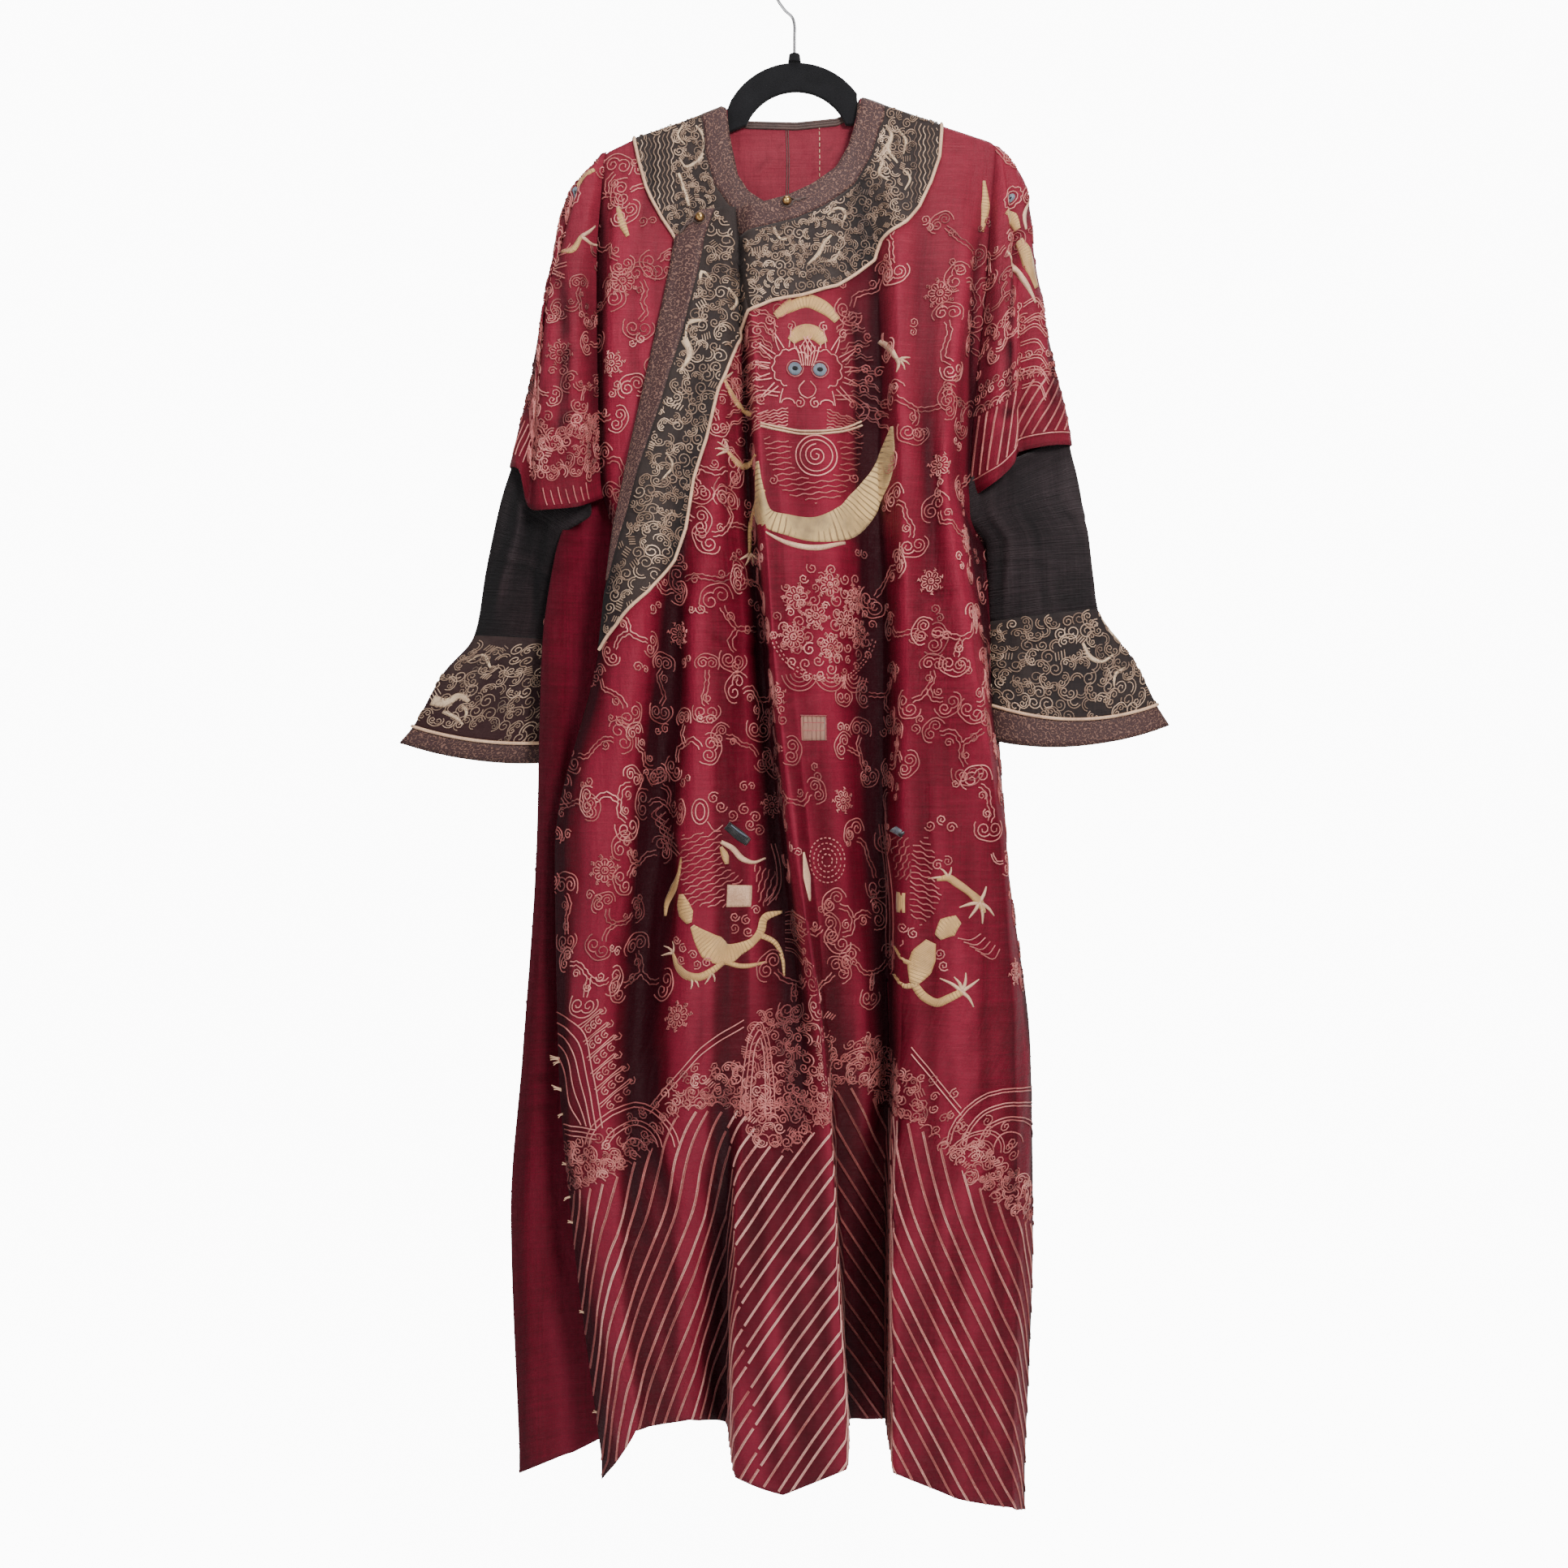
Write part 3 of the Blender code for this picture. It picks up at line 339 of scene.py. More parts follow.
steel = plainLook("steel", {
    "base": (0.72, 0.72, 0.74), "deep": (0.55, 0.55, 0.58), "roughness": 0.22, "metal": 1.0, "grain": 300.0,
    "patches": 20.0, "relief": 0.00005})
print("materials made")

# The folds, in millimetres: each row is one fold at nine levels down the robe.

levels = np.array([192, 311, 532, 609, 711, 923, 1136, 1306, 1561.0])
outerFolds = (  # hem, x at the levels, y at the levels
    (-1583, (-109, -129, -177, -192, -203, -250, -247, -234, -203), (-14, -17, -22, -22, -18, -8, -4, 0, 8)),
    (-1518, (-92, -98, -137, -149, -161, -194, -200, -189, -158), (-15, -22, -38, -42, -46, -46, -42, -36, -30)),
    (-1516, (-79, -83, -106, -117, -128, -145, -164, -163, -146), (-15, -20, -28, -24, -12, 2, -8, -26, -22)),
    (-1513, (-72, -72, -83, -89, -98, -103, -105, -110, -109), (-15, -20, -32, -36, -38, -44, -46, -30, -8)),
    (-1528, (-68, -66, -69, -70, -72, -68, -68, -71, -74), (-15, -14, -22, -26, -30, -34, -40, -6, 26)),
    (-1551, (-65, -63, -59, -57, -54, -45, -45, -59, -60), (-14, -9, -10, -12, -16, -22, -38, -52, -68)),
    (-1562, (-62, -58, -48, -43, -35, -14, 5, -4, -12), (-13, -6, -2, 0, 0, -2, -28, -62, -84)),
    (-1537, (-46, -44, -34, -29, -22, 2, 31, 40, 53), (-12, -26, -46, -52, -56, -56, -52, -66, -84)),
    (-1533, (-24, -24, -16, -11, -4, 17, 38, 48, 62), (-12, -27, -46, -50, -52, -44, -10, 26, 46)),
    (-1535, (18, 18, 26, 30, 34, 47, 64, 72, 78), (-11, -24, -40, -42, -40, -30, -6, 34, 50)),
    (-1534, (73, 84, 87, 89, 91, 93, 101, 98, 98), (-9, -8, -4, -2, 2, 10, 22, 38, 48)),
    (-1547, (98, 108, 110, 113, 116, 111, 108, 100, 99), (-9, -30, -42, -46, -48, -46, -42, -56, -66)),
    (-1573, (128, 140, 141, 142, 145, 153, 161, 165, 164), (-9, -23, -37, -42, -52, -56, -58, -62, -66)),
    (-1587, (170, 167, 154, 161, 179, 210, 225, 228, 221), (-9, -24, -44, -56, -60, -44, -42, -46, -54)),
    (-1599, (191, 187, 172, 192, 204, 219, 239, 241, 233), (-8, -8, -10, 10, 10, -20, -20, -22, -30)),
    (-1607, (210, 203, 185, 209, 213, 224, 248, 250, 240), (-7, 4, 6, 28, 26, 12, 4, 0, -10)),
)
underFolds = (
    (-1470, (-198, -208, -204, -184, -176, -170, -164, -160, -155), (-7, 4, 6, 20, 28, 33, 36, 38, 40)),
    (-1474, (-181, -187, -185, -166, -154, -148, -142, -138, -134), (-8, -14, -10, 12, 28, 34, 38, 40, 42)),
    (-1476, (-160, -166, -159, -145, -128, -120, -112, -108, -103), (-9, -20, -14, 16, 30, 32, 34, 38, 42)),
    (-1478, (-126, -130, -126, -115, -94, -86, -77, -73, -68), (-9, -12, -6, 18, 30, 34, 38, 40, 42)),
    (-1480, (-84, -88, -76, -63, -51, -44, -38, -34, -29), (-8, -4, 6, 20, 32, 34, 36, 39, 42)),
    (-1482, (-46, 5, 10, 14, 18, 20, 22, 22, 22), (-4, 0, 10, 22, 32, 36, 40, 42, 44)),
)
backEdge = ((-198, -208, -228, -252, -266, -272, -287, -300, -293), (7.5, 12, 16, 10, 8, 10, 14, 18, 30))
behindSeam = (14.5, 9, 14, 3.3, 3.3, 3.3, 3.3, 3.3, 3.3)
backDepth = (8, 20, 36, 46, 54, 64, 70, 76, 82)
backRows = ((0.0, -1585, 0.0), (0.1, -1576, 3.0), (0.25, -1540, -6.0), (0.4, -1529, 9.0), (0.55, -1530, -9.0),
    (0.7, -1535, 9.0), (0.86, -1565, -6.0), (1.0, -1607, 0.0))
shoulder = ((-208, -201), (-194, -190), (-167, -177), (-118, -160.5), (-75, -144), (-60, -138), (-40, -130),
    (50, -128), (70, -134.5), (121, -152), (168, -168), (205, -180), (212, -186))
neckline = ((-117, -281), (-100, -258), (-83, -255), (-62, -251), (-33, -249), (-8, -242), (18, -229),
    (43, -210), (56, -187), (63, -163), (67, -138))
underNeck = ((-73, -139), (-69, -161), (-67, -191), (-60, -216), (-48, -233), (-22, -249), (25, -258))
backNeck = ((-74, -138), (-71, -150), (-60, -154), (-46, -156), (1, -157), (44, -153), (65, -148), (70, -132))
centreSeam = ((-413, 12), (-540, 17), (-795, 20), (-965, 28), (-1161, 34), (-1561, 56))


def straight(points, at):
    table = np.array(points, float)
    if table[0, 0] > table[-1, 0]:
        table = table[::-1]
    return np.interp(at, *table.T)


def runLengths(points):
    # How far along a line each of its points lies.
    steps = np.linalg.norm(np.diff(np.asarray(points, float), axis=0), axis=1)
    return np.concatenate([[0], np.cumsum(steps)])


def unit(vectors):
    return vectors / np.maximum(np.linalg.norm(vectors, axis=-1, keepdims=True), 1e-9)


def sideways(path):
    # The unit way to the left at each point of a path.
    way = unit(np.gradient(path, axis=0))
    return np.stack([-way[:, 1], way[:, 0]], axis=1)


def slopesOf(knots, values):
    spans = np.maximum(np.diff(knots, axis=-1), 0.5)
    rises = np.diff(values, axis=-1) / spans
    before, after = rises[..., :-1], rises[..., 1:]
    total = np.where(before + after == 0, 1.0, before + after)
    even = np.where(before * after > 0, 2 * before * after / total, 0.0)
    return spans, np.concatenate([rises[..., :1], even, rises[..., -1:]], axis=-1)


def hermite(v0, v1, m0, m1, span, t):
    t2, t3 = t * t, t * t * t
    value = v0 * (2 * t3 - 3 * t2 + 1) + v1 * (3 * t2 - 2 * t3)
    return value + span * (m0 * (t3 - 2 * t2 + t) + m1 * (t3 - t2))


def smoothTrack(knots, values, at):
    knots = np.asarray(knots, float)
    spans, slopes = slopesOf(knots, values)
    i = np.clip(np.searchsorted(knots, at, side="right") - 1, 0, len(knots) - 2)
    t = (at - knots[i]) / spans[i]
    return hermite(values[..., i], values[..., i + 1], slopes[..., i], slopes[..., i + 1], spans[i], t)


def downLevels(values, depth):
    return smoothTrack(levels, values, np.clip(depth, levels[0], levels[-1]))


def backFolds():
    seamX, seamY = np.array(outerFolds[-1][1:], float)
    edgeX, edgeY = np.array(backEdge, float)
    grown = (levels - levels[0]) / (levels[-1] - levels[0])
    made = []
    for share, hem, swell in backRows:
        turn = math.sin(min(1.0, share / 0.25, (1 - share) / 0.18) * math.pi / 2)
        side = seamY + np.array(behindSeam) if share > 0.5 else edgeY
        made.append((hem, edgeX + (seamX - edgeX) * share, side + (np.array(backDepth) - side) * turn + swell
            * grown))
    return made


def acrossFolds(xs, ys, u):
    i = min(int(u), len(xs) - 2)
    spans, slopes = slopesOf(xs.T, ys.T)
    t = u - i
    x = xs[i] + (xs[i + 1] - xs[i]) * t
    return x, hermite(ys[i], ys[i + 1], slopes[:, i], slopes[:, i + 1], spans[:, i], t)


def gridNormals(points, closedRound=False):
    along = np.gradient(points, axis=1)
    if closedRound:
        along[:, 0] = along[:, -1] = points[:, 1] - points[:, -2]
    down = np.gradient(points, axis=0)
    return unit(np.cross(along, down))


def outwardNormals(points, outward, closedRound=False):
    normals = gridNormals(points, closedRound)
    return -normals if (outward * normals).sum() < 0 else normals


def creaseDepth(x, z, creases):
    # Soft troughs and ridges: each runs from a point to a point, with a width and a depth.
    total = np.zeros_like(x)
    for x0, z0, x1, z1, width, depth in creases:
        dx, dz = x1 - x0, z1 - z0
        along = ((x - x0) * dx + (z - z0) * dz) / (dx * dx + dz * dz)
        side = ((x - x0) * dz - (z - z0) * dx) / math.hypot(dx, dz)
        side = side + 2.5 * np.sin(along * 7.0 + x0)
        fade = np.clip(along / 0.3 + 0.15, 0, 1) * np.clip((1 - along) / 0.3 + 0.15, 0, 1)
        fade = np.where((along > -0.05) & (along < 1.05), fade, 0.0)
        total += depth * fade * np.exp(-(side / width) ** 2)
        total -= 0.45 * depth * fade * np.exp(-((side - 1.9 * width) / width) ** 2)
    return total


def unevenness(s, z, size):
    # A slow waviness that is never the same twice.
    wave = np.sin(s / 23.0 + 1.7 * np.sin(z / 140.0)) * np.sin(z / 61.0 + 0.8)
    wave = wave + 0.7 * np.sin(s / 11.0 - z / 210.0) * np.sin(z / 37.0 + s / 90.0)
    return size * (wave + 0.5 * np.sin(s / 6.3 + 0.9 * np.sin(z / 77.0)) * np.sin(z / 95.0 + 2.0))


def foldDepth(outward, pitch, reach=70.0, full=15.0):
    # How far each point lies behind (+) or before (-) the mean of its neighbours across; the materials and
    # threads paint shade into the troughs and light onto the ridges from it.
    half = int(reach / pitch)
    padded = np.pad(outward, ((0, 0), (half, half)), mode="edge")
    sums = np.cumsum(np.pad(padded, ((0, 0), (1, 0))), axis=1)
    mean = (sums[:, 2 * half + 1:] - sums[:, :-2 * half - 1]) / (2 * half + 1)
    depth = (mean - outward) / full
    padded = np.pad(outward, ((0, 0), (4, 4)), mode="edge")
    close = sum(padded[:, k:k + outward.shape[1]] for k in range(9)) / 9
    depth = np.clip(depth + (close - outward) / 3.4, -1, 1)
    return depth * (0.6 + 0.4 * np.abs(depth))


tableStep = 5.0  # millimetres between the rows of a cloth's tables
rowStride = 9000.0  # more than any width, so all rows of a table can be searched as one


def columnAt(value, row, table):
    # Which column of the table lies at this value, and whether it is on the cloth at all.
    rows, columns = table.shape
    low = row.astype(int)
    share = row - low
    flat = (table + rowStride * np.arange(rows)[:, None]).ravel()
    ends = np.tile(np.arange(columns, dtype=float), rows)
    found, inside = 0.0, np.ones(len(value), bool)
    for r, weight in ((low, 1 - share), (low + 1, share)):
        kept = np.clip(value, table[r, 0], table[r, -1])
        inside &= np.abs(kept - value) < 0.8
        found = found + weight * np.interp(kept + rowStride * r, flat, ends)
    return found, inside


class Cloth:
    # A panel as a fine grid of points, and tables that find a place on it.
    # s counts millimetres across the cloth, from the middle seam or the armhole.
    def __init__(self, folds, topOf, side, pitch, creases, rough, roundTop=None, roundFrom=None, seamAt=None):
        hems, foldX, foldY = (np.array(column, float) for column in zip(*folds))
        lengths = np.hypot(np.diff(foldX, axis=0), np.diff(foldY, axis=0)).max(axis=1)
        shares = [i + k / n for i, n in enumerate(max(2, int(v / pitch) + 1) for v in lengths)
            for k in range(n)] + [len(foldX) - 1.0]
        self.shares = np.array(shares)
        self.tableZ = -np.arange(levels[0] - 62, 1610, tableStep)
        tableX, tableY = self.sweep(foldX, foldY, -self.tableZ)
        tableS = np.cumsum(np.hypot(np.diff(tableX, axis=1, prepend=tableX[:, :1]),
            np.diff(tableY, axis=1, prepend=tableY[:, :1])), axis=1)
        if seamAt:
            seam = [np.interp(straight(seamAt, z), tableX[r], tableS[r]) for r, z in enumerate(self.tableZ)]
            tableS = tableS - np.array(seam)[:, None]
        self.tableX, self.tableS = tableX, tableS
        columns = len(shares)
        whole = np.arange(len(hems))
        self.hem = np.interp(self.shares, whole, hems)
        top = np.full(columns, -levels[0])
        for _ in range(12):
            reach = np.array([np.interp(-top[c], -self.tableZ, tableX[:, c]) for c in range(columns)])
            top = 0.5 * top + 0.5 * straight(topOf, reach)
        self.top = top
        drops = np.array([0, 0.4, 1.2, 2.4, 4, 6, 8, 11, 14.5, 19, 24])
        rows = int((-hems.min() - 200) / (pitch * 1.12))
        self.drops, self.rest = drops, np.linspace(0, 1, rows)[1:]
        start = top - drops[-1]
        body = start[None] + (self.hem - start)[None] * self.rest[:, None]
        z = np.vstack([top[None] - drops[:, None], body])
        x, y = np.empty_like(z), np.empty_like(z)
        for c, u in enumerate(self.shares):
            x[:, c], y[:, c] = acrossFolds(downLevels(foldX, -z[:, c]), downLevels(foldY, -z[:, c]), u)
        if roundTop:
            edge = straight(roundTop, x[0])
            t = np.clip((edge[None] - z) / robe["roundReach"], 0, 1)
            ease = np.where(roundFrom(x[0])[None], np.sqrt(1 - (1 - t) ** 2), 1.0)
            seamGap = side * robe["seamGap"]
            y = seamGap + (y - seamGap) * ease
        self.points = np.dstack([x, y, z])
        s = self.acrossAt(x, z)
        self.flat = np.dstack([s, z])
        fade = np.clip((top[None] - z) / 40.0, 0, 1) * np.clip((z - self.hem[None]) / 60.0 + 0.35, 0, 1)
        push = creaseDepth(x, z, creases) + unevenness(s, z, rough)
        edges = np.clip(np.minimum(np.arange(columns), np.arange(columns)[::-1]) / 3.0, 0, 1)
        outward = np.array([0, side, 0])
        moved = (push * fade * edges[None])[..., None]
        self.points = self.points + outwardNormals(self.points, outward) * moved
        self.normals = outwardNormals(self.points, outward)
        self.fold = foldDepth(self.points[..., 1] * side, pitch)

    def sweep(self, foldX, foldY, depths):
        xs, ys = downLevels(foldX, depths), downLevels(foldY, depths)
        pairs = [acrossFolds(xs, ys, u) for u in self.shares]
        return np.array([p[0] for p in pairs]).T, np.array([p[1] for p in pairs]).T

    def tableRow(self, z):
        return np.clip((self.tableZ[0] - z) / tableStep, 0, len(self.tableZ) - 1.001)

    def column(self, value, z, table):
        return columnAt(value, self.tableRow(z), table)

    def acrossAt(self, x, z):
        flatX, flatZ = x.ravel(), z.ravel()
        column, _ = self.column(flatX, flatZ, self.tableX)
        return sample(self.tableS[..., None], self.tableRow(flatZ), column)[:, 0].reshape(x.shape)

    def place(self, value, z, lift, byX=False):
        # Points on the cloth, lifted along its normal, and which of them are really on it.
        column, inside = self.column(value, z, self.tableX if byX else self.tableS)
        whole = np.arange(len(self.top))
        top, hem = np.interp(column, whole, self.top), np.interp(column, whole, self.hem)
        drop, start = top - z, top - self.drops[-1]
        upper = np.interp(drop, self.drops, np.arange(len(self.drops)))
        lower = np.clip((start - z) / (start - hem), 0, 1) * len(self.rest) + len(self.drops) - 1
        row = np.where(drop < self.drops[-1], upper, lower)
        inside = inside & (drop > -0.8) & (z > hem - 0.8)
        return liftedFrom(self, row, column, lift), inside


def liftedFrom(cloth, row, column, lift):
    # Points lifted along a cloth's normals, with the depth of its folds kept for the threads' painted shade.
    cloth.found = sample(cloth.fold[..., None], row, column)[:, 0]
    return sample(cloth.points, row, column) + sample(cloth.normals, row, column) * np.reshape(lift, (-1, 1))


def sample(grid, row, column):
    rows, columns = grid.shape[:2]
    row, column = np.clip(row, 0, rows - 1.001), np.clip(column, 0, columns - 1.001)
    r, c = row.astype(int), column.astype(int)
    a, b = (row - r)[:, None], (column - c)[:, None]
    near = grid[r, c] * (1 - b) + grid[r, c + 1] * b
    far = grid[r + 1, c] * (1 - b) + grid[r + 1, c + 1] * b
    return near * (1 - a) + far * a


def plainMesh(name, points, faces, uvs, uvFaces=None, fold=None):
    mesh = bpy.data.meshes.new(name)
    mesh.from_pydata((np.reshape(points, (-1, 3)) * mm).tolist(), [], np.asarray(faces).tolist())
    if fold is not None:
        layer = mesh.attributes.new("fold", "FLOAT", "POINT")
        layer.data.foreach_set("value", np.reshape(fold, -1).astype(np.float32))
    layer = mesh.uv_layers.new(name="cloth")
    flat = np.reshape(uvs, (-1, 2)) * mm
    loops = np.asarray(faces if uvFaces is None else uvFaces).ravel()
    layer.data.foreach_set("uv", flat[loops].astype(np.float32).ravel())
    mesh.shade_smooth()
    return mesh


def gridFaces(rows, columns, flip=False, closedRound=False):
    # A closed grid's last column is its first again.
    count = columns - 1 if closedRound else columns
    r, c = np.meshgrid(np.arange(rows - 1), np.arange(columns - 1), indexing="ij")
    r, c = r.ravel(), c.ravel()
    a, b = r * count + c, r * count + ((c + 1) % count if closedRound else c + 1)
    faces = np.stack([a, a + count, b + count, b], axis=1)
    return faces[:, ::-1] if flip else faces


def gridMesh(name, points, normals, uvs, closedRound=False, fold=None):
    rows, columns = points.shape[:2]
    flip = (gridNormals(points) * normals).sum() > 0
    faces = gridFaces(rows, columns, flip, closedRound)
    uvFaces = gridFaces(rows, columns, flip)
    if closedRound:
        points, fold = points[:, :-1], None if fold is None else fold[:, :-1]
    return plainMesh(name, points, faces, uvs, uvFaces=uvFaces, fold=fold)


pieces = {}


def named(*names):
    return [pieces[name] for name in names]


def putPiece(name, mesh, materials, replaced=()):
    item = pieces[name] = bpy.data.objects.new(name, mesh)
    for each in materials:
        item.data.materials.append(each)
    bpy.context.scene.collection.objects.link(item)
    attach(item, "root")
    if replaced:
        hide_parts(*replaced)
    return item


def wall(item, thickness, outwards=False, lined=False):
    solid = item.modifiers.new("wall", "SOLIDIFY")
    solid.thickness = thickness * mm
    solid.offset = 1.0 if outwards else -1.0
    if lined:
        solid.material_offset = 1


def shellPiece(name, cloth, materials, replaced, thickness=1.3, closedRound=False):
    mesh = gridMesh(name, cloth.points, cloth.normals, cloth.flat, closedRound, cloth.fold)
    item = putPiece(name, mesh, materials, replaced)
    wall(item, thickness, lined=len(materials) > 1)
    return item


robe = {"pitch": 6.4, "backPitch": 7.0, "rough": 1.25, "seamGap": 0.62, "roundReach": 8.0}
outerTop = ((-140, -283.5),) + neckline + ((67.6, -134.0),) + shoulder[8:]
underTop = shoulder[:5] + underNeck
backTop = shoulder[:5] + backNeck + shoulder[9:]
outerCreases = (
    # the flap at the wearer's right, and the folds between it and the front panel
    (-190, -780, -215, -1180, 6, -1.8), (-170, -860, -182, -1420, 7, 1.8),
    (-225, -930, -232, -1400, 5, 1.5), (-120, -700, -128, -1120, 8, -1.6),
    (-85, -720, -92, -1240, 6, 1.6), (-140, -1180, -122, -1500, 7, -1.8),
    (-60, -760, -52, -1130, 6, -1.5), (-100, -690, -20, -706, 4, 1.6), (-100, -702, -15, -719, 4, -1.5),
    # chest
    (0, -330, 10, -620, 9, -1.2), (35, -340, 46, -700, 7, 1.3), (62, -350, 74, -560, 6, -2.2),
    (96, -290, 118, -560, 7, 2.0), (128, -300, 136, -640, 6, -1.1), (152, -300, 150, -600, 6, 1.8),
    (108, -250, 100, -420, 5, -1.2), (197, -228, 182, -540, 6, -3.8), (176, -240, 164, -500, 6, 1.8),
    (60, -590, 120, -660, 6, -1.1), (20, -640, 80, -690, 6, 1.0), (100, -680, 190, -640, 6, -1.2),
    # skirt
    (8, -760, 24, -1150, 7, -1.4), (62, -820, 78, -1240, 6, 1.5), (130, -760, 142, -1330, 8, -1.7),
    (165, -840, 176, -1500, 7, 1.6), (190, -900, 205, -1450, 6, -1.6), (150, -1120, 152, -1540, 6, 1.5),
    (20, -1210, 36, -1500, 8, -1.3), (-30, -1260, -10, -1540, 7, 1.4), (205, -1240, 228, -1500, 5, 1.4),
    (120, -1400, 214, -1442, 5, 1.1), (-20, -1320, 44, -1352, 5, -1.0), (40, -560, 108, -600, 5, 1.2),
    (-205, -1300, -150, -1336, 6, 1.3), (170, -1180, 236, -1220, 5, -1.3), (-150, -880, -90, -930, 6, 1.3),
    (60, -760, 150, -800, 6, 1.3), (-200, -1000, -140, -1060, 6, -1.3), (100, -1010, 190, -1060, 7, 1.4),
)
underCreases = (
    (-150, -190, -172, -430, 8, -3.4), (-128, -250, -140, -440, 6, 3.0), (-182, -220, -196, -520, 7, 3.4),
    # first below: a deep trough under the sleeve's hem, which the painted fold shade darkens
    (-204, -560, -246, -570, 12, -3.4), (-166, -380, -150, -560, 8, -3.2), (-172, -200, -186, -380, 5, -2.4),
    (-204, -300, -200, -500, 5, -2.2), (-120, -700, -105, -1300, 8, 1.8), (-60, -600, -50, -1350, 8, -1.6),
)
backCreases = (
    # first below: a deep trough under the sleeve's hem, which the painted fold shade darkens
    (-204, -560, -248, -572, 12, -3.4), (-252, -600, -250, -700, 7, -2.4), (-252, -760, -268, -1420, 7, -2.0),
    (-238, -720, -240, -1180, 5, 1.6), (-284, -1080, -280, -1500, 6, 1.6), (-262, -1300, -226, -1420, 7, 1.6),
    (-278, -1360, -232, -1500, 6, -1.8), (-255, -900, -225, -1010, 5, 1.3), (-150, -330, -170, -900, 8, -1.8),
    (-95, -380, -110, -1300, 9, 1.8), (-40, -240, -46, -820, 8, -1.6), (28, -210, 24, -760, 6, 1.6),
    (72, -330, 96, -1150, 9, -1.9), (120, -300, 150, -980, 7, 1.8), (170, -520, 196, -1250, 7, -1.9),
    (0, -900, 12, -1480, 9, 1.6), (-180, -1000, -205, -1500, 8, 1.6), (-60, -600, 60, -640, 7, -1.4),
    (-120, -860, 20, -900, 7, 1.2), (-20, -168, -6, -220, 4, -1.6), (-46, -204, -6, -190, 4, -1.8),
    (30, -166, 46, -206, 4, 1.6), (-55, -170, -34, -190, 4, 1.6), (10, -164, 18, -236, 3, 1.4),
    (18, -176, 55, -196, 4, -1.8), (-50, -184, -12, -176, 3, 1.4), (14, -200, 40, -228, 4, 1.6),
    (60, -700, 170, -760, 7, -1.5), (-230, -620, -120, -700, 8, 1.6), (90, -1240, 180, -1290, 7, 1.3),
)
outerCloth = Cloth(outerFolds, outerTop, -1, robe["pitch"], outerCreases, robe["rough"], shoulder,
    lambda x: x > 50, centreSeam)
underCloth = Cloth(underFolds, underTop, -1, robe["pitch"] * 1.3, underCreases, 0.8, shoulder,
    lambda x: x < -66)
backCloth = Cloth(backFolds(), backTop, 1, robe["backPitch"], backCreases, 1.3, shoulder,
    lambda x: abs(x) > 0, ((-150, 0), (-1600, -10)))
for name, cloth, node in (("outerFrontCloth", outerCloth, "outer_front"),
        ("underFrontCloth", underCloth, "under_front"), ("backCloth", backCloth, "back")):
    shellPiece(name, cloth, (redSilk, redLining), (node,))
print("panels made", outerCloth.points.shape, underCloth.points.shape, backCloth.points.shape)


# Sleeves: rows from the armhole down, each over the front and back round to the armhole.

class Patch:
    # A grid with even rows: a counts millimetres from its first column, b down from its top.
    def __init__(self, points, inner, rough=0.0, creases=(), closedRound=False, shaded=0.0):
        lengths = np.linalg.norm(np.diff(points, axis=0), axis=2)
        self.length = lengths.sum(axis=0).mean()
        normals = outwardNormals(points, points - inner, closedRound)
        steps = np.linalg.norm(np.diff(points, axis=1, prepend=points[:, :1]), axis=2)
        across = np.cumsum(steps, axis=1)
        down = np.broadcast_to(np.linspace(0, self.length, len(points))[:, None], across.shape)
        if rough:
            push = creaseDepth(across, -down, creases) + unevenness(across, down, rough)
            ends = np.clip(np.minimum(down, self.length - down) / 30.0 + 0.15, 0, 1)
            if closedRound:
                rim = 2 * math.pi * across / across[:, -1:]
                push = creaseDepth(across, -down, creases)
                push += unevenness(60 * np.sin(rim), down + 17 * np.cos(rim), rough)
                ends[:, 0] = ends[:, -1]
                push[:, -1] = push[:, 0]
            else:
                ends = ends * np.clip(np.minimum(across, across[:, -1:] - across) / 20.0, 0, 1)
            points = points + normals * (push * ends)[..., None]
        self.points, self.across = points, across
        self.normals = outwardNormals(points, points - inner, closedRound)
        # The fold value paints shade: a share of painted shade all over, plus painted shade in crease troughs
        # and painted light on ridges.
        self.fold = np.clip(shaded - (push if rough else np.zeros_like(across)) / 2.0, -1, 1)
        self.flat = np.dstack([across, down])

    def near(self, x, z):
        # Across and down on the front of the sleeve, for a point seen from the front.
        hidden = self.normals[..., 1] > -0.1
        gap = np.hypot(self.points[..., 0] - x, self.points[..., 2] - z) + 900.0 * hidden
        row, column = np.unravel_index(np.argmin(gap), gap.shape)
        return np.array([self.across[row, column], -self.length * row / (len(self.points) - 1)])

    def place(self, a, b, lift):
        row = np.clip(b / self.length, 0, 1) * (len(self.points) - 1.001)
        column, inside = columnAt(a, row, self.across)
        inside = inside & (b > -0.8) & (b < self.length + 0.8)
        return liftedFrom(self, row, column, lift), inside


rightSleeveRows = (  # z, then x and y at the ridge, fold, crease, strip and outer edge
    (-192, (-196, -6), (-197, -6), (-198, -5), (-200, -4), (-203, 0)),
    (-204, (-205, -8), (-207, -8), (-208, -7), (-209, -5), (-212, 0)),
    (-235, (-212, -12), (-223, -12), (-227, -5), (-231, -6), (-239, 2)),
    (-286, (-222, -17), (-238, -14), (-244, -3), (-247, -6), (-252, 4)),
    (-371, (-230, -22), (-253, -18), (-262, -4), (-264, -8), (-269, 6)),
    (-456, (-230, -24), (-260, -20), (-269, -7), (-274, -10), (-285, 8)),
    (-532, (-229, -26), (-266, -20), (-275, -9), (-289, -11), (-303, 10)),
    (-570, (-227, -28), (-268, -20), (-279, -9), (-295, -11), (-308, 10)),
)
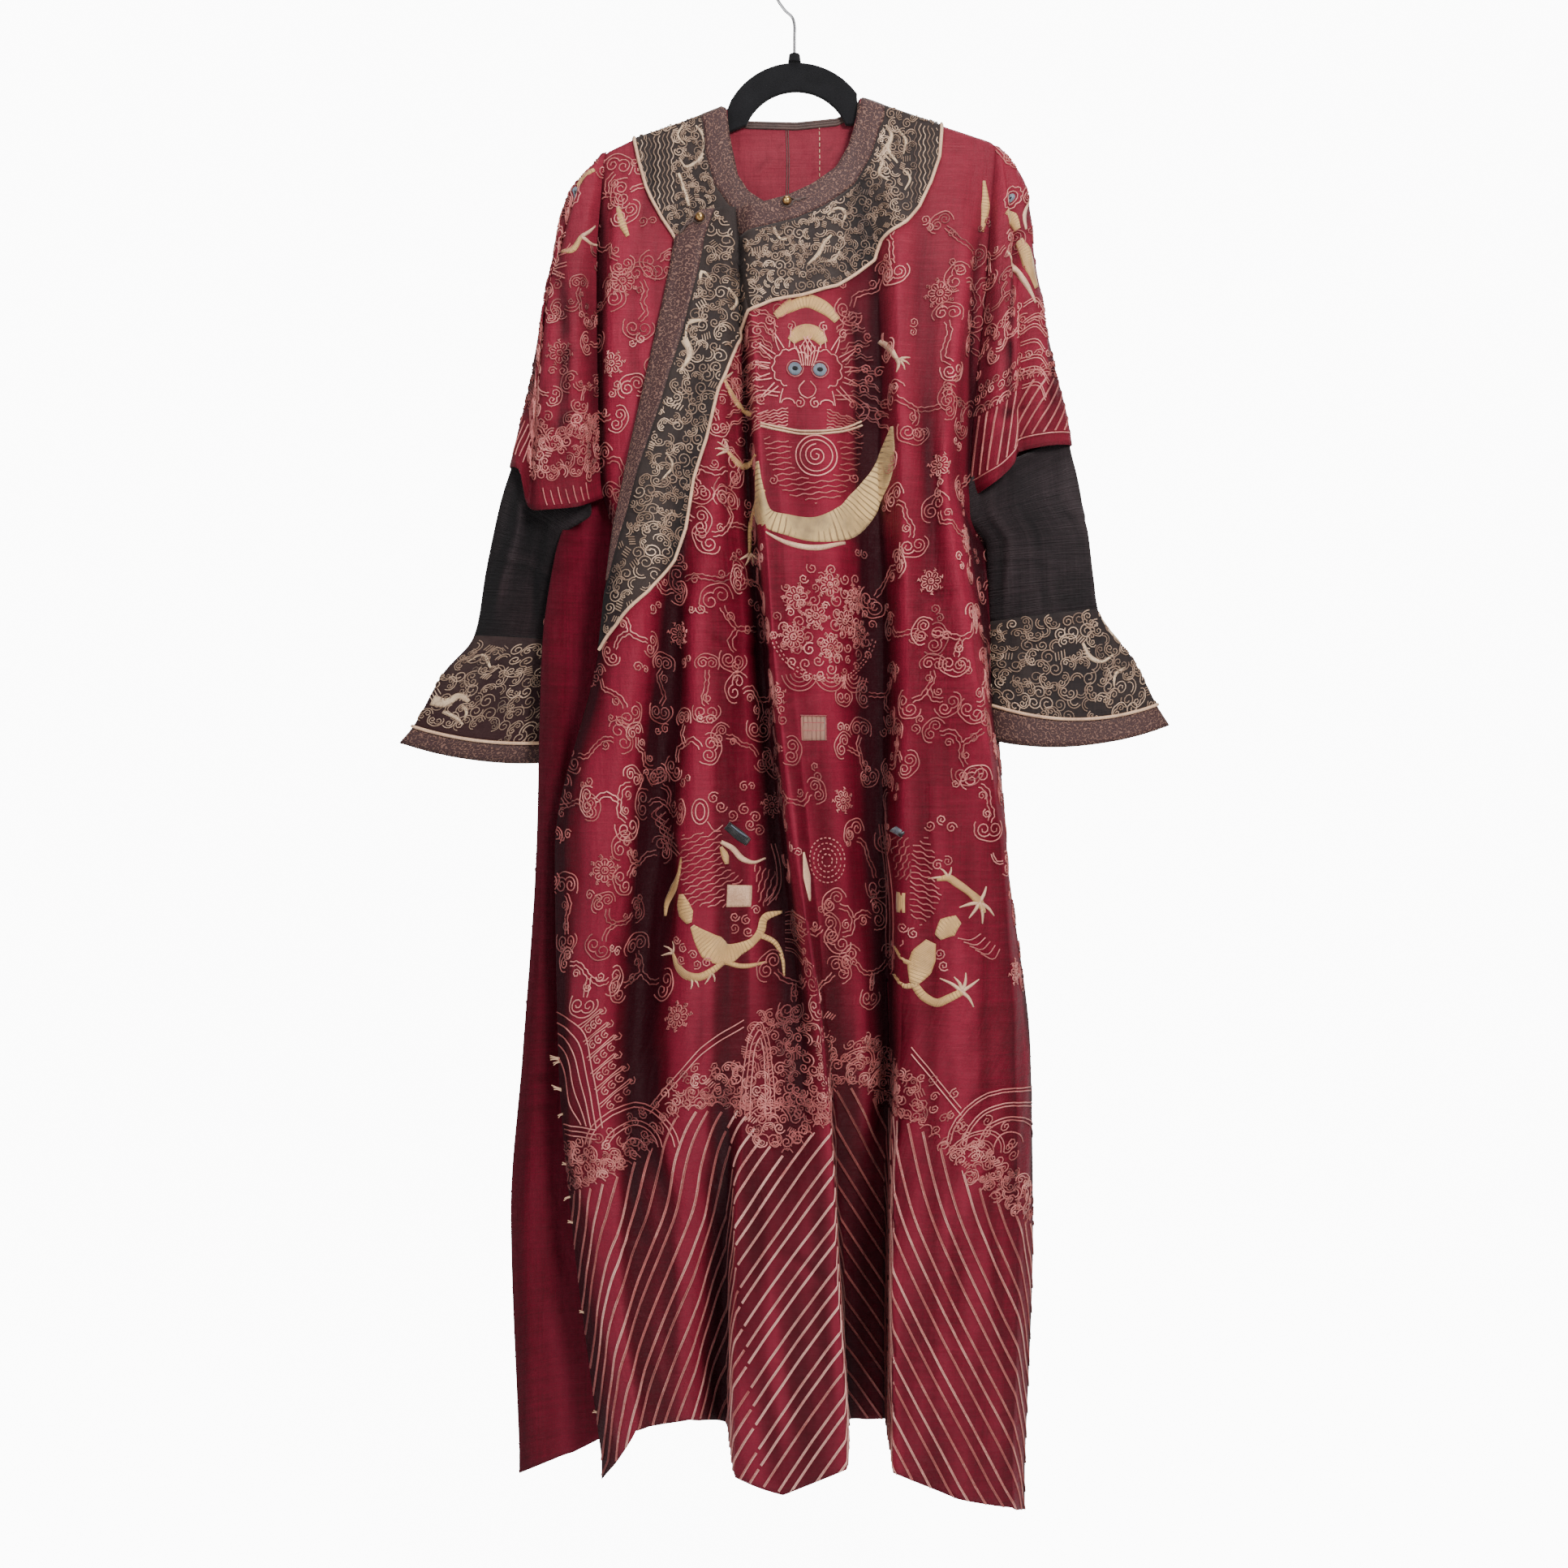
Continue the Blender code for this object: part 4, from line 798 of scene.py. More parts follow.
leftSleeveRows = (
    (-185, (208, -6), (209, -6), (210, -5), (212, -4), (215, 0)),
    (-199, (211, -8), (214, -9), (217, -8), (221, -6), (227, 0)),
    (-235, (213, -10), (219, -12), (222, -6), (233, -8), (246, 2)),
    (-286, (213, -14), (222, -15), (227, -5), (239, -10), (251, 4)),
    (-371, (213, -18), (227, -18), (232, -5), (248, -12), (266, 6)),
    (-456, (213, -20), (228, -20), (233, -5), (259, -14), (285, 6)),
    (-532, (209, -22), (227, -22), (235, -5), (264, -14), (298, 6)),
    (-560, (207, -23), (226, -22), (235, -5), (265, -14), (303, 6)),
)
rightSleeveEnds = (-550, -566, -568, -562, -524, -518)
leftSleeveEnds = (-550, -538, -520, -505, -500, -496)
sleeveSwell = ((182, 2), (286, 12), (456, 24), (570, 28))


def sleevePoints(rows, ends, frontFold, backFold, side, sag):
    depths = [-row[0] for row in rows]
    tracks = np.array([[row[1 + k] for row in rows] for k in range(5)], float).transpose(0, 2, 1)
    valley = np.linspace(rows[0][0], ends[0], 58)
    share = (valley - rows[0][0]) / (ends[0] - rows[0][0])

    def seamEdge(fold, z, tuck):
        xy = downLevels(np.array(fold, float), -z)
        return np.stack([xy[0] - side * 1.6, xy[1] + tuck])

    line = [np.vstack([seamEdge(frontFold, valley, 1.7), valley])]
    for track, end in zip(tracks, ends[1:]):
        z = rows[0][0] + (end - rows[0][0]) * share
        line.append(np.vstack([smoothTrack(depths, track, -z), z]))
    edge = line[-1]
    for back in (0.12, 0.4, 0.75, 1.0):
        z = edge[2] + (valley - edge[2]) * back - sag * share ** 3 * math.sin(math.pi * min(back, 0.8))
        inner = seamEdge(backFold, z, -1.7)
        swell = straight(sleeveSwell, -z) * math.sin(math.pi * back)
        line.append(np.vstack([edge[0] + (inner[0] - edge[0]) * back,
            edge[1] + (inner[1] - edge[1]) * back + swell, z]))
    marks = np.array(line).transpose(2, 1, 0)  # rows, then x y z, then columns
    gaps = np.linalg.norm(np.diff(marks, axis=2), axis=1).mean(axis=0)
    knots = np.concatenate([[0], np.cumsum(np.maximum(gaps, 1.0))])
    at = np.linspace(0, knots[-1], int(knots[-1] / 4.6))
    return smoothTrack(knots, marks, at).transpose(0, 2, 1)


backFoldRows = backFolds()
sleeveCreases = (
    (70, -40, 60, -330, 6, 1.5), (45, -90, 52, -300, 5, -1.5), (30, -180, 96, -260, 5, 1.2),
    (20, -262, 100, -300, 5, -1.3), (150, -60, 165, -300, 8, 1.8), (190, -90, 205, -330, 7, -1.7),
    (120, -240, 230, -290, 6, 1.5), (110, -120, 120, -340, 5, -1.4),
)
sleeves = {}
for side, rows, ends, front, turn in (("Right", rightSleeveRows, rightSleeveEnds, underFolds[0], -1),
        ("Left", leftSleeveRows, leftSleeveEnds, outerFolds[-1], 1)):
    points = sleevePoints(rows, ends, front[1:], backFoldRows[0 if side == "Right" else -1][1:], turn,
        18.0 if side == "Right" else 0.0)
    patch = Patch(points, np.array([turn * 240.0, 8.0, 0.0]) * [1, 1, 0] + points * [0, 0, 1], 0.8,
        sleeveCreases)
    sleeves[side] = patch
    shellPiece(f"sleeve{side}Cloth", patch, (redSilk, redLining), ("sleeve_" + side.lower(),))

# Lower sleeves: rings from their left end to their right end, a half depth and a sag.
armRings = {
    "Right": (((-292.5, 10, -500), (-214, -4, -548), 6, 0), ((-298.2, 10, -520), (-212, -4, -568), 8, 0),
        ((-309, 13, -553), (-246, 22, -590), 13, 0), ((-326, 20, -623), (-243, 34, -632), 13, 0),
        ((-340, 24, -694), (-243, 46, -698), 13, 0), ((-373, 26, -734), (-230, 60, -740), 14, 3),
        ((-406, 30, -790), (-208, 72, -798), 16, 14), ((-421, 32, -807), (-200, 76, -816), 16, 17)),
    "Left": (((185, 4, -530), (288.2, 6, -486), 7, 0), ((182, 6, -546), (289.6, 6, -497), 8, 0),
        ((182, 9, -570), (298, 5, -535), 13, 0), ((203, 18, -602), (307, 3, -595), 15, 0),
        ((206, 18, -680), (318, 2, -668), 15, 0), ((207, 10, -728), (357, 5, -723), 18, 8),
        ((206, 4, -769), (381, 8, -768), 20, 16), ((207, 4, -805), (395, 10, -789), 21, 14)),
}
cuffTop, cuffLine, armSides = 4, 6, 72
extensionCreases = ((30, -20, 26, -170, 5, 2.4), (58, -40, 62, -190, 4, -1.2), (110, -30, 120, -180, 6, 1.5),
    (150, -60, 140, -190, 5, -1.3), (10, -100, 80, -118, 4, 1.0), (90, -60, 160, -84, 4, 1.0))
cuffCreases = ((40, 0, 36, -90, 6, 0.8), (110, 0, 120, -90, 6, -0.8), (200, 0, 220, -90, 8, 1.0))


def ringPoint(ring, angle, grow=0.0, drop=0.0):
    left, right, depth, sag = (np.asarray(v, float) for v in ring)
    along = (1 - np.cos(angle)) / 2
    point = left[:, None] + (right - left)[:, None] * along
    point[0] -= grow * np.cos(angle)
    point[1] -= np.sin(angle) * (depth + grow)
    point[2] -= sag * np.sin(angle) ** 2 + drop
    return point.T


def armPoints(rings, first, last, drop):
    steps = [math.dist(a[0], b[0]) + math.dist(a[1], b[1]) for a, b in zip(rings, rings[1:])]
    knots = np.concatenate([[0], np.cumsum(steps)]) / 2
    flat = np.array([[*left, *right, depth, sag] for left, right, depth, sag in rings], float).T
    count = max(4, int((knots[last] - knots[first]) / 4.5))
    at = np.linspace(knots[first], knots[last], count)
    angle = np.linspace(0, 2 * math.pi, armSides + 1)
    made = [ringPoint((v[:3], v[3:6], v[6], v[7]), angle, 0.0, drop) for v in smoothTrack(knots, flat, at).T]
    points = np.array(made)
    points[:, -1] = points[:, 0]
    return points


arms = {}
for side, rings in armRings.items():
    for part, first, last, drop, look, slot, creases, rough in (
            ("extension", 0, cuffTop, 0.0, blackRibbed, "dark_cloth", extensionCreases, 0.7),
            ("cuff", cuffTop, cuffLine, 0.3, darkSilk, "collar_cloth", cuffCreases, 0.4),
            ("cuffBinding", cuffLine, 7, 0.6, brownBrocade, "brown_binding", (), 0.0)):
        points = armPoints(rings, first, last, drop)
        # The right sleeve extension gets painted shade all over through its fold value.
        patch = Patch(points, points.mean(axis=1, keepdims=True), rough, creases, True,
            0.8 if part + side == "extensionRight" else 0.0)
        node = {"extension": "sleeve_extension_", "cuff": "cuff_", "cuffBinding": "cuff_binding_"}[part]
        shellPiece(part + side, patch, (look,), (node + side.lower(),), 1.4, True)
        arms[part + side] = patch
print("sleeves made")


# Cords and threads: strands laid as edges and turned to round threads by one node tree.

def threadTree():
    group = bpy.data.node_groups.new("couchedThread", "GeometryNodeTree")
    for title, kind in (("Geometry", "Geometry"), ("Radius", "Float"), ("Sides", "Int"),
            ("Material", "Material")):
        group.interface.new_socket(title, in_out="INPUT", socket_type="NodeSocket" + kind)
    group.interface.new_socket("Geometry", in_out="OUTPUT", socket_type="NodeSocketGeometry")
    tree = Tree(group)
    ins = tree.node("NodeGroupInput").outputs
    strands = tree.node("GeometryNodeMeshToCurve", {"Mesh": ins["Geometry"]}).outputs[0]
    ring = tree.node("GeometryNodeCurvePrimitiveCircle", {"Resolution": ins["Sides"],
        "Radius": ins["Radius"]}).outputs[0]
    tubes = tree.node("GeometryNodeCurveToMesh", {"Curve": strands, "Profile Curve": ring,
        "Fill Caps": True}).outputs[0]
    smooth = tree.node("GeometryNodeSetShadeSmooth", {"Geometry": tubes}).outputs[0]
    real = tree.node("GeometryNodeRealizeInstances", {"Geometry": smooth}).outputs[0]
    dressed = tree.node("GeometryNodeSetMaterial", {"Geometry": real, "Material": ins["Material"]})
    tree.node("NodeGroupOutput", {"Geometry": dressed.outputs[0]})
    return group


couchedThread = threadTree()


def threadPiece(name, strands, tones, radius, sides, material, replaced=(), closedRound=False):
    # Strands are lists of points in millimetres; each has its own tone.
    counts = np.array([len(s) for s in strands])
    points = np.vstack(strands)
    starts = np.concatenate([[0], np.cumsum(counts)[:-1]])
    edges = [np.stack([np.arange(a, a + n - 1), np.arange(a + 1, a + n)], axis=1)
        for a, n in zip(starts, counts)]
    if closedRound:
        edges += [np.array([[a + n - 1, a]]) for a, n in zip(starts, counts)]
    mesh = bpy.data.meshes.new(name)
    mesh.from_pydata((points * mm).tolist(), np.vstack(edges).tolist(), [])
    layer = mesh.attributes.new("tone", "FLOAT", "POINT")
    tones = [np.broadcast_to(tone, n) for tone, n in zip(tones, counts)]
    layer.data.foreach_set("value", np.concatenate(tones).astype(np.float32))
    draft = bpy.data.objects.new(name + "Draft", mesh)
    bpy.context.scene.collection.objects.link(draft)
    nodes = draft.modifiers.new("threads", "NODES")
    nodes.node_group = couchedThread
    values = {"Radius": radius * mm, "Sides": sides, "Material": material}
    for item in couchedThread.interface.items_tree:
        if item.item_type == "SOCKET" and item.in_out == "INPUT" and item.name in values:
            nodes[item.identifier] = values[item.name]
    bpy.context.view_layer.update()
    ready = draft.evaluated_get(bpy.context.evaluated_depsgraph_get())
    made = bpy.data.meshes.new_from_object(ready)
    made.name = name
    bpy.data.objects.remove(draft)
    return putPiece(name, made, (), replaced)


# Trims: strips between two lines drawn on a panel, laid a little above it.

def alongPath(path, count):
    lengths = runLengths(path)
    at = np.linspace(0, lengths[-1], count)
    return np.stack([np.interp(at, lengths, axis) for axis in np.asarray(path, float).T], axis=1)


def pathLength(path):
    return runLengths(path)[-1]


def beside(path, distance):
    path = np.asarray(path, float)
    return path - sideways(path) * distance


def patchBetween(first, second, start=None, end=None, pitch=4.5):
    # Points between two lines, bent to follow the two lines that close the ends.
    start = [first[0], second[0]] if start is None else start
    end = [first[-1], second[-1]] if end is None else end
    nu = int(max(pathLength(first), pathLength(second)) / pitch) + 2
    a, b = alongPath(first, nu)[None], alongPath(second, nu)[None]
    nv = int(max(pathLength(start), pathLength(end), np.hypot(*(a - b)[0].T).max()) / pitch) + 2
    c, d = alongPath(start, nv)[:, None], alongPath(end, nv)[:, None]
    u, v = np.linspace(0, 1, nu)[None, :, None], np.linspace(0, 1, nv)[:, None, None]
    corners = (1 - u) * (1 - v) * a[:, :1] + u * (1 - v) * a[:, -1:]
    corners = corners + (1 - u) * v * b[:, :1] + u * v * b[:, -1:]
    return (1 - v) * a + v * b + (1 - u) * c + u * d - corners


def trimPiece(name, cloth, grid, finish, node, rounding=0.0):
    rows, columns = grid.shape[:2]
    x, z = grid[..., 0].ravel(), grid[..., 1].ravel()
    v = np.repeat(np.linspace(-1, 1, rows), columns)
    flat = cloth.place(x, z, 0.0, byX=True)[0]
    points = cloth.place(x, z, trim["lift"] + rounding * (1 - v ** 4), byX=True)[0]
    normals = unit(points - flat).reshape(rows, columns, 3)
    points = points.reshape(rows, columns, 3)
    mesh = gridMesh(name, points, normals, alongUv(points), fold=cloth.found)
    wall(putPiece(name, mesh, finish[:1], (node,)), trim["thick"], outwards=True)


def alongUv(points):
    # Lengths along the middle row and down the middle column, for weaves that follow a strip.
    rows, columns = points.shape[:2]
    return np.dstack(np.meshgrid(runLengths(points[rows // 2]), runLengths(points[:, columns // 2])))


def shoulderLine(start, end, count=12):
    x = np.linspace(start, end, count)
    return np.stack([x, straight(shoulder, x)], axis=1)


yokeLine = ((-45, -364), (-24, -354), (7, -348), (43, -336), (63, -322), (83, -306), (92, -287), (115, -271),
    (129, -253), (142, -226), (151, -199), (153, -172), (153, -163))
lapelValley = ((-62, -251), (-57, -281), (-64, -307), (-56, -319), (-46, -357), (-45, -364))
lapelLine = ((-45, -364), (-62, -395), (-79, -446), (-91, -496), (-104, -537), (-112, -588), (-125, -621),
    (-150, -654), (-175, -680), (-202, -716))
bindingLine = ((-83, -255), (-93, -284), (-99, -318), (-115, -381), (-136, -455), (-160, -528), (-177, -586),
    (-193, -641))
underYoke = ((-167, -176), (-166, -185), (-161, -209), (-155, -230), (-138, -264), (-122, -289), (-104, -315),
    (-112, -390))
backYoke = ((-168, -176), (-160, -209), (-136, -239), (-85, -260), (-3, -269), (78, -256), (125, -230),
    (151, -192), (154, -163))
trim = {"bandWidth": 26.0, "lift": 0.7, "thick": 1.1, "piping": 1.8}
brown, dark = (brownBrocade, "brown_binding"), (darkSilk, "collar_cloth")


def freeEdge(*depths):
    x = downLevels(np.array([outerFolds[0][1]], float), np.array(depths, float))[0]
    return np.stack([x + 0.3, -np.array(depths, float)], axis=1)


throat = list(neckline[3:]) + [(67.6, -134.0)]
bandLine = beside(throat, trim["bandWidth"])
bandLine[0] = (-57, -281)
bandLine[-1] = (94, straight(shoulder, 94))
bandLine[-2] = (93.5, -158)
trimPiece("neckBandFront", outerCloth, patchBetween(throat, bandLine, None, shoulderLine(67.6, 94)), brown,
    "neck_band_front", 0.6)
trimPiece("collarFront", outerCloth, patchBetween(bandLine, yokeLine, lapelValley[1:], shoulderLine(94, 153)),
    dark, "collar_front")
edgeBelow = freeEdge(655, 670, 690, 712)
leftSide = np.vstack([bindingLine, edgeBelow])
rightSide = np.vstack([lapelValley, lapelLine[1:-1], [(-201, -713)]])
trimPiece("overlapBand", outerCloth, patchBetween(rightSide, leftSide), dark, "overlap_band")
outside = np.vstack([[(-100, -258), (-117, -281), (-124.5, -284)], freeEdge(311, 380, 455, 528, 586, 641)])
trimPiece("overlapBinding", outerCloth, patchBetween(bindingLine, outside, None,
    [(-193, -641), (-194.5, -641)]), brown, "overlap_binding", 0.6)
underThroat = [(-72.5, straight(shoulder, -72.5))] + list(underNeck[1:6])
underBand = beside(underThroat, trim["bandWidth"])
underBand[0] = (-99, straight(shoulder, -99))
trimPiece("neckBandUnder", underCloth, patchBetween(underThroat, underBand), brown, "neck_band_under", 0.5)
trimPiece("collarUnder", underCloth, patchBetween(underBand[:5], underYoke, shoulderLine(-99, -167), None),
    dark, "collar_under")
backThroat = [(-73, straight(shoulder, -73))] + list(backNeck[1:7]) + [(69, straight(shoulder, 69))]
backBand = beside(backThroat, trim["bandWidth"])
backBand[0], backBand[-1] = (-99, straight(shoulder, -99)), (94, straight(shoulder, 94))
trimPiece("neckBandBack", backCloth, patchBetween(backThroat, backBand), brown, "neck_band_back", 0.5)
trimPiece("collarBack", backCloth, patchBetween(backBand, backYoke, shoulderLine(-99, -168),
    shoulderLine(94, 154)), dark, "collar_back")
for name, cloth, path, node in (
        ("collarPipingFront", outerCloth, yokeLine, "collar_piping_front"),
        ("overlapPiping", outerCloth, rightSide[len(lapelValley) - 1:], "overlap_piping"),
        ("collarPipingUnder", underCloth, underYoke[:-1], "collar_piping_under"),
        ("collarPipingBack", backCloth, backYoke, "collar_piping_back")):
    marks = alongPath(path, int(pathLength(path) / 3.0))
    points, _ = cloth.place(marks[:, 0], marks[:, 1], trim["piping"] + 0.4, byX=True)
    threadPiece(name, [points], [0.5], trim["piping"], 8, creamCord, (node,))
for side, rings in armRings.items():
    around = ringPoint(rings[cuffLine], np.linspace(0, 2 * math.pi, 97)[:-1], 0.9)
    threadPiece(f"cuffPiping{side}", [around], [0.5], trim["piping"], 8, creamCord,
        (f"cuff_piping_{side.lower()}",), closedRound=True)
print("trims made")


# Embroidery: strokes are drawn flat in millimetres and laid on a surface all together.

def spiral(x, y, start, end, angle, turns):
    t = np.linspace(0, 1, max(9, int(abs(turns) * 15)))
    r, a = start + (end - start) * t, math.radians(angle) + turns * 2 * math.pi * t
    return np.stack([x + r * np.cos(a), y + r * np.sin(a)], axis=1)


def bow(x, y, rx, ry, start, end):
    a = np.radians(np.linspace(start, end, max(6, int(abs(end - start) / 12))))
    return np.stack([x + rx * np.cos(a), y + ry * np.sin(a)], axis=1)


def bend(points, steps=8):
    # A smooth line through a few points.
    points = np.asarray(points, float)
    if len(points) < 3:
        return points
    knots = runLengths(points[:, :2])
    slopes = np.gradient(points, knots, axis=0)
    made = []
    for i in range(len(points) - 1):
        t = np.linspace(0, 1, steps, endpoint=False)[:, None]
        made.append(hermite(points[i], points[i + 1], slopes[i], slopes[i + 1], knots[i + 1] - knots[i], t))
    return np.vstack(made + [points[-1:]])


def turned(path, angle=0.0, size=1.0, at=(0, 0), mirror=False):
    path = np.asarray(path, float) * size * ([-1, 1] if mirror else [1, 1])
    c, s = math.cos(angle), math.sin(angle)
    return np.stack([path[:, 0] * c - path[:, 1] * s, path[:, 0] * s + path[:, 1] * c], axis=1) + at


def wavy(path, height, length, phase=0.0):
    path = alongPath(path, max(5, int(pathLength(path) / 2.2)))
    at = runLengths(path)
    return path + sideways(path) * (height * np.sin(at * 2 * math.pi / length + phase))[:, None]


def cloudHead(style):
    turns = 1.25 + 0.5 * style
    left = spiral(-5.6, 3.4, 7.4, 2.0, 35, turns)
    a = np.linspace(-0.55, math.pi + 0.55, 32)
    scallop = 1 + 0.09 * np.abs(np.sin(2.5 * a))
    cap = np.stack([14.6 * scallop * np.cos(a), 2.5 + 11.6 * scallop * np.sin(a)], axis=1)
    return [left, left * [-1, 1], cap]


def cloud(arms, reach=27.0):
    # Mushroom heads on wavy stems that meet in the middle.
    paths, base = [], dice.uniform(0, 2 * math.pi)
    for k in range(arms):
        angle = base + 2 * math.pi * k / arms + dice.normal(0, 0.22)
        far = reach * dice.uniform(0.8, 1.15)
        tip = np.array([math.cos(angle) * far * 1.15, math.sin(angle) * far * 0.85])
        side = np.array([-tip[1], tip[0]]) * dice.uniform(-0.3, 0.3)
        spine = bend([(0, 0), tip * 0.5 + side, tip * 0.86])
        for shift, phase in ((2.1, 0.0), (-2.1, math.pi)):
            paths.append(wavy(beside(spine, shift), 0.9, 8.5, phase))
        size = dice.uniform(0.85, 1.12)
        paths += [turned(p, angle - math.pi / 2, size, tip * 1.05) for p in cloudHead(dice.uniform())]
        if dice.uniform() < 0.6:
            paths.append(turned(spiral(0, 0, 5, 1.6, 200, 1.4), angle, 1.0, tip * 0.45 - side * 0.6))
    return paths


def smallCloud():
    paths = cloudHead(dice.uniform())
    tail = bend([(0, -7), (dice.uniform(-4, 4), -14), (dice.uniform(-10, 10), -24)])
    return paths + [wavy(beside(tail, 1.5), 0.7, 7.0), wavy(beside(tail, -1.5), 0.7, 7.0, 3.0)]


def flower(petals, size):
    paths = [bow(0, 0, 4, 4, 0, 360), spiral(0, 0, 2.6, 0.8, 0, 1.2)]
    for k in range(petals):
        a = 2 * math.pi * k / petals
        paths.append(turned(bow(0, 9.5, 4.4, 5.0, -50, 230), a))
        paths.append(turned([(0, 6), (0, 11.5)], a))
        paths.append(turned(spiral(0, 17.5, 3.4, 1.2, 250, 1.2), a + 0.3))
    return [p * size for p in paths]


def dotted(path, dash=2.4, gap=2.6):
    path = alongPath(path, max(6, int(pathLength(path) / 1.2)))
    step, kept = int((dash + gap) / 1.2), max(2, int(dash / 1.2) + 1)
    return [path[i:i + kept] for i in range(0, len(path) - kept, step)]


def arches(x, y, size, gap, start, end):
    return [bow(x, y, r, r, start, end) for r in np.arange(size, gap * 0.9, -gap)]


def rock(x, y, width, height, lean, gap=5.0):
    # Nested tall peaks with rounded tops.
    paths = []
    for k in range(int(width / 2 / gap)):
        w, h = width / 2 - k * gap, height - k * gap * 1.6
        paths.append(bend([(x - w, y), (x - w * 0.8 + lean * 0.4, y + h * 0.55),
            (x - w * 0.32 + lean * 0.8, y + h * 0.93), (x + lean, y + h),
            (x + w * 0.32 + lean * 0.9, y + h * 0.9), (x + w * 0.75 + lean * 0.5, y + h * 0.5), (x + w, y)]))
    return paths


def insideShape(points, shape):
    x, y = points[:, 0], points[:, 1]
    shape = np.asarray(shape, float)
    inside = np.zeros(len(points), bool)
    for (x0, y0), (x1, y1) in zip(shape, np.roll(shape, -1, axis=0)):
        crosses = (y0 > y) != (y1 > y)
        with np.errstate(divide="ignore", invalid="ignore"):
            at = (x1 - x0) * (y - y0) / (y1 - y0) + x0
        inside ^= crosses & (x < at)
    return inside


def runs(path, kept):
    # The pieces of a path where kept is true.
    edges = np.flatnonzero(np.diff(np.concatenate([[0], kept.astype(int), [0]])))
    return [path[a:b] for a, b in zip(edges[::2], edges[1::2]) if b - a > 1]


def fillLines(shape, gap, angle, height=1.2, length=9.0):
    # Wavy lines side by side that fill a shape.
    shape = np.asarray(shape, float)
    middle = shape.mean(axis=0)
    reach = np.linalg.norm(shape - middle, axis=1).max()
    paths = []
    for k, shift in enumerate(np.arange(-reach, reach, gap)):
        line = turned(wavy([(-reach, shift), (reach, shift)], height, length, k * 2.1), math.radians(angle),
            1.0, middle)
        paths += runs(line, insideShape(line, shape))
    return paths


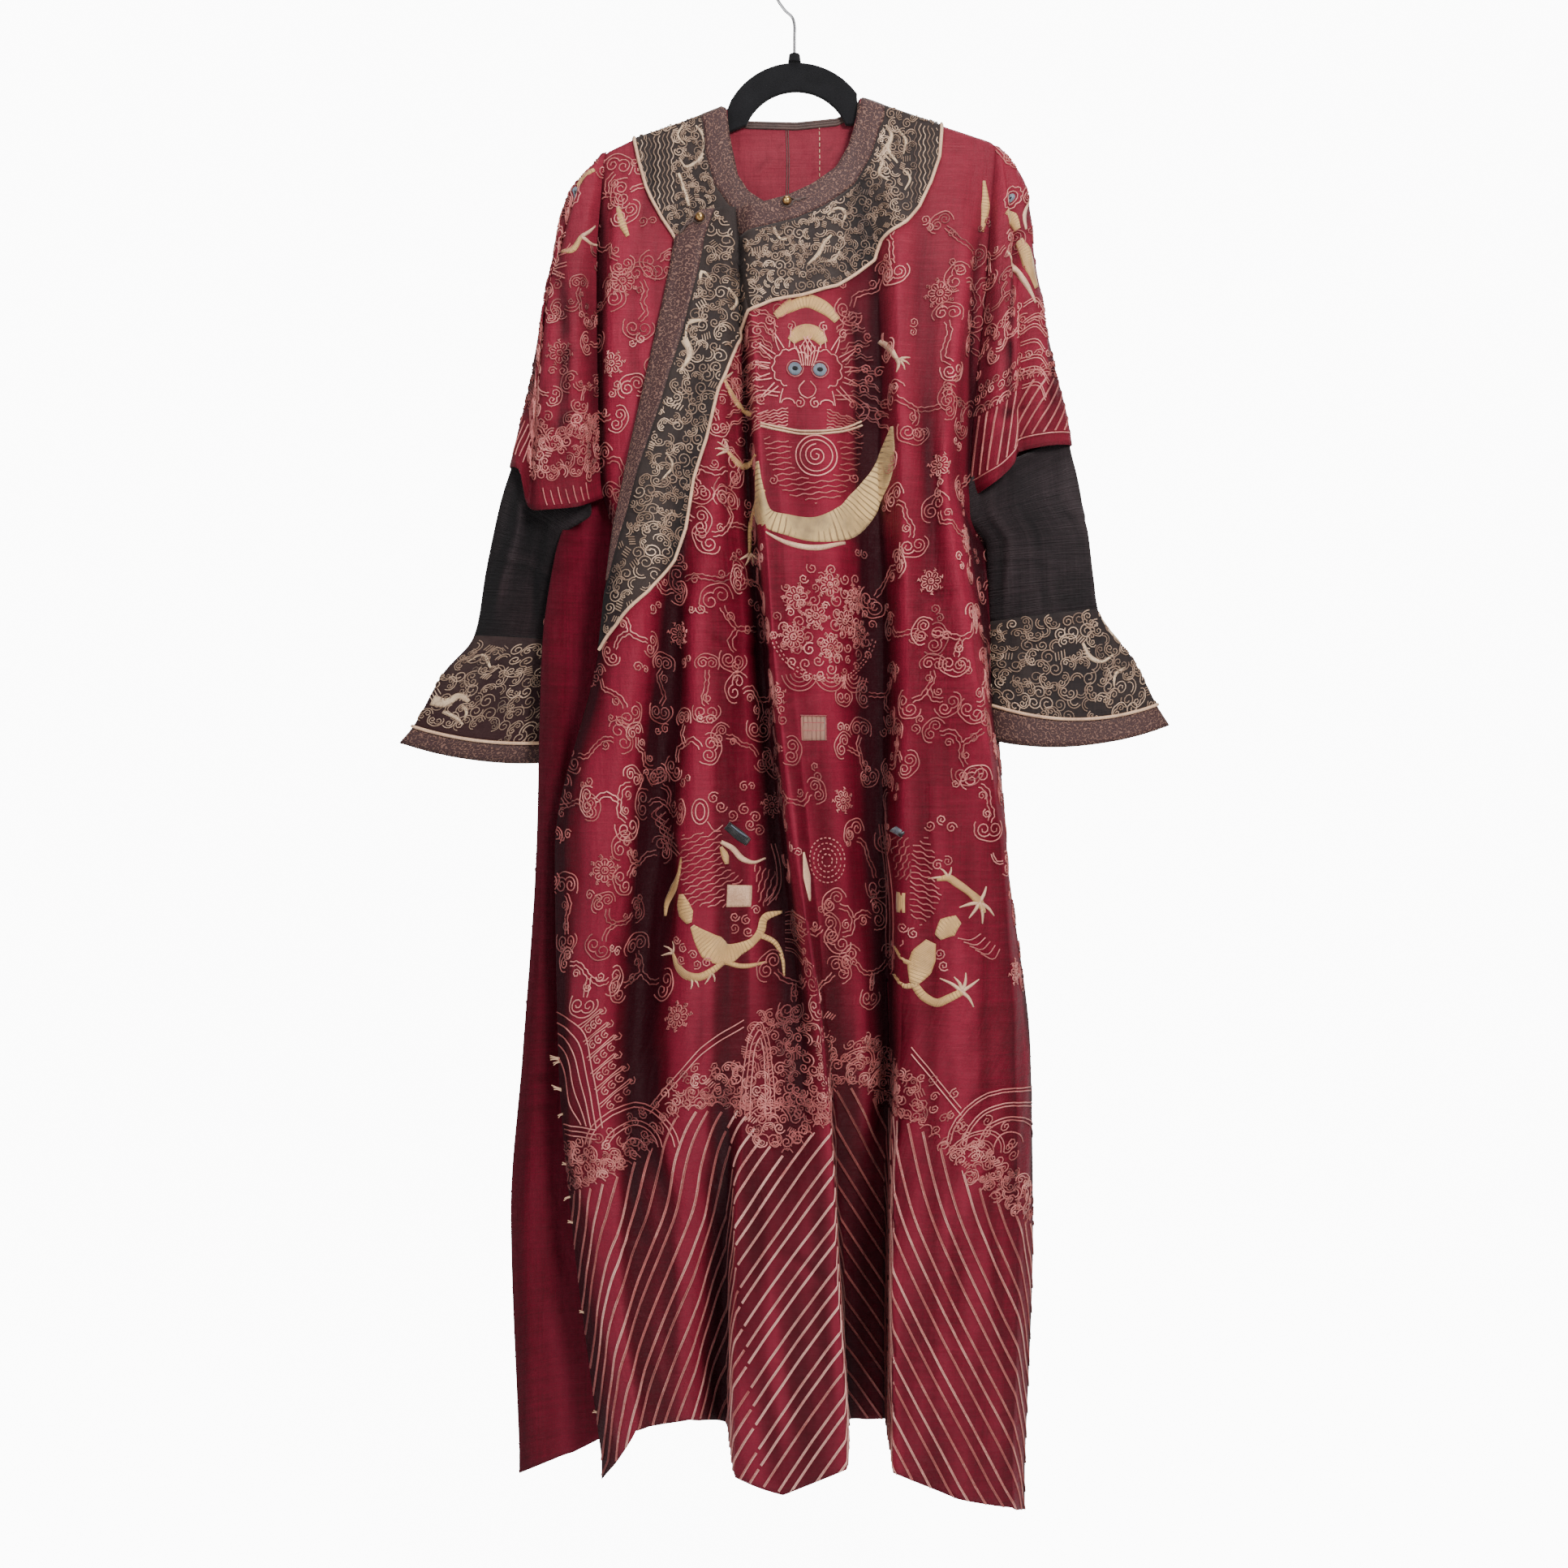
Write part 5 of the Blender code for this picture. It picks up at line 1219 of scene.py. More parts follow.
class Embroidery:
    # Strokes and satin shapes for one surface; drawn first, laid at the end.
    def __init__(self, surface, base=0.0, hide=(), keep=()):
        self.surface, self.base, self.hide, self.keep = surface, base, hide, keep
        self.strokes = {}
        self.satin = {}

    def lay(self, marks, lift, byX):
        if isinstance(self.surface, Cloth):
            return self.surface.place(marks[:, 0], marks[:, 1], lift, byX)
        return self.surface.place(marks[:, 0], -marks[:, 1], lift)

    def spot(self, x, z):
        # Where a point seen from the front lies across the cloth.
        return np.array([self.surface.acrossAt(np.array([float(x)]), np.array([float(z)]))[0], z])

    def draw(self, paths, at=(0.0, 0.0), angle=0.0, size=1.0, kind="gold", byX=False, tone=None, step=3.4,
            mirror=False):
        tone = dice.uniform(0.2, 0.8) if tone is None else tone
        for path in paths:
            path = turned(path, angle, size, at, mirror)
            marks = alongPath(path, max(2, int(pathLength(path) / step) + 1))
            self.strokes.setdefault((kind, byX), []).append((marks, tone + dice.normal(0, 0.08)))

    def ribbon(self, points, widths, kind="pale", at=(0.0, 0.0), byX=True, raised=1.0, size=1.0,
            mirror=False):
        line = turned(bend(points), 0.0, size, at, mirror)
        widths = np.interp(np.linspace(0, 1, len(line)), np.linspace(0, 1, len(widths)), widths) * size
        count = max(4, int(pathLength(line) / 3.0))
        marks = alongPath(line, count)
        broad = np.interp(np.linspace(0, 1, count), np.linspace(0, 1, len(line)), widths)
        self.satin.setdefault((kind, byX), []).append((marks, broad, raised))

    def disc(self, x, y, radius, kind, raised=1.0, byX=True):
        # A round satin spot, made as a short broad ribbon with round ends.
        a = np.linspace(-1, 1, 9)
        marks = np.stack([x + a * radius, np.full(9, float(y))], axis=1)
        self.satin.setdefault((kind, byX), []).append(
            (marks, 2 * radius * np.sqrt(np.maximum(1 - a ** 2, 0.02)), raised))

    def seen(self, points):
        flat = points[:, [0, 2]]
        kept = np.ones(len(points), bool)
        for shape in self.hide:
            kept &= ~insideShape(flat, shape)
        if self.keep:
            kept &= np.any([insideShape(flat, shape) for shape in self.keep], axis=0)
        return kept

    def finish(self, name):
        made = []
        for kind, (radius, sides, material) in threadKinds.items():
            strands, tones = [], []
            for byX in (False, True):
                drawn = self.strokes.get((kind, byX), [])
                if not drawn:
                    continue
                marks = np.vstack([d[0] for d in drawn])
                points, inside = self.lay(marks, self.base + radius * 0.55, byX)
                # Painted shade and light: threads darken in fold troughs and lighten on ridges.
                shade = -0.6 * np.clip(self.surface.found, 0, 1) + 0.2 * np.clip(-self.surface.found, 0, 1)
                inside &= self.seen(points)
                start = 0
                for path, tone in drawn:
                    stop = start + len(path)
                    block, kept = points[start:stop], inside[start:stop]
                    dim = shade[start:stop]
                    far = np.diff(runLengths(block), prepend=0.0) > 14.0
                    for run in runs(np.column_stack([block, dim]), kept & ~far):
                        strands.append(run[:, :3])
                        tones.append(tone + run[:, 3])
                    start = stop
            if strands:
                made.append(threadPiece(name + kind.capitalize(), strands, tones, radius, sides, material))
        for kind, material in satinKinds.items():
            blocks, uvs, faces, total = [], [], [], 0
            for byX in (False, True):
                for marks, broad, raised in self.satin.get((kind, byX), []):
                    side = sideways(marks)
                    columns = max(3, int(broad.max() / 3.2) + 2)
                    v = np.linspace(-0.5, 0.5, columns)
                    grid = marks[:, None] + side[:, None] * (broad[:, None] * v[None])[..., None]
                    height = 0.15 + raised * (1 - (2 * v) ** 2) ** 0.7
                    height = height[None] * np.clip(broad / 4.0, 0.3, 1)[:, None]
                    points, inside = self.lay(grid.reshape(-1, 2), self.base + height.ravel(), byX)
                    inside &= self.seen(points)
                    cells = gridFaces(len(marks), columns)
                    cells = cells[inside[cells].all(axis=1)]
                    if len(cells) == 0:
                        continue
                    middle = points[cells]
                    facing = np.cross(middle[:, 1] - middle[:, 0], middle[:, 3] - middle[:, 0])
                    kept, used = np.unique(cells, return_inverse=True)
                    used = used.reshape(cells.shape)
                    outward = points[kept] - self.lay(grid.reshape(-1, 2)[kept], 0.0, byX)[0]
                    if (facing * outward[used[:, 0]]).sum() < 0:
                        used = used[:, ::-1]
                    along = np.broadcast_to(runLengths(marks)[:, None], grid.shape[:2]).ravel()
                    across = (broad[:, None] * v[None]).ravel()
                    blocks.append(points[kept])
                    uvs.append(np.stack([along, across], axis=1)[kept])
                    faces.append(used + total)
                    total += len(kept)
            if blocks:
                title = name + kind.capitalize() + "Satin"
                mesh = plainMesh(title, np.vstack(blocks), np.vstack(faces), np.vstack(uvs))
                made.append(putPiece(title, mesh, (material,)))
                wall(made[-1], 0.35)
        return made


threadKinds = {"gold": (0.85, 3, goldThread), "stripe": (0.8, 3, stripeThread),
    "fine": (0.75, 3, oldGoldThread), "cord": (1.2, 4, creamCord)}
satinKinds = {"pale": satinLooks["paleSatin"], "scaled": satinLooks["scaledSatin"], "cream": creamCord,
    "blue": satinLooks["blueSatin"], "ink": satinLooks["inkSatin"], "oldCream": oldCream,
    "blush": satinLooks["blushSatin"]}

# The designs: clouds, dragons, medallions, rocks and waves, and the striped hem.

def lobed(x, y, radius, depth, lobes, start, end):
    a = np.radians(np.linspace(start, end, 46))
    r = radius + depth * np.abs(np.sin(lobes * a / 2))
    return np.stack([x + r * np.cos(a), y + r * np.sin(a)], axis=1)


class Motif:
    # Satin and thread drawn round one centre.
    def __init__(self, e, x, z, size, mirror=False):
        self.e, self.centre, self.size, self.mirror = e, (x, z), size, mirror

    def put(self, points, widths, kind="pale", raised=1.1):
        self.e.ribbon(np.array(points, float), widths, kind, self.centre, True, raised, self.size,
            self.mirror)

    def line(self, paths, kind="gold", tone=0.6):
        self.e.draw(paths, self.centre, 0.0, self.size, kind, True, tone, mirror=self.mirror)

    def arc(self, *points, tone=0.6):
        self.line([bend(points)], tone=tone)

    def claw(self, root, tips, width):
        # Short fingers from one root, each a tapering satin line.
        for tip in tips:
            middle = ((root[0] + tip[0]) / 2 + 1.5, (root[1] + tip[1]) / 2 + 1.0)
            self.put([root, middle, tip], (width, width * 0.75, width * 0.3), "cream", 1.2)

    def scales(self, shape, gap, angle, height=1.5, length=9.0, hole=None, tone=0.4):
        for path in fillLines(shape, gap, angle, height, length):
            kept = np.ones(len(path), bool) if hole is None else ~insideShape(path, hole)
            self.line(runs(path, kept), tone=tone)

    def curls(self, places, radius=6.0, turns=1.5, tone=0.55):
        for i, (x, z) in enumerate(places):
            way = 1 if i % 2 else -1
            self.line([spiral(x, z, radius * (1 + 0.15 * math.sin(3.1 * i)), 1.4, 80 * i, way * turns)],
                tone=tone)

    def eye(self, x, z, radius):
        # A pale ring of stitches with a dark pupil.
        spot = (self.centre[0] + x * self.size * (-1 if self.mirror else 1), self.centre[1] + z * self.size)
        self.e.disc(*spot, radius * self.size, "blue", 1.3)
        self.e.disc(*spot, radius * 0.48 * self.size, "ink", 3.0)


def faceDragon(e, x, z, size=1.0):
    # A dragon seen from the front, coiled round a pearl.
    m = Motif(e, x, z, size)
    m.put([(-42, 112), (-28, 122), (-9, 129), (8, 122), (22, 110)], (8, 14, 15, 14, 9))
    m.put([(-26, 85), (-17, 94), (-9, 96), (0, 94), (8, 84)], (9, 15, 17, 15, 9))
    m.put([(78, -1), (74, -26), (66, -52), (50, -78), (33, -98), (3, -109), (-28, -106), (-51, -98),
        (-58, -66), (-59, -40)], (3, 15, 26, 33, 34, 26, 22, 18, 8, 3), "scaled")
    m.put([(-95, 49), (-84, 30), (-67, 13)], (3, 7, 4))
    m.put([(-91, -25), (-76, -38), (-61, -31)], (3, 8, 5))
    m.put([(-55, -69), (-66, -92), (-69, -129)], (7, 6, 3))
    m.put([(66, 92), (74, 84), (84, 66)], (5, 6, 3), "cream")
    m.line([bend([(-57, -1), (-40, -5), (-8, -8), (26, -3), (48, 8)]),
        bend([(-57, -4), (-40, -8), (-8, -11), (26, -6), (49, 4)])], "cord", 0.55)
    m.put([(-52, -113), (-30, -124), (2, -128), (30, -121)], (2, 5, 6, 3), "cream", 0.8)
    m.line([bow(0, -33, r, r, 0, 360) for r in (21, 16.5)] + [spiral(0, -33, 12, 2, 90, 2.0)], tone=0.8)
    for side in (-1, 1):
        cx = -9 + side * 12.8
        m.eye(cx, 56.5, 7.0)
        m.line([bow(cx, 56.5, 8.6, 8.6, 0, 360)], tone=0.35)
        start, end = (-75, 150) if side > 0 else (30, 255)
        m.line([lobed(cx + side * 3, 57, 17.5, 3.6, 11, start, end)], tone=0.9)
        for k in range(15):
            a = math.radians(-66 + 13.5 * k)
            way = np.array([side * math.cos(a), math.sin(a)])
            root = np.array([cx + side * 3, 56]) + way * 23
            turn = np.array([-way[1], way[0]]) * side * (5 if k % 2 else -3)
            m.arc(root, root + way * 8 + turn * 0.4, root + way * (15 + 3 * (k % 3)) + turn, tone=0.95)
            if k % 2:
                m.line([spiral(*(root + way * 22 + turn), 5.4, 1.4, math.degrees(a), side * 1.4)], tone=0.7)
        m.arc((-9 + side * 3, 44), (-9 + side * 9, 36), (-9 + side * 6, 29), (-9, 26), tone=0.8)
        m.line([spiral(-9 + side * 8, 21, 6, 1.5, 90, side * 1.4), bow(-9 + side * 20, 20, 7, 5, 0, 180)],
            tone=0.75)
        for k in range(6):
            m.line([wavy([(-9 + side * 20, 15 - 3.6 * k), (-9 + side * (49 + 2 * k), 8 - 3 * k)], 1.3, 9, k)],
                tone=0.5)
        m.line([bend([(-9 + side * 28, 31), (-9 + side * 52, 32), (-9 + side * 65, 20), (-9 + side * 58, 8),
            (-9 + side * 40, 12)]), bend([(-9 + side * 30, 27), (-9 + side * 50, 28), (-9 + side * 60, 19),
            (-9 + side * 54, 12)])], tone=0.8)
        for k in range(9):
            begin = np.array([-9 + side * (30 + 2.5 * k), 100 - 10.5 * k])
            reach = np.array([side * (24 + 1.4 * k), 24 - 5.0 * k])
            curve = bend([begin, begin + reach * 0.5 + [0, 4], begin + reach + [side * 2, -3]])
            m.line([wavy(curve, 1.6, 12, k), wavy(curve + [side * 1.0, -3.4], 1.6, 12, k + 0.6)], tone=0.4)
    for k in range(7):
        m.arc((-21 + 4.0 * k, 83 - abs(k - 3)), (-18 + 3.2 * k, 72), (-15 + 2.0 * k, 60), tone=0.9)
    m.scales([(-55, -14), (-20, -20), (20, -18), (52, -6), (46, -40), (28, -72), (0, -84), (-34, -74),
        (-50, -44)], 5.6, 8, 1.0, 15.0, bow(0, -33, 25, 25, 0, 360))
    for root, turn in (((-69, -129), -90), ((84, 66), -40), ((-95, 49), 100), ((-91, -25), 160)):
        tips = [(root[0] + 13 * math.cos(math.radians(turn + a)),
            root[1] + 13 * math.sin(math.radians(turn + a))) for a in (-52, -18, 16, 50)]
        m.claw(root, tips, 3.4)
    m.curls(((-48, 108), (-60, 96), (-72, 84), (40, 106), (54, 96), (66, 60), (-74, 2), (-78, -12), (72, 26),
        (66, 14), (-44, -60), (40, -52), (56, 52), (-64, 60), (30, 118), (-62, 116)), 5.6, 1.4, 0.6)


def lowDragon(e, x, z, mirror=False):
    # A dragon from the side, its head above a round scaled coil and its body bent under it.
    m = Motif(e, x, z, 1.0, mirror)
    m.put([(6, 80), (17, 71), (28, 62)], (9, 11, 9), "ink", 1.0)
    m.put([(10, 80), (19, 73), (27, 67)], (2.4, 3, 2.4), "blue", 2.6)
    m.put([(0, 63), (12, 56), (22, 45), (34, 41), (47, 45)], (4, 6, 6, 3.5, 2), "cream", 1.6)
    m.put([(0, 58), (4, 49), (6, 40)], (3, 8, 4), "pale", 0.8)
    m.put([(6, 7.5), (31, 6.5)], (23, 22), "cream", 0.7)
    m.put([(-41, 9), (-39, -2), (-36, -10), (-32, -20)], (6, 15, 17, 6), "pale", 1.3)
    m.put([(-41, 47), (-43, 34), (-51, 15), (-58, -3), (-59, -15)], (2, 5, 8, 5, 2), "pale", 1.0)
    m.put([(-29, -23), (-18, -36), (-6, -47), (6, -52), (18, -48), (33, -40), (41, -30), (45, -17),
        (63, -11)], (5, 18, 29, 23, 13, 8, 9, 8, 3))
    m.put([(-51, -52), (-45, -64), (-35, -73), (-22, -75), (-8, -68), (4, -60)], (3, 8, 9, 8, 7, 5), "pale")
    m.put([(4, -60), (22, -65), (47, -62)], (5, 5, 2.5), "pale")
    m.put([(41, -34), (55, -42), (63, -58), (65, -77)], (6, 5, 4, 2), "pale")
    m.claw((-30, -75), ((-30, -87), (-22, -85)), 3.0)
    m.claw((-10, -70), ((-16, -82), (-6, -80)), 3.0)
    m.claw((-51, -52), ((-60, -46), (-52, -40), (-62, -56)), 3.0)
    m.scales([(-39, 70), (4, 76), (0, 60), (4, 38), (29, 21), (4, 17), (6, -5), (-33, -3), (-43, 30)], 5.2,
        24, 1.2, 13)
    m.scales([(32, 40), (60, 30), (58, 0), (40, -8), (36, 20)], 5.4, 70, 1.1, 12)
    m.curls(((14, -14), (26, -18), (36, -8), (14, -26), (28, -30)), 5.4)
    m.curls(((-46, -38), (-38, -46), (-28, -52), (-24, -62), (-40, -58), (-14, -60)), 5.0)
    for k in range(5):
        m.line([bend([(66, -12 - 9 * k), (76, -10 - 10 * k), (86, -16 - 11 * k)]),
            bend([(66, -15 - 9 * k), (76, -13 - 10 * k), (86, -19 - 11 * k)])], tone=0.45)
        m.line([bend([(-42 - 4 * k, 50 + 8 * k), (-54 - 4 * k, 60 + 8 * k), (-50 - 3 * k, 72 + 7 * k)]),
            bend([(-46 - 4 * k, 48 + 8 * k), (-58 - 4 * k, 58 + 8 * k), (-54 - 3 * k, 70 + 7 * k)])],
            tone=0.45)
    m.line([bend([(52, 60), (57, 40), (55, 10), (46, 0)]), bend([(56, 60), (61, 40), (59, 8), (48, -4)])],
        tone=0.5)
    m.line([bow(-21, 94, 8, 13, 0, 360), bow(-21, 94, 4.5, 9, 0, 360), bend([(-14, 84), (-6, 74), (2, 80)])],
        tone=0.6)
    m.curls(((0, 99), (24, 96), (36, 88), (12, 90), (30, 80), (-8, 108), (40, 74)), 6.4, 1.6)


def lowDragonTwo(e, x, z):
    # Its partner: both front limbs spread wide, the head deep in the fold.
    m = Motif(e, x, z, 1.0)
    m.put([(3, 25), (15, 27), (23, 22), (37, 12), (47, 2), (52, -9)], (3, 8, 8, 7, 9, 4))
    m.claw((14, 27), ((6, 37), (18, 38), (-6, 26)), 3.4)
    m.claw((47, 2), ((54, 18), (36, -14), (26, -3), (50, -20), (62, -12)), 4.4)
    m.put([(4, -33), (14, -23), (25, -15)], (9, 22, 10), "pale", 1.3)
    m.put([(-3, -38), (-11, -56), (-16, -70), (-20, -81)], (11, 25, 25, 9))
    m.put([(-18, -61), (-30, -58), (-38, -46)], (6, 4, 2.5), "pale")
    m.put([(-38, -76), (-30, -84), (-16, -81)], (3, 5, 7), "pale")
    m.put([(-19, -83), (-9, -95), (3, -100), (15, -95), (28, -88)], (8, 9, 8.5, 8, 7))
    m.claw((28, -88), ((6, -75), (20, -73), (32, -69), (46, -76), (40, -104)), 4.2)
    m.put([(-36, 1), (-28, 1)], (21, 20), "pale", 0.6)
    m.put([(-38, 76), (-31, 71)], (7, 7), "blue", 1.2)
    m.put([(-33, 72), (-30, 70)], (6, 6), "ink", 2.0)
    m.scales([(-21, 62), (-6, 70), (2, 50), (-2, 28), (10, 10), (2, -8), (-14, -24), (-24, -8), (-24, 30)],
        5.2, -22, 1.2, 13)
    m.scales([(-40, 68), (-24, 70), (-22, 26), (-38, 20)], 4.6, 64, 1.4, 9, tone=0.2)
    for shift in (0, 3.2, 6.4):
        m.arc((-52 + shift, 80), (-46 + shift, 32), (-44 + shift, -60), tone=0.25)
    m.curls(((-30, -24), (-20, -30), (-34, -40), (6, -50), (10, -62), (4, 40), (14, 44), (-4, 80), (8, 86),
        (18, 78)), 5.8)
    for k in range(5):
        m.arc((24 + 6 * k, -34 - 4 * k), (38 + 6 * k, -36 - 5 * k), (48 + 5 * k, -30 - 4 * k), tone=0.5)


def medallion(e, at):
    # Flowers and rocks crowded into a round, with a garland of dots beneath.
    for k, (dx, dz) in enumerate(((0, 40), (-36, 26), (34, 28), (-16, 8), (20, 4), (-40, -14), (40, -8),
            (0, -24))):
        e.draw(flower(6 + k % 3, 0.82), np.array(at) + [dx, dz], 0.4 * k, tone=0.6)
    for k in range(64):
        a, r = 2.4 * k, 64 * math.sqrt((k + 0.5) / 64)
        e.draw([spiral(0, 0, dice.uniform(4.6, 7.4), 1.3, dice.uniform(0, 360), dice.choice([-1, 1]) * 1.4)],
            (at[0] + r * math.cos(a), at[1] + r * math.sin(a) * 0.95), tone=dice.uniform(0.3, 0.9))
    for r in (62, 66):
        e.draw(dotted(bow(0, 0, r, r * 0.9, 190, 350)), at, tone=0.7)
    for dx in (-34, 0, 34):
        e.draw(arches(dx, -50, 19, 4.5, 190, 350), at)


def scatterClouds(e, box, zones, spacing, sizes=(0.92, 1.14), flowers=0.08):
    # Clouds on a shaken grid, kept out of round zones given as (u, v, ru, rv).
    low, high, bottom, top = box

    def clear(at, du, dv):
        return all(((at[0] - u) / (ru + du)) ** 2 + ((at[1] - v) / (rv + dv)) ** 2 > 1 for u, v,
            ru, rv in zones)

    rowsAt = np.arange(top, bottom, -spacing[1])
    for r, v0 in enumerate(rowsAt):
        for u0 in np.arange(low + (r % 2) * spacing[0] / 2, high, spacing[0]):
            at = np.array([u0 + dice.uniform(-9, 9), v0 + dice.uniform(-7, 7)])
            big, small = clear(at, 20, 18), clear(at, 8, 8)
            pick, tone = dice.uniform(), dice.uniform(0.15, 0.85)
            if big and pick > flowers:
                e.draw(cloud(3 if pick < 0.7 else 2), at, size=dice.uniform(*sizes), tone=tone)
            elif big:
                e.draw(flower(7, 0.75), at, dice.uniform(0, 1), tone=tone)
            elif small:
                e.draw(smallCloud(), at, dice.uniform(0, 6.3), 0.85, tone=tone)
            between = at + [spacing[0] / 2, spacing[1] * 0.42]
            if clear(between, 6, 6):
                e.draw([spiral(0, 0, 5.8, 1.4, dice.uniform(0, 360), 1.5),
                    spiral(10, 3, 4.6, 1.3, 180, -1.4)], between, dice.uniform(0, 6.3), tone=tone)


def stripes(e, left, right, topLine, bottom, pitch):
    # Threads laid in pairs that climb towards the middle from both sides.
    for side, far in ((-1, left), (1, right)):
        away = np.arange(0.0, far, 3.0)
        slope = 1.08 + 0.24 * np.clip(away / 150, 0, 1)
        slope += (0.3 * np.clip((away - 260) / 90, 0, 1) if side < 0 else 0.35 * np.clip(away / 220, 0, 1))
        fall = np.concatenate([[0], np.cumsum(slope[:-1] * 3.0)])
        gap = pitch[0 if side < 0 else 1]
        for k, start in enumerate(np.arange(topLine(0.0) + fall[-1] + 60, bottom, -gap)):
            line = np.stack([side * away, start + 2.2 * math.sin(k * 2.3) - fall], axis=1)
            for offset in (-0.6, 0.6):
                path = beside(line, offset)
                kept = (path[:, 1] < topLine(path[:, 0])) & (path[:, 1] > bottom - 320)
                # Painted light: each side's stripes take a lighter tone over the lit part and a darker one
                # elsewhere.
                bright = (away < 118) if side < 0 else (away > 170)
                for lit, base in ((bright, 0.9 if side < 0 else 0.55), (~bright, 0.5 if side < 0 else 0.3)):
                    for part in runs(path, kept & lit):
                        if pathLength(part) > 9:
                            e.draw([part], kind="stripe", tone=base + 0.08 * ((k * 7) % 5 - 2), step=4.6)


def fernRock(e, root, top, edgeWay):
    # A peak whose flank runs down from the edge, with curled leaves on its outer side.
    root, top = np.array(root, float), np.array(top, float)
    for k in range(5):
        shift = np.array([edgeWay * 6.0 * k, -9.0 * k])
        e.draw([bend([root + [edgeWay * 6.0 * k, 0], (root + top) / 2 + shift + [-edgeWay * 5.0, 0],
            top + shift, top + shift + [edgeWay * 22, 8]])], byX=True, tone=0.8)
    for k in range(6):
        stem = root + (top - root) * (0.95 - 0.15 * k) + [-edgeWay * 4.0, 0]
        tip = stem + np.array([-edgeWay * 30.0, 24.0]) * (0.8 + 0.07 * (k % 3))
        e.draw([bend([stem, (stem + tip) / 2 + [0, 2], tip]), spiral(*tip, 4.6, 1.2, 60, edgeWay * 1.2),
            beside([stem, tip], edgeWay * 3.2)], byX=True, tone=0.75)
        for share in (0.35, 0.6, 0.85):
            hang = stem + (tip - stem) * share - [0, 7]
            e.draw([spiral(*hang, 4.8, 1.3, 90, -edgeWay * 1.3)], byX=True, tone=0.6)


def shoreBand(e, low, high, topLine, crest):
    # Foam, overlapping round waves and swirls that stand on the stripes.
    for u in np.arange(low, high, 13.0):
        for row in range(4):
            at = np.array([u + dice.uniform(-3, 3) + 6.5 * (row % 2), topLine(u) + 7 + 12.5 * row])
            if row < 2 or dice.uniform() < 0.6:
                e.draw([spiral(0, 0, dice.uniform(4.6, 6.8), 1.3, dice.uniform(0, 360),
                    dice.choice([-1, 1]) * 1.5)], at, tone=dice.uniform(0.1, 0.7))
    for u in np.arange(low + 6, high, 12.0):
        e.draw([bow(u, topLine(u) + 1, 6, 5, 10, 170)], tone=0.4)
    for u, size, lean in crest:
        at = (u, topLine(u) + 20)
        for r in np.arange(size, 7.0, -11.0):
            e.draw([bow(lean, 0, r, r * 0.9, 8, 172), bow(lean, 0, r - 3.2, (r - 3.2) * 0.9, 8, 172)], at,
                tone=0.6)
        for k in range(5):
            turn = math.radians(20 + 35 * k)
            spot = (at[0] + lean + (size + 9) * math.cos(turn), at[1] + (size * 0.9 + 9) * math.sin(turn))
            e.draw([spiral(0, 0, 6.2, 1.4, 60 * k, 1.5 if k % 2 else -1.5)], spot, tone=0.5)


def closeFilling(e, shape, gap, byX=True, kind="fine", waves=()):
    # Small clouds, curls and combs crowded together, with upright waves in some places.
    shape = np.asarray(shape, float)
    (low, bottom), (high, top) = shape.min(axis=0), shape.max(axis=0)
    for r, v in enumerate(np.arange(bottom, top, gap * 0.86)):
        for u in np.arange(low, high, gap):
            at = np.array([u + (r % 2) * gap / 2 + dice.uniform(-2, 2), v + dice.uniform(-2, 2)])
            pick, turn, tone = dice.uniform(), dice.uniform(0, 360), dice.uniform(0.0, 1.0)
            grow = gap * dice.uniform(0.42, 0.62)
            if not insideShape(at[None], shape)[0] or any(insideShape(at[None], each)[0] for each in waves):
                continue
            tone = 0.5 * tone + 0.5 * (0.5 + 0.5 * math.sin(at[0] / 17.0) * math.sin(at[1] / 23.0))
            if pick < 0.5:
                paths = [p * grow / 13.0 for p in cloudHead(0.1)]
            elif pick < 0.78:
                paths = [spiral(0, 0, grow, grow * 0.25, turn, 1.5 if pick < 0.64 else -1.5)]
            elif pick < 0.88:
                paths = arches(0, -grow * 0.4, grow, grow * 0.36, 10, 170)
            else:
                paths = [[(-grow * 0.6 + k * grow * 0.4, -grow * 0.5),
                    (-grow * 0.4 + k * grow * 0.4, grow * 0.5)] for k in range(4)]
            e.draw(paths, at, math.radians(turn) if pick < 0.5 or pick > 0.78 else 0.0, 1.0, kind, byX, tone,
                2.6)
    for each in waves:
        each = np.asarray(each, float)
        for k, u in enumerate(np.arange(each[:, 0].min(), each[:, 0].max(), 4.6)):
            path = wavy([(u, each[:, 1].max()), (u, each[:, 1].min())], 1.6, 13.0, 0.7 * math.sin(k))
            e.draw(runs(path, insideShape(path, each)), kind=kind, byX=byX,
                tone=0.45 + 0.3 * math.sin(k * 1.7))


def accent(e, paths, byX=True):
    # Pale strokes: each is points and widths.
    for points, widths in paths:
        e.ribbon(np.array(points, float), widths, "oldCream", (0, 0), byX, 0.8)

# Where the designs go. Outlines are x and z seen from the front.

yokeShape = list(yokeLine) + [(153, -100), (-62, -100), (-62, -251)] + list(lapelValley[1:])
overlapShape = np.vstack([rightSide, [(-212, -716)], outside[::-1] - [9, 0], [(-100, -240), (-62, -240)]])
underShape = [*underYoke, (-60, -390), (40, -300), (40, -100), (-167, -100)]
backShape = [*backYoke, (156, -100), (-170, -100)]


def shore(points):
    table = np.array(points, float)
    return lambda u: np.interp(u, *table.T)


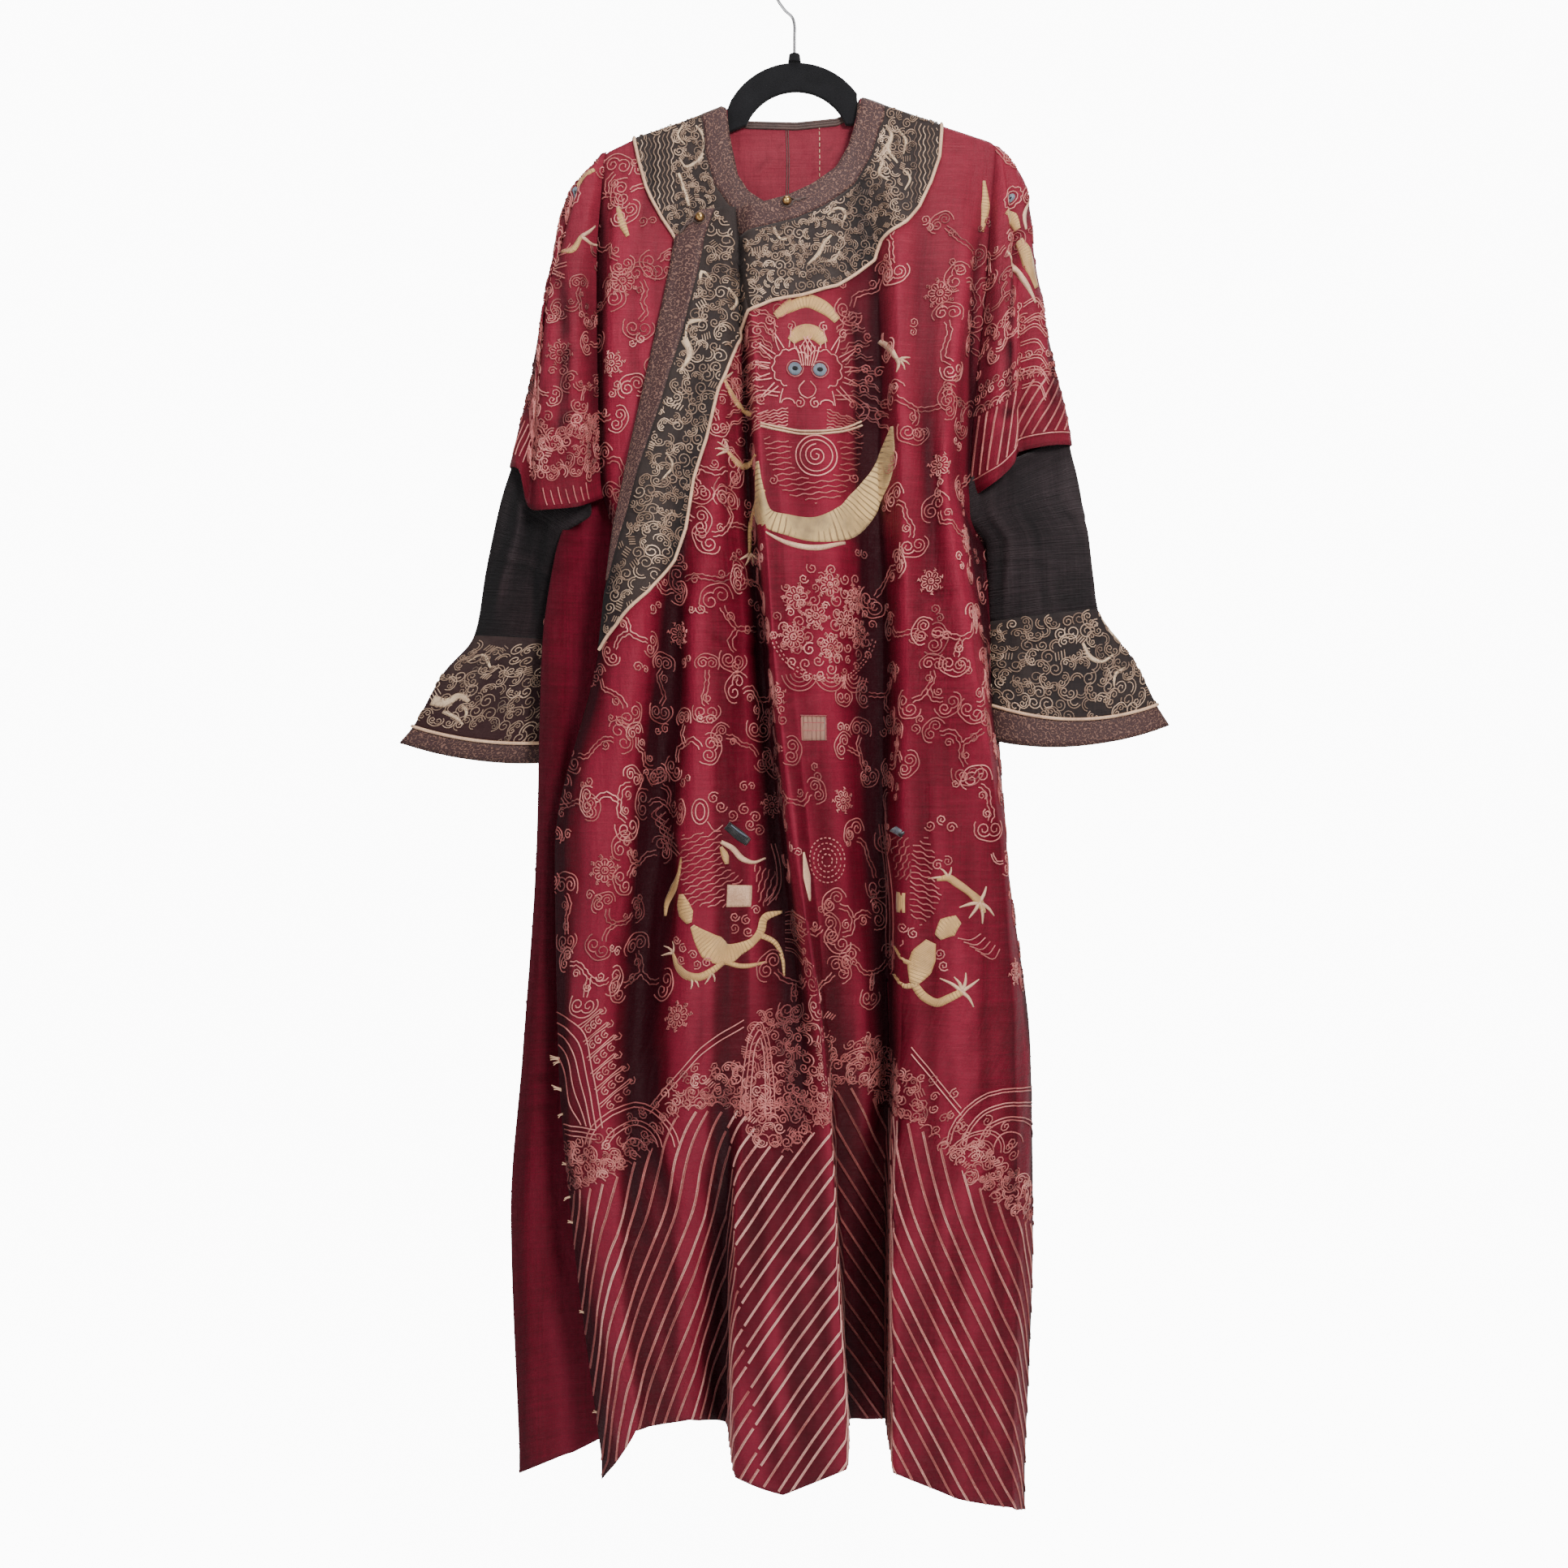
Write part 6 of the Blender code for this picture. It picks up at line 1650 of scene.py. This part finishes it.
# Outer front
front = Embroidery(outerCloth, 0.0, hide=(yokeShape, overlapShape))
frontShore = shore([(front.spot(x, z)[0], z) for x, z in (
    (-246, -1278), (-201, -1262), (-172, -1246), (-149, -1229), (-131, -1202), (-114, -1187), (-85, -1183),
    (-48, -1187), (-32, -1216), (-8, -1230), (24, -1203), (38, -1196), (50, -1165), (72, -1172), (94, -1193),
    (114, -1195), (130, -1201), (159, -1230), (177, -1252), (206, -1275), (240, -1306))])
faceDragon(front, 22, -482)
lowDragon(front, -76, -974)
lowDragonTwo(front, 141, -974)
chest, lowLeft, lowRight = front.spot(22, -482), front.spot(-76, -974), front.spot(141, -974)
roundSpot = front.spot(36, -688)
medallion(front, roundSpot)
block = front.spot(19, -795)
front.ribbon([(-13, 0), (13, 0)], (25, 24), "blush", block, False, 0.5)
front.draw([[(-13, 11), (-13, -12)], [(13, 11), (13, -12)], [(-14, 13), (14, 13)], [(-11, 6), (11, 6)],
    [(-11, -2), (11, -2)]], block, tone=0.2)
for r in (6, 11, 16, 21):
    front.draw(dotted(bow(0, 0, r, r * 1.1, 0, 360)), front.spot(33, -930), tone=0.7)
front.ribbon([(0, 24), (2, 0), (4, -26)], (3, 11, 3), "cream", front.spot(11, -945), False, 0.8)
front.ribbon([(198, -222), (200, -246), (197, -274)], (3, 9, 3), "pale", (0, 0), True, 0.8)
flowersAt = ((150, -345), (-194, -940), (176, -600), (-120, -1090))
for x, z in flowersAt:
    front.draw(flower(8, 0.85), front.spot(x, z), tone=0.4)
frontZones = [(chest[0] - 4, -482, 90, 138), (roundSpot[0], -690, 64, 60), (block[0], -797, 22, 22),
    (lowLeft[0], -974, 84, 98), (lowRight[0] + 4, -978, 70, 104), (front.spot(33, -930)[0], -935, 20, 32)]
frontZones += [(*front.spot(x, z), 18, 18) for x, z in flowersAt]
scatterClouds(front, (-430, 440, -1105, -285), frontZones, (66, 59))
shoreBand(front, -430, 430, frontShore, ((-70, 24, 0), (60, 22, 4), (110, 26, 0), (150, 20, 0), (285, 30, 0)))
for shape in (((-52, -1100), (-36, -1088), (38, -1092), (46, -1160), (36, -1196), (18, -1198), (-8, -1226),
        (-36, -1216), (-52, -1186)), ((-134, -1198), (-112, -1183), (-46, -1184), (-44, -1150), (-76, -1140),
        (-118, -1166)), ((50, -1162), (72, -1170), (94, -1191), (130, -1198), (132, -1170), (104, -1132),
        (62, -1118)), ((-246, -1274), (-201, -1258), (-150, -1226), (-152, -1212), (-205, -1224),
        (-246, -1228)), ((160, -1226), (178, -1250), (240, -1300), (244, -1262), (214, -1234), (174, -1208))):
    closeFilling(front, shape, 12.0, kind="gold")
front.draw(rock(-38, -1190, 36, 94, 2), byX=True, tone=0.7)
fernRock(front, (-197, -1204), (-226, -1098), -1)
front.draw([[(-241 + k, -1207 - 5 * k), (-203, -1206 - 5 * k)] for k in range(3)], byX=True, tone=0.9)
front.draw([bow(-167, -1230, r, r * 0.95, 8, 172) for r in (50, 45, 31, 26, 12)], byX=True, tone=0.6)
front.draw([bow(219, -1222, r, r * 0.9, 6, 174) for r in (66, 62.5, 50, 46.5, 34, 30.5, 17)], byX=True,
    tone=0.6)
for shift in (0, 7):
    front.draw([bend([(-150, -1186 - shift), (-118, -1146 - shift), (-92, -1118 - shift),
        (-52, -1094 - shift)]), bend([(119, -1120 - shift), (142, -1148 - shift), (168, -1180 - shift)])],
        byX=True, tone=0.8)
stripes(front, 440, 470, frontShore, -1610, (19.5, 25.0))

# Frayed ends along the free edge
frays = []
for z, reach, rise, count in ((-1138, 9, 3, 3), (-1141, 6, -2, 2), (-1170, 10, 4, 3), (-1196, 4, -2, 2),
        (-1249, 5, 2, 2), (-1283, 5, -2, 2), (-1310, 4, 2, 2), (-1405, 4, 2, 2), (-1511, 3, 2, 2)):
    start = outerCloth.tableX[int(outerCloth.tableRow(z)), 0] + 1.0
    edge = outerCloth.place(np.array([start]), np.array([float(z)]), 0.6, True)[0][0]
    for k in range(count):
        far = reach * dice.uniform(0.6, 1.1)
        frays.append(bend([edge + [1.5, 0, -1.2 * k], edge + [-far * 0.5, -0.8 - 0.6 * k,
            rise * 0.5 - 1.2 * k], edge + [-far, -1.4 - 0.6 * k, rise - 2.2 * k]]))
frontThreads = front.finish("outerFront")
threadPiece("outerFrontFrayed", frays, [0.5] * len(frays), 0.55, 4, creamCord)

# Under front: only its upper part and the strip beside the overlap show.
under = Embroidery(underCloth, 0.0, hide=(underShape,))
scatterClouds(under, (0, 112, -760, -235), [], (62, 58))
under.draw(flower(8, 0.85), under.spot(-178, -330), tone=0.4)
under.ribbon([(0, 18), (7, 2), (16, -14)], (4, 8, 4), "pale", under.spot(-186, -270), False)
underThreads = under.finish("underFront")

# Back: the same scheme, drawn again for its own folds.
rear = Embroidery(backCloth, 0.0, hide=(backShape,))
rearShore = shore(((-420, -1262), (-260, -1235), (-160, -1184), (-70, -1180), (0, -1225), (80, -1178),
    (170, -1190), (260, -1240), (420, -1268)))
faceDragon(rear, 0, -470, 1.12)
lowDragon(rear, -120, -960)
lowDragon(rear, 120, -960, True)
rearZones = [(*rear.spot(0, -470), 104, 156), (*rear.spot(-120, -960), 88, 104),
    (*rear.spot(120, -960), 88, 104), (*rear.spot(0, -720), 64, 60)]
medallion(rear, rear.spot(0, -720))
scatterClouds(rear, (-420, 430, -1105, -285), rearZones, (76, 68))
shoreBand(rear, -420, 430, rearShore, ((-320, 44, 6), (-230, 30, 0), (-165, 24, 0), (-90, 30, 0), (90, 30, 0),
    (165, 24, 0), (230, 30, 0), (320, 44, -6)))
for x, height in ((-270, 84), (-125, 72), (0, 110), (125, 72), (270, 84)):
    rear.draw(rock(0, 0, 44, height, 0), (x, rearShore(x) + 26), tone=0.6)
stripes(rear, 430, 440, rearShore, -1610, (26.0, 26.0))
rearThreads = rear.finish("back")

# Sleeves: clouds and a shoulder dragon above, waves and stripes at the opening.
for side in ("Right", "Left"):
    patch = sleeves[side]
    e = Embroidery(patch)
    broad, long = float(patch.across[-1, -1]), float(patch.length)
    if side == "Left":
        shapes = (([(219, -254), (227, -262), (231, -275)], (6, 12, 7), "pale"),
            ([(233, -284), (244, -302), (253, -332)], (9, 16, 8), "pale"),
            ([(222, -300), (236, -322), (250, -350)], (3, 6, 3), "cream"),
            ([(246, -240), (240, -256), (242, -272)], (3, 6, 3), "cream"))
        waves = ([(238, -352 - 14 * k), (252, -344 - 15 * k), (262, -352 - 16 * k)] for k in range(7))
        eyeAt = (226, -238)
    else:
        shapes = (([(-244, -300), (-232, -296), (-222, -284)], (3, 7, 4), "pale"),
            ([(-222, -284), (-214, -276), (-208, -268)], (4, 4, 2), "cream"),
            ([(-222, -284), (-212, -286), (-204, -288)], (4, 3.5, 2), "cream"),
            ([(-226, -226), (-218, -216), (-208, -212)], (4, 8, 4), "pale"))
        waves = ([(-262, -250 - 15 * k), (-250, -242 - 15 * k), (-238, -250 - 15 * k)] for k in range(6))
        eyeAt = (-228, -234)
    zones = []
    for points, widths, kind in shapes:
        line = np.array([patch.near(*point) for point in points])
        e.ribbon(line, widths, kind, (0, 0), False)
        zones.append((*line[1], 10, 12))
    for points in waves:
        line = bend([patch.near(*point) for point in points])
        e.draw([line, line - [0, 3.4]], tone=0.7)
    spot = patch.near(*eyeAt)
    e.disc(*spot, 5.0, "blue", 1.4, False)
    e.disc(*spot, 2.2, "ink", 3.0, False)
    e.draw([bow(*spot, 7.4, 7.4, 0, 360), lobed(*spot, 10.5, 2.6, 9, 0, 360)], tone=0.8)
    zones.append((*spot, 14, 14))
    scatterClouds(e, (0, broad, -long + (100 if side == "Left" else 30), -16), zones, (50, 47), (0.62, 0.8))
    for u in np.arange(6 if side == "Left" else 76, broad - 4, 11.0):
        e.draw([spiral(0, 0, 5.4, 1.3, dice.uniform(0, 360), 1.5)], (u, -long + 92 + 5 * math.sin(u / 19)))
        e.draw([spiral(0, 0, 5.0, 1.3, dice.uniform(0, 360), -1.5)], (u + 5, -long + 104))
        e.draw(arches(0, 0, 9, 3.2, 5, 175), (u + 6, -long + 77))
    if side == "Left":
        e.draw([[(3, -long + 14), (broad - 3, -long + 14)]], tone=0.9)
        for u in np.arange(4, broad + 60, 12.5):
            lean = 7.0 if u < broad * 0.2 else 32.0
            e.draw([[(u + offset, -long + 16), (u + offset + lean, -long + 76)] for offset in (0, 1.1)],
                kind="stripe", tone=0.5)
    else:
        outer = patch.near(-284, -500)[0]
        for k in range(4):
            e.draw([[(outer - 2 + 8 * k, -long + 14), (outer - 26 + 8 * k, -long + 54)]], tone=0.8)
        for k in range(7):
            e.draw([[(30 + 8 * k, -long + 4), (31 + 8 * k, -long + 22 - 3 * (k % 2))]], tone=0.5)
        closeFilling(e, [(2, -long + 26), (outer - 20, -long + 30), (outer - 26, -long + 84),
            (2, -long + 92)], 12.0, byX=False, kind="gold")
        for u in np.arange(outer + 28, broad + 60, 13.0):
            e.draw([[(u, -long + 16), (u + 30, -long + 70)]], kind="stripe", tone=0.3)
    e.finish("sleeve" + side)

# Collar and overlap: dark ground crowded with old gold, and a few pale strokes.
collarLift = trim["lift"] + trim["thick"]
collarInside = list(yokeLine[:-1]) + [(150, -160)] + [tuple(p) for p in (bandLine + [1.5, -1.5])[::-1]]
overlapInside = np.vstack([rightSide[1:] - [1.5, 0], (leftSide + [1.5, 0])[::-1]])
collar = Embroidery(outerCloth, collarLift, keep=(collarInside, overlapInside))
accent(collar, (([(93, -163), (101, -176), (97, -190), (107, -206)], (2, 4.5, 5, 2)),
    ([(108, -170), (116, -182), (113, -196)], (1.5, 4, 2)), ([(84, -196), (92, -204), (88, -216), (98, -226)],
    (1.5, 3.5, 3.5, 1.5)), ([(38, -283), (31, -291), (24, -305), (13, -315)], (2, 4.5, 5, 2)),
    ([(46, -299), (40, -309), (27, -312)], (1.5, 3, 1.5)), ([(-23, -264), (-21, -279), (-13, -290),
    (-4, -286)], (2, 3, 3, 2)), ([(34, -262), (44, -254), (52, -256), (50, -268)], (2, 3, 3, 1.5)),
    ([(-92, -372), (-112, -378), (-114, -392), (-108, -406), (-118, -428)], (2, 6, 8, 6, 2)),
    ([(-70, -338), (-62, -350), (-68, -360)], (2, 4, 2)), ([(-86, -330), (-96, -322), (-98, -336)],
    (2, 3.5, 2)), ([(-132, -512), (-126, -524), (-136, -540)], (1.5, 3, 1.5)),
    ([(112, -212), (120, -222), (114, -236)], (1.5, 3, 1.5)),
    ([(98, -182), (92, -194), (100, -204)], (1.5, 3, 1.5))))
shoulderWaves = [(122, -160), (150, -170), (150, -200), (140, -228), (126, -252), (112, -246), (124, -220)]
closeFilling(collar, yokeShape, 10.6, waves=(shoulderWaves,))
closeFilling(collar, overlapInside, 12.6)
collarThreads = collar.finish("collar")
underCollar = Embroidery(underCloth, collarLift, keep=(list(underYoke[:-1]) + [tuple(p)
    for p in underBand[::-1]],))
accent(underCollar, (([(-103, -166), (-94, -178), (-94, -192), (-104, -205), (-114, -209), (-120, -200)],
    (2, 5, 7, 5, 3, 2)), ([(-121, -216), (-115, -233), (-110, -250)], (3, 5, 4)),
    ([(-116, -166), (-122, -176), (-114, -186)], (1.5, 3, 1.5))))
leftWaves = [(-164, -182), (-124, -170), (-122, -216), (-126, -250), (-140, -262), (-154, -232), (-160, -208)]
closeFilling(underCollar, [(-168, -165), (-60, -130), (-100, -322), (-168, -240)], 9.4, waves=(leftWaves,))
underCollarThreads = underCollar.finish("collarUnder")
backCollar = Embroidery(backCloth, collarLift, keep=(list(backYoke) + [tuple(p) for p in backBand[::-1]],))
for x, z, way in ((-112, -206, -1), (-40, -228, 1), (48, -228, -1), (118, -200, 1)):
    accent(backCollar, (([(x - 12 * way, z + 8), (x, z + 12), (x + 8 * way, z), (x, z - 10)], (2, 5, 6, 2)),
        ([(x + 8 * way, z), (x + 16 * way, z + 4), (x + 20 * way, z + 12)], (4, 3, 1.5))))
closeFilling(backCollar, backShape, 10.4, waves=(shoulderWaves, leftWaves))
backCollarThreads = backCollar.finish("collarBack")

# Cuffs: larger crowded clouds over the same dark ground
for side in ("Right", "Left"):
    patch = arms["cuff" + side]
    e = Embroidery(patch)
    broad, long = float(patch.across.max()), float(patch.length)
    if side == "Right":
        shapes = (([(-384, -763), (-370, -766), (-356, -758), (-344, -763)], (12, 10, 7, 4)),
            ([(-372, -774), (-360, -784), (-350, -788)], (4, 4, 2)),
            ([(-352, -768), (-346, -776), (-350, -784)], (3, 3.5, 2)),
            ([(-346, -722), (-334, -716), (-322, -728)], (2, 3.5, 2)))
    else:
        shapes = (([(300, -706), (308, -720), (322, -722), (334, -716)], (3, 5, 4, 2)),
            ([(346, -728), (336, -736), (334, -750)], (2, 4, 2)),
            ([(322, -676), (330, -690), (342, -702)], (3, 5, 3)))
    for points, widths in shapes:
        accent(e, (([patch.near(*point) for point in points], widths),), False)
    wide = [(0, -2), (broad, -2), (broad, -long + 4), (0, -long + 4)]
    closeFilling(e, wide, 14.0, False)
    e.finish("cuff" + side) + named("cuffBinding" + side, "cuffPiping" + side)

# Neck lining: the back seam, a stitched line beside it, and the band turned over the edge
inside = -2.1
for name, x, kind, radius, dash in (("neckSeam", -9.0, darkCord, 0.45, 0),
        ("neckStitches", 26.0, creamCord, 0.5, 1)):
    path = np.stack([np.full(60, x) + 0.8 * np.sin(np.linspace(0, 5, 60)), np.linspace(-160, -300, 60)],
        axis=1)
    parts = dotted(path, 3.6, 2.4) if dash else [path, path + [2.2, 0]]
    laid = [backCloth.place(p[:, 0], p[:, 1], inside, True)[0] for p in parts]
    threadPiece(name, laid, [0.5] * len(laid), radius, 5, kind)
edge = alongPath([(-72, -144), *backNeck[2:6], (68, -142)], 70) - [0, 1.0]
rolled = [backCloth.place(edge[:, 0], edge[:, 1] - drop, inside - 0.4, True)[0] for drop in (0.0, 2.6, 5.2)]
threadPiece("neckEdge", rolled, [0.5] * 3, 1.5, 6, darkCord)
print("embroidery made")


def meshOf(shape, name):
    mesh = bpy.data.meshes.new(name)
    shape.to_mesh(mesh)
    shape.free()
    return mesh


# Buttons on their cord loops
gilt, tree, shader = newMaterial("gilt", 0.32, metallic=1.0)
tarnish = tree.noise(tree.solid(), 420.0, 4.0)
tree.dress(shader, tree.ramp(tarnish, ((0.35, (0.28, 0.16, 0.06)), (0.65, (0.72, 0.47, 0.2)))), tarnish,
    0.0006, 0.6)
button = {"radius": 4.6, "loop": 5.6}
for title, node, x, z, heading in (("throat", "button_throat", -8, -249, 10),
        ("lapel", "button_lapel", -98, -266, 200)):
    surface = outerCloth.place(np.array([float(x)]), np.array([float(z)]), 1.8, True)[0][0]
    centre = surface + [0, -button["radius"], 0]
    shape = bmesh.new()
    bmesh.ops.create_uvsphere(shape, u_segments=32, v_segments=18, radius=button["radius"] * mm)
    bmesh.ops.translate(shape, verts=shape.verts, vec=Vector(centre * mm))
    mesh = meshOf(shape, title + "Button")
    mesh.shade_smooth()
    putPiece(mesh.name, mesh, (gilt,), (node,))
    a, t = math.radians(heading), np.linspace(-2.7, 2.7, 26) + math.radians(heading) + math.pi
    loop = np.stack([x + button["loop"] * np.cos(t), z + button["loop"] * np.sin(t)], axis=1)
    tail = np.array([(x + math.cos(a) * d, z + math.sin(a) * d) for d in (8, 14, 20)])
    marks = np.vstack([tail[::-1] + [0, 1.0], loop, tail - [0, 1.0]])
    points = outerCloth.place(marks[:, 0], marks[:, 1], 3.0, True)[0]
    threadPiece(f"{title}Loop", [bend(points[::2])], [0.5], 1.0, 6, darkCord)

# Hanger, its knob and the wire hook
arch = {"centre": (1.7, -176.0), "radius": 79.0, "inner": (1.7, -183.0), "innerRadius": 56.0, "thick": 6.0,
    "below": 3.0, "height": 25.0, "ends": (-190.0, 195.0), "knob": 7.0, "knobHeight": 9.0, "hook": 19.0,
    "wire": 1.6}


def armEdge(ends, drop):
    x = np.linspace(*ends, 13)
    return [(v, straight(shoulder, v) - drop) for v in x]


def archLine(centre, radius, start, end, count):
    a = np.radians(np.linspace(start, end, count))
    return [(centre[0] + radius * math.cos(v), centre[1] + radius * math.sin(v)) for v in a]


low = arch["below"] + arch["height"]
left, right = arch["ends"]
outline = [(-70, -145), (-68.5, -141)] + archLine(arch["centre"], arch["radius"], 150, 36, 44)
outline += [(65.5, -133), (66, -139)] + armEdge((71, right), arch["below"])
outline += [(right + 3, -190), (right + 1, -200)] + armEdge((right - 3, 66), low)
outline += archLine(arch["inner"], arch["innerRadius"], 22, 158, 34)
outline += armEdge((-64, left + 3), low) + [(left - 1, -205), (left - 3, -196)]
outline += armEdge((left, -73), arch["below"])
shape = bmesh.new()
face = shape.faces.new([shape.verts.new((x * mm, -arch["thick"] / 2 * mm, z * mm)) for x, z in outline])
grown = bmesh.ops.extrude_face_region(shape, geom=[face])
bmesh.ops.translate(shape, verts=[v for v in grown["geom"] if isinstance(v, bmesh.types.BMVert)],
    vec=(0, arch["thick"] * mm, 0))
bmesh.ops.recalc_face_normals(shape, faces=shape.faces)
hangerItem = putPiece("flockedHanger", meshOf(shape, "flockedHanger"), (blackFlock,),
    ("hanger",))
rounded = hangerItem.modifiers.new("edges", "BEVEL")
rounded.width, rounded.segments, rounded.limit_method = 1.4 * mm, 4, "ANGLE"
rounded.angle_limit = math.radians(50)
crown = arch["centre"][1] + arch["radius"]
shape = bmesh.new()
bmesh.ops.create_cone(shape, cap_ends=True, segments=40, radius1=arch["knob"] * mm,
    radius2=arch["knob"] * 0.8 * mm, depth=arch["knobHeight"] * mm)
bmesh.ops.translate(shape, verts=shape.verts, vec=(0, 0, (crown + 0.3 + arch["knobHeight"] / 2) * mm))
knobItem = putPiece("hookKnob", meshOf(shape, "hookKnob"), (blackFlock,), ("hanger_knob",))
rounded = knobItem.modifiers.new("edges", "BEVEL")
rounded.width, rounded.segments = 0.9 * mm, 3
foot = crown + 0.6 + arch["knobHeight"]
reach = arch["hook"] + arch["wire"]
wire = [(0, foot), (0, foot + 18), (0, foot + 30), (-2, foot + 38), (-10, foot + 46)]
wire += archLine((0.0, -arch["hook"]), reach, 205, -25, 30)[1:]
wire = np.array([(x, 0.0, z) for x, z in bend(wire, 4)])
threadPiece("wireHook", [wire], [0.5], arch["wire"], 20, steel, ("hanger_hook",))
print("hanger made")


# The pale backdrop, curved up behind the robe
curve = [(2.3 + 0.9 * math.sin(a), -0.9 - 0.9 * math.cos(a)) for a in np.linspace(0, math.pi / 2, 9)]
profile = [(-4.0, -1.80), *curve, (3.2, 2.6)]
verts = [(x, y, z) for y, z in profile for x in (-4.0, 4.0)]
faces = [(2 * i, 2 * i + 1, 2 * i + 3, 2 * i + 2) for i in range(len(profile) - 1)]
mesh = bpy.data.meshes.new("backdrop")
mesh.from_pydata(verts, [], faces)
mesh.shade_smooth()
paper, tree, shader = newMaterial("paper", 0.9)
shader.inputs["Base Color"].default_value = (0.93, 0.93, 0.93, 1.0)
shader.inputs["Emission Color"].default_value = (1.0, 1.0, 1.0, 1.0)
seenRays = tree.node("ShaderNodeLightPath").outputs["Is Camera Ray"]
tree.feed(shader.inputs["Emission Strength"], tree.times(seenRays, 11.0))
backdrop = bpy.data.objects.new("backdrop", mesh)
backdrop.data.materials.append(paper)
bpy.context.scene.collection.objects.link(backdrop)
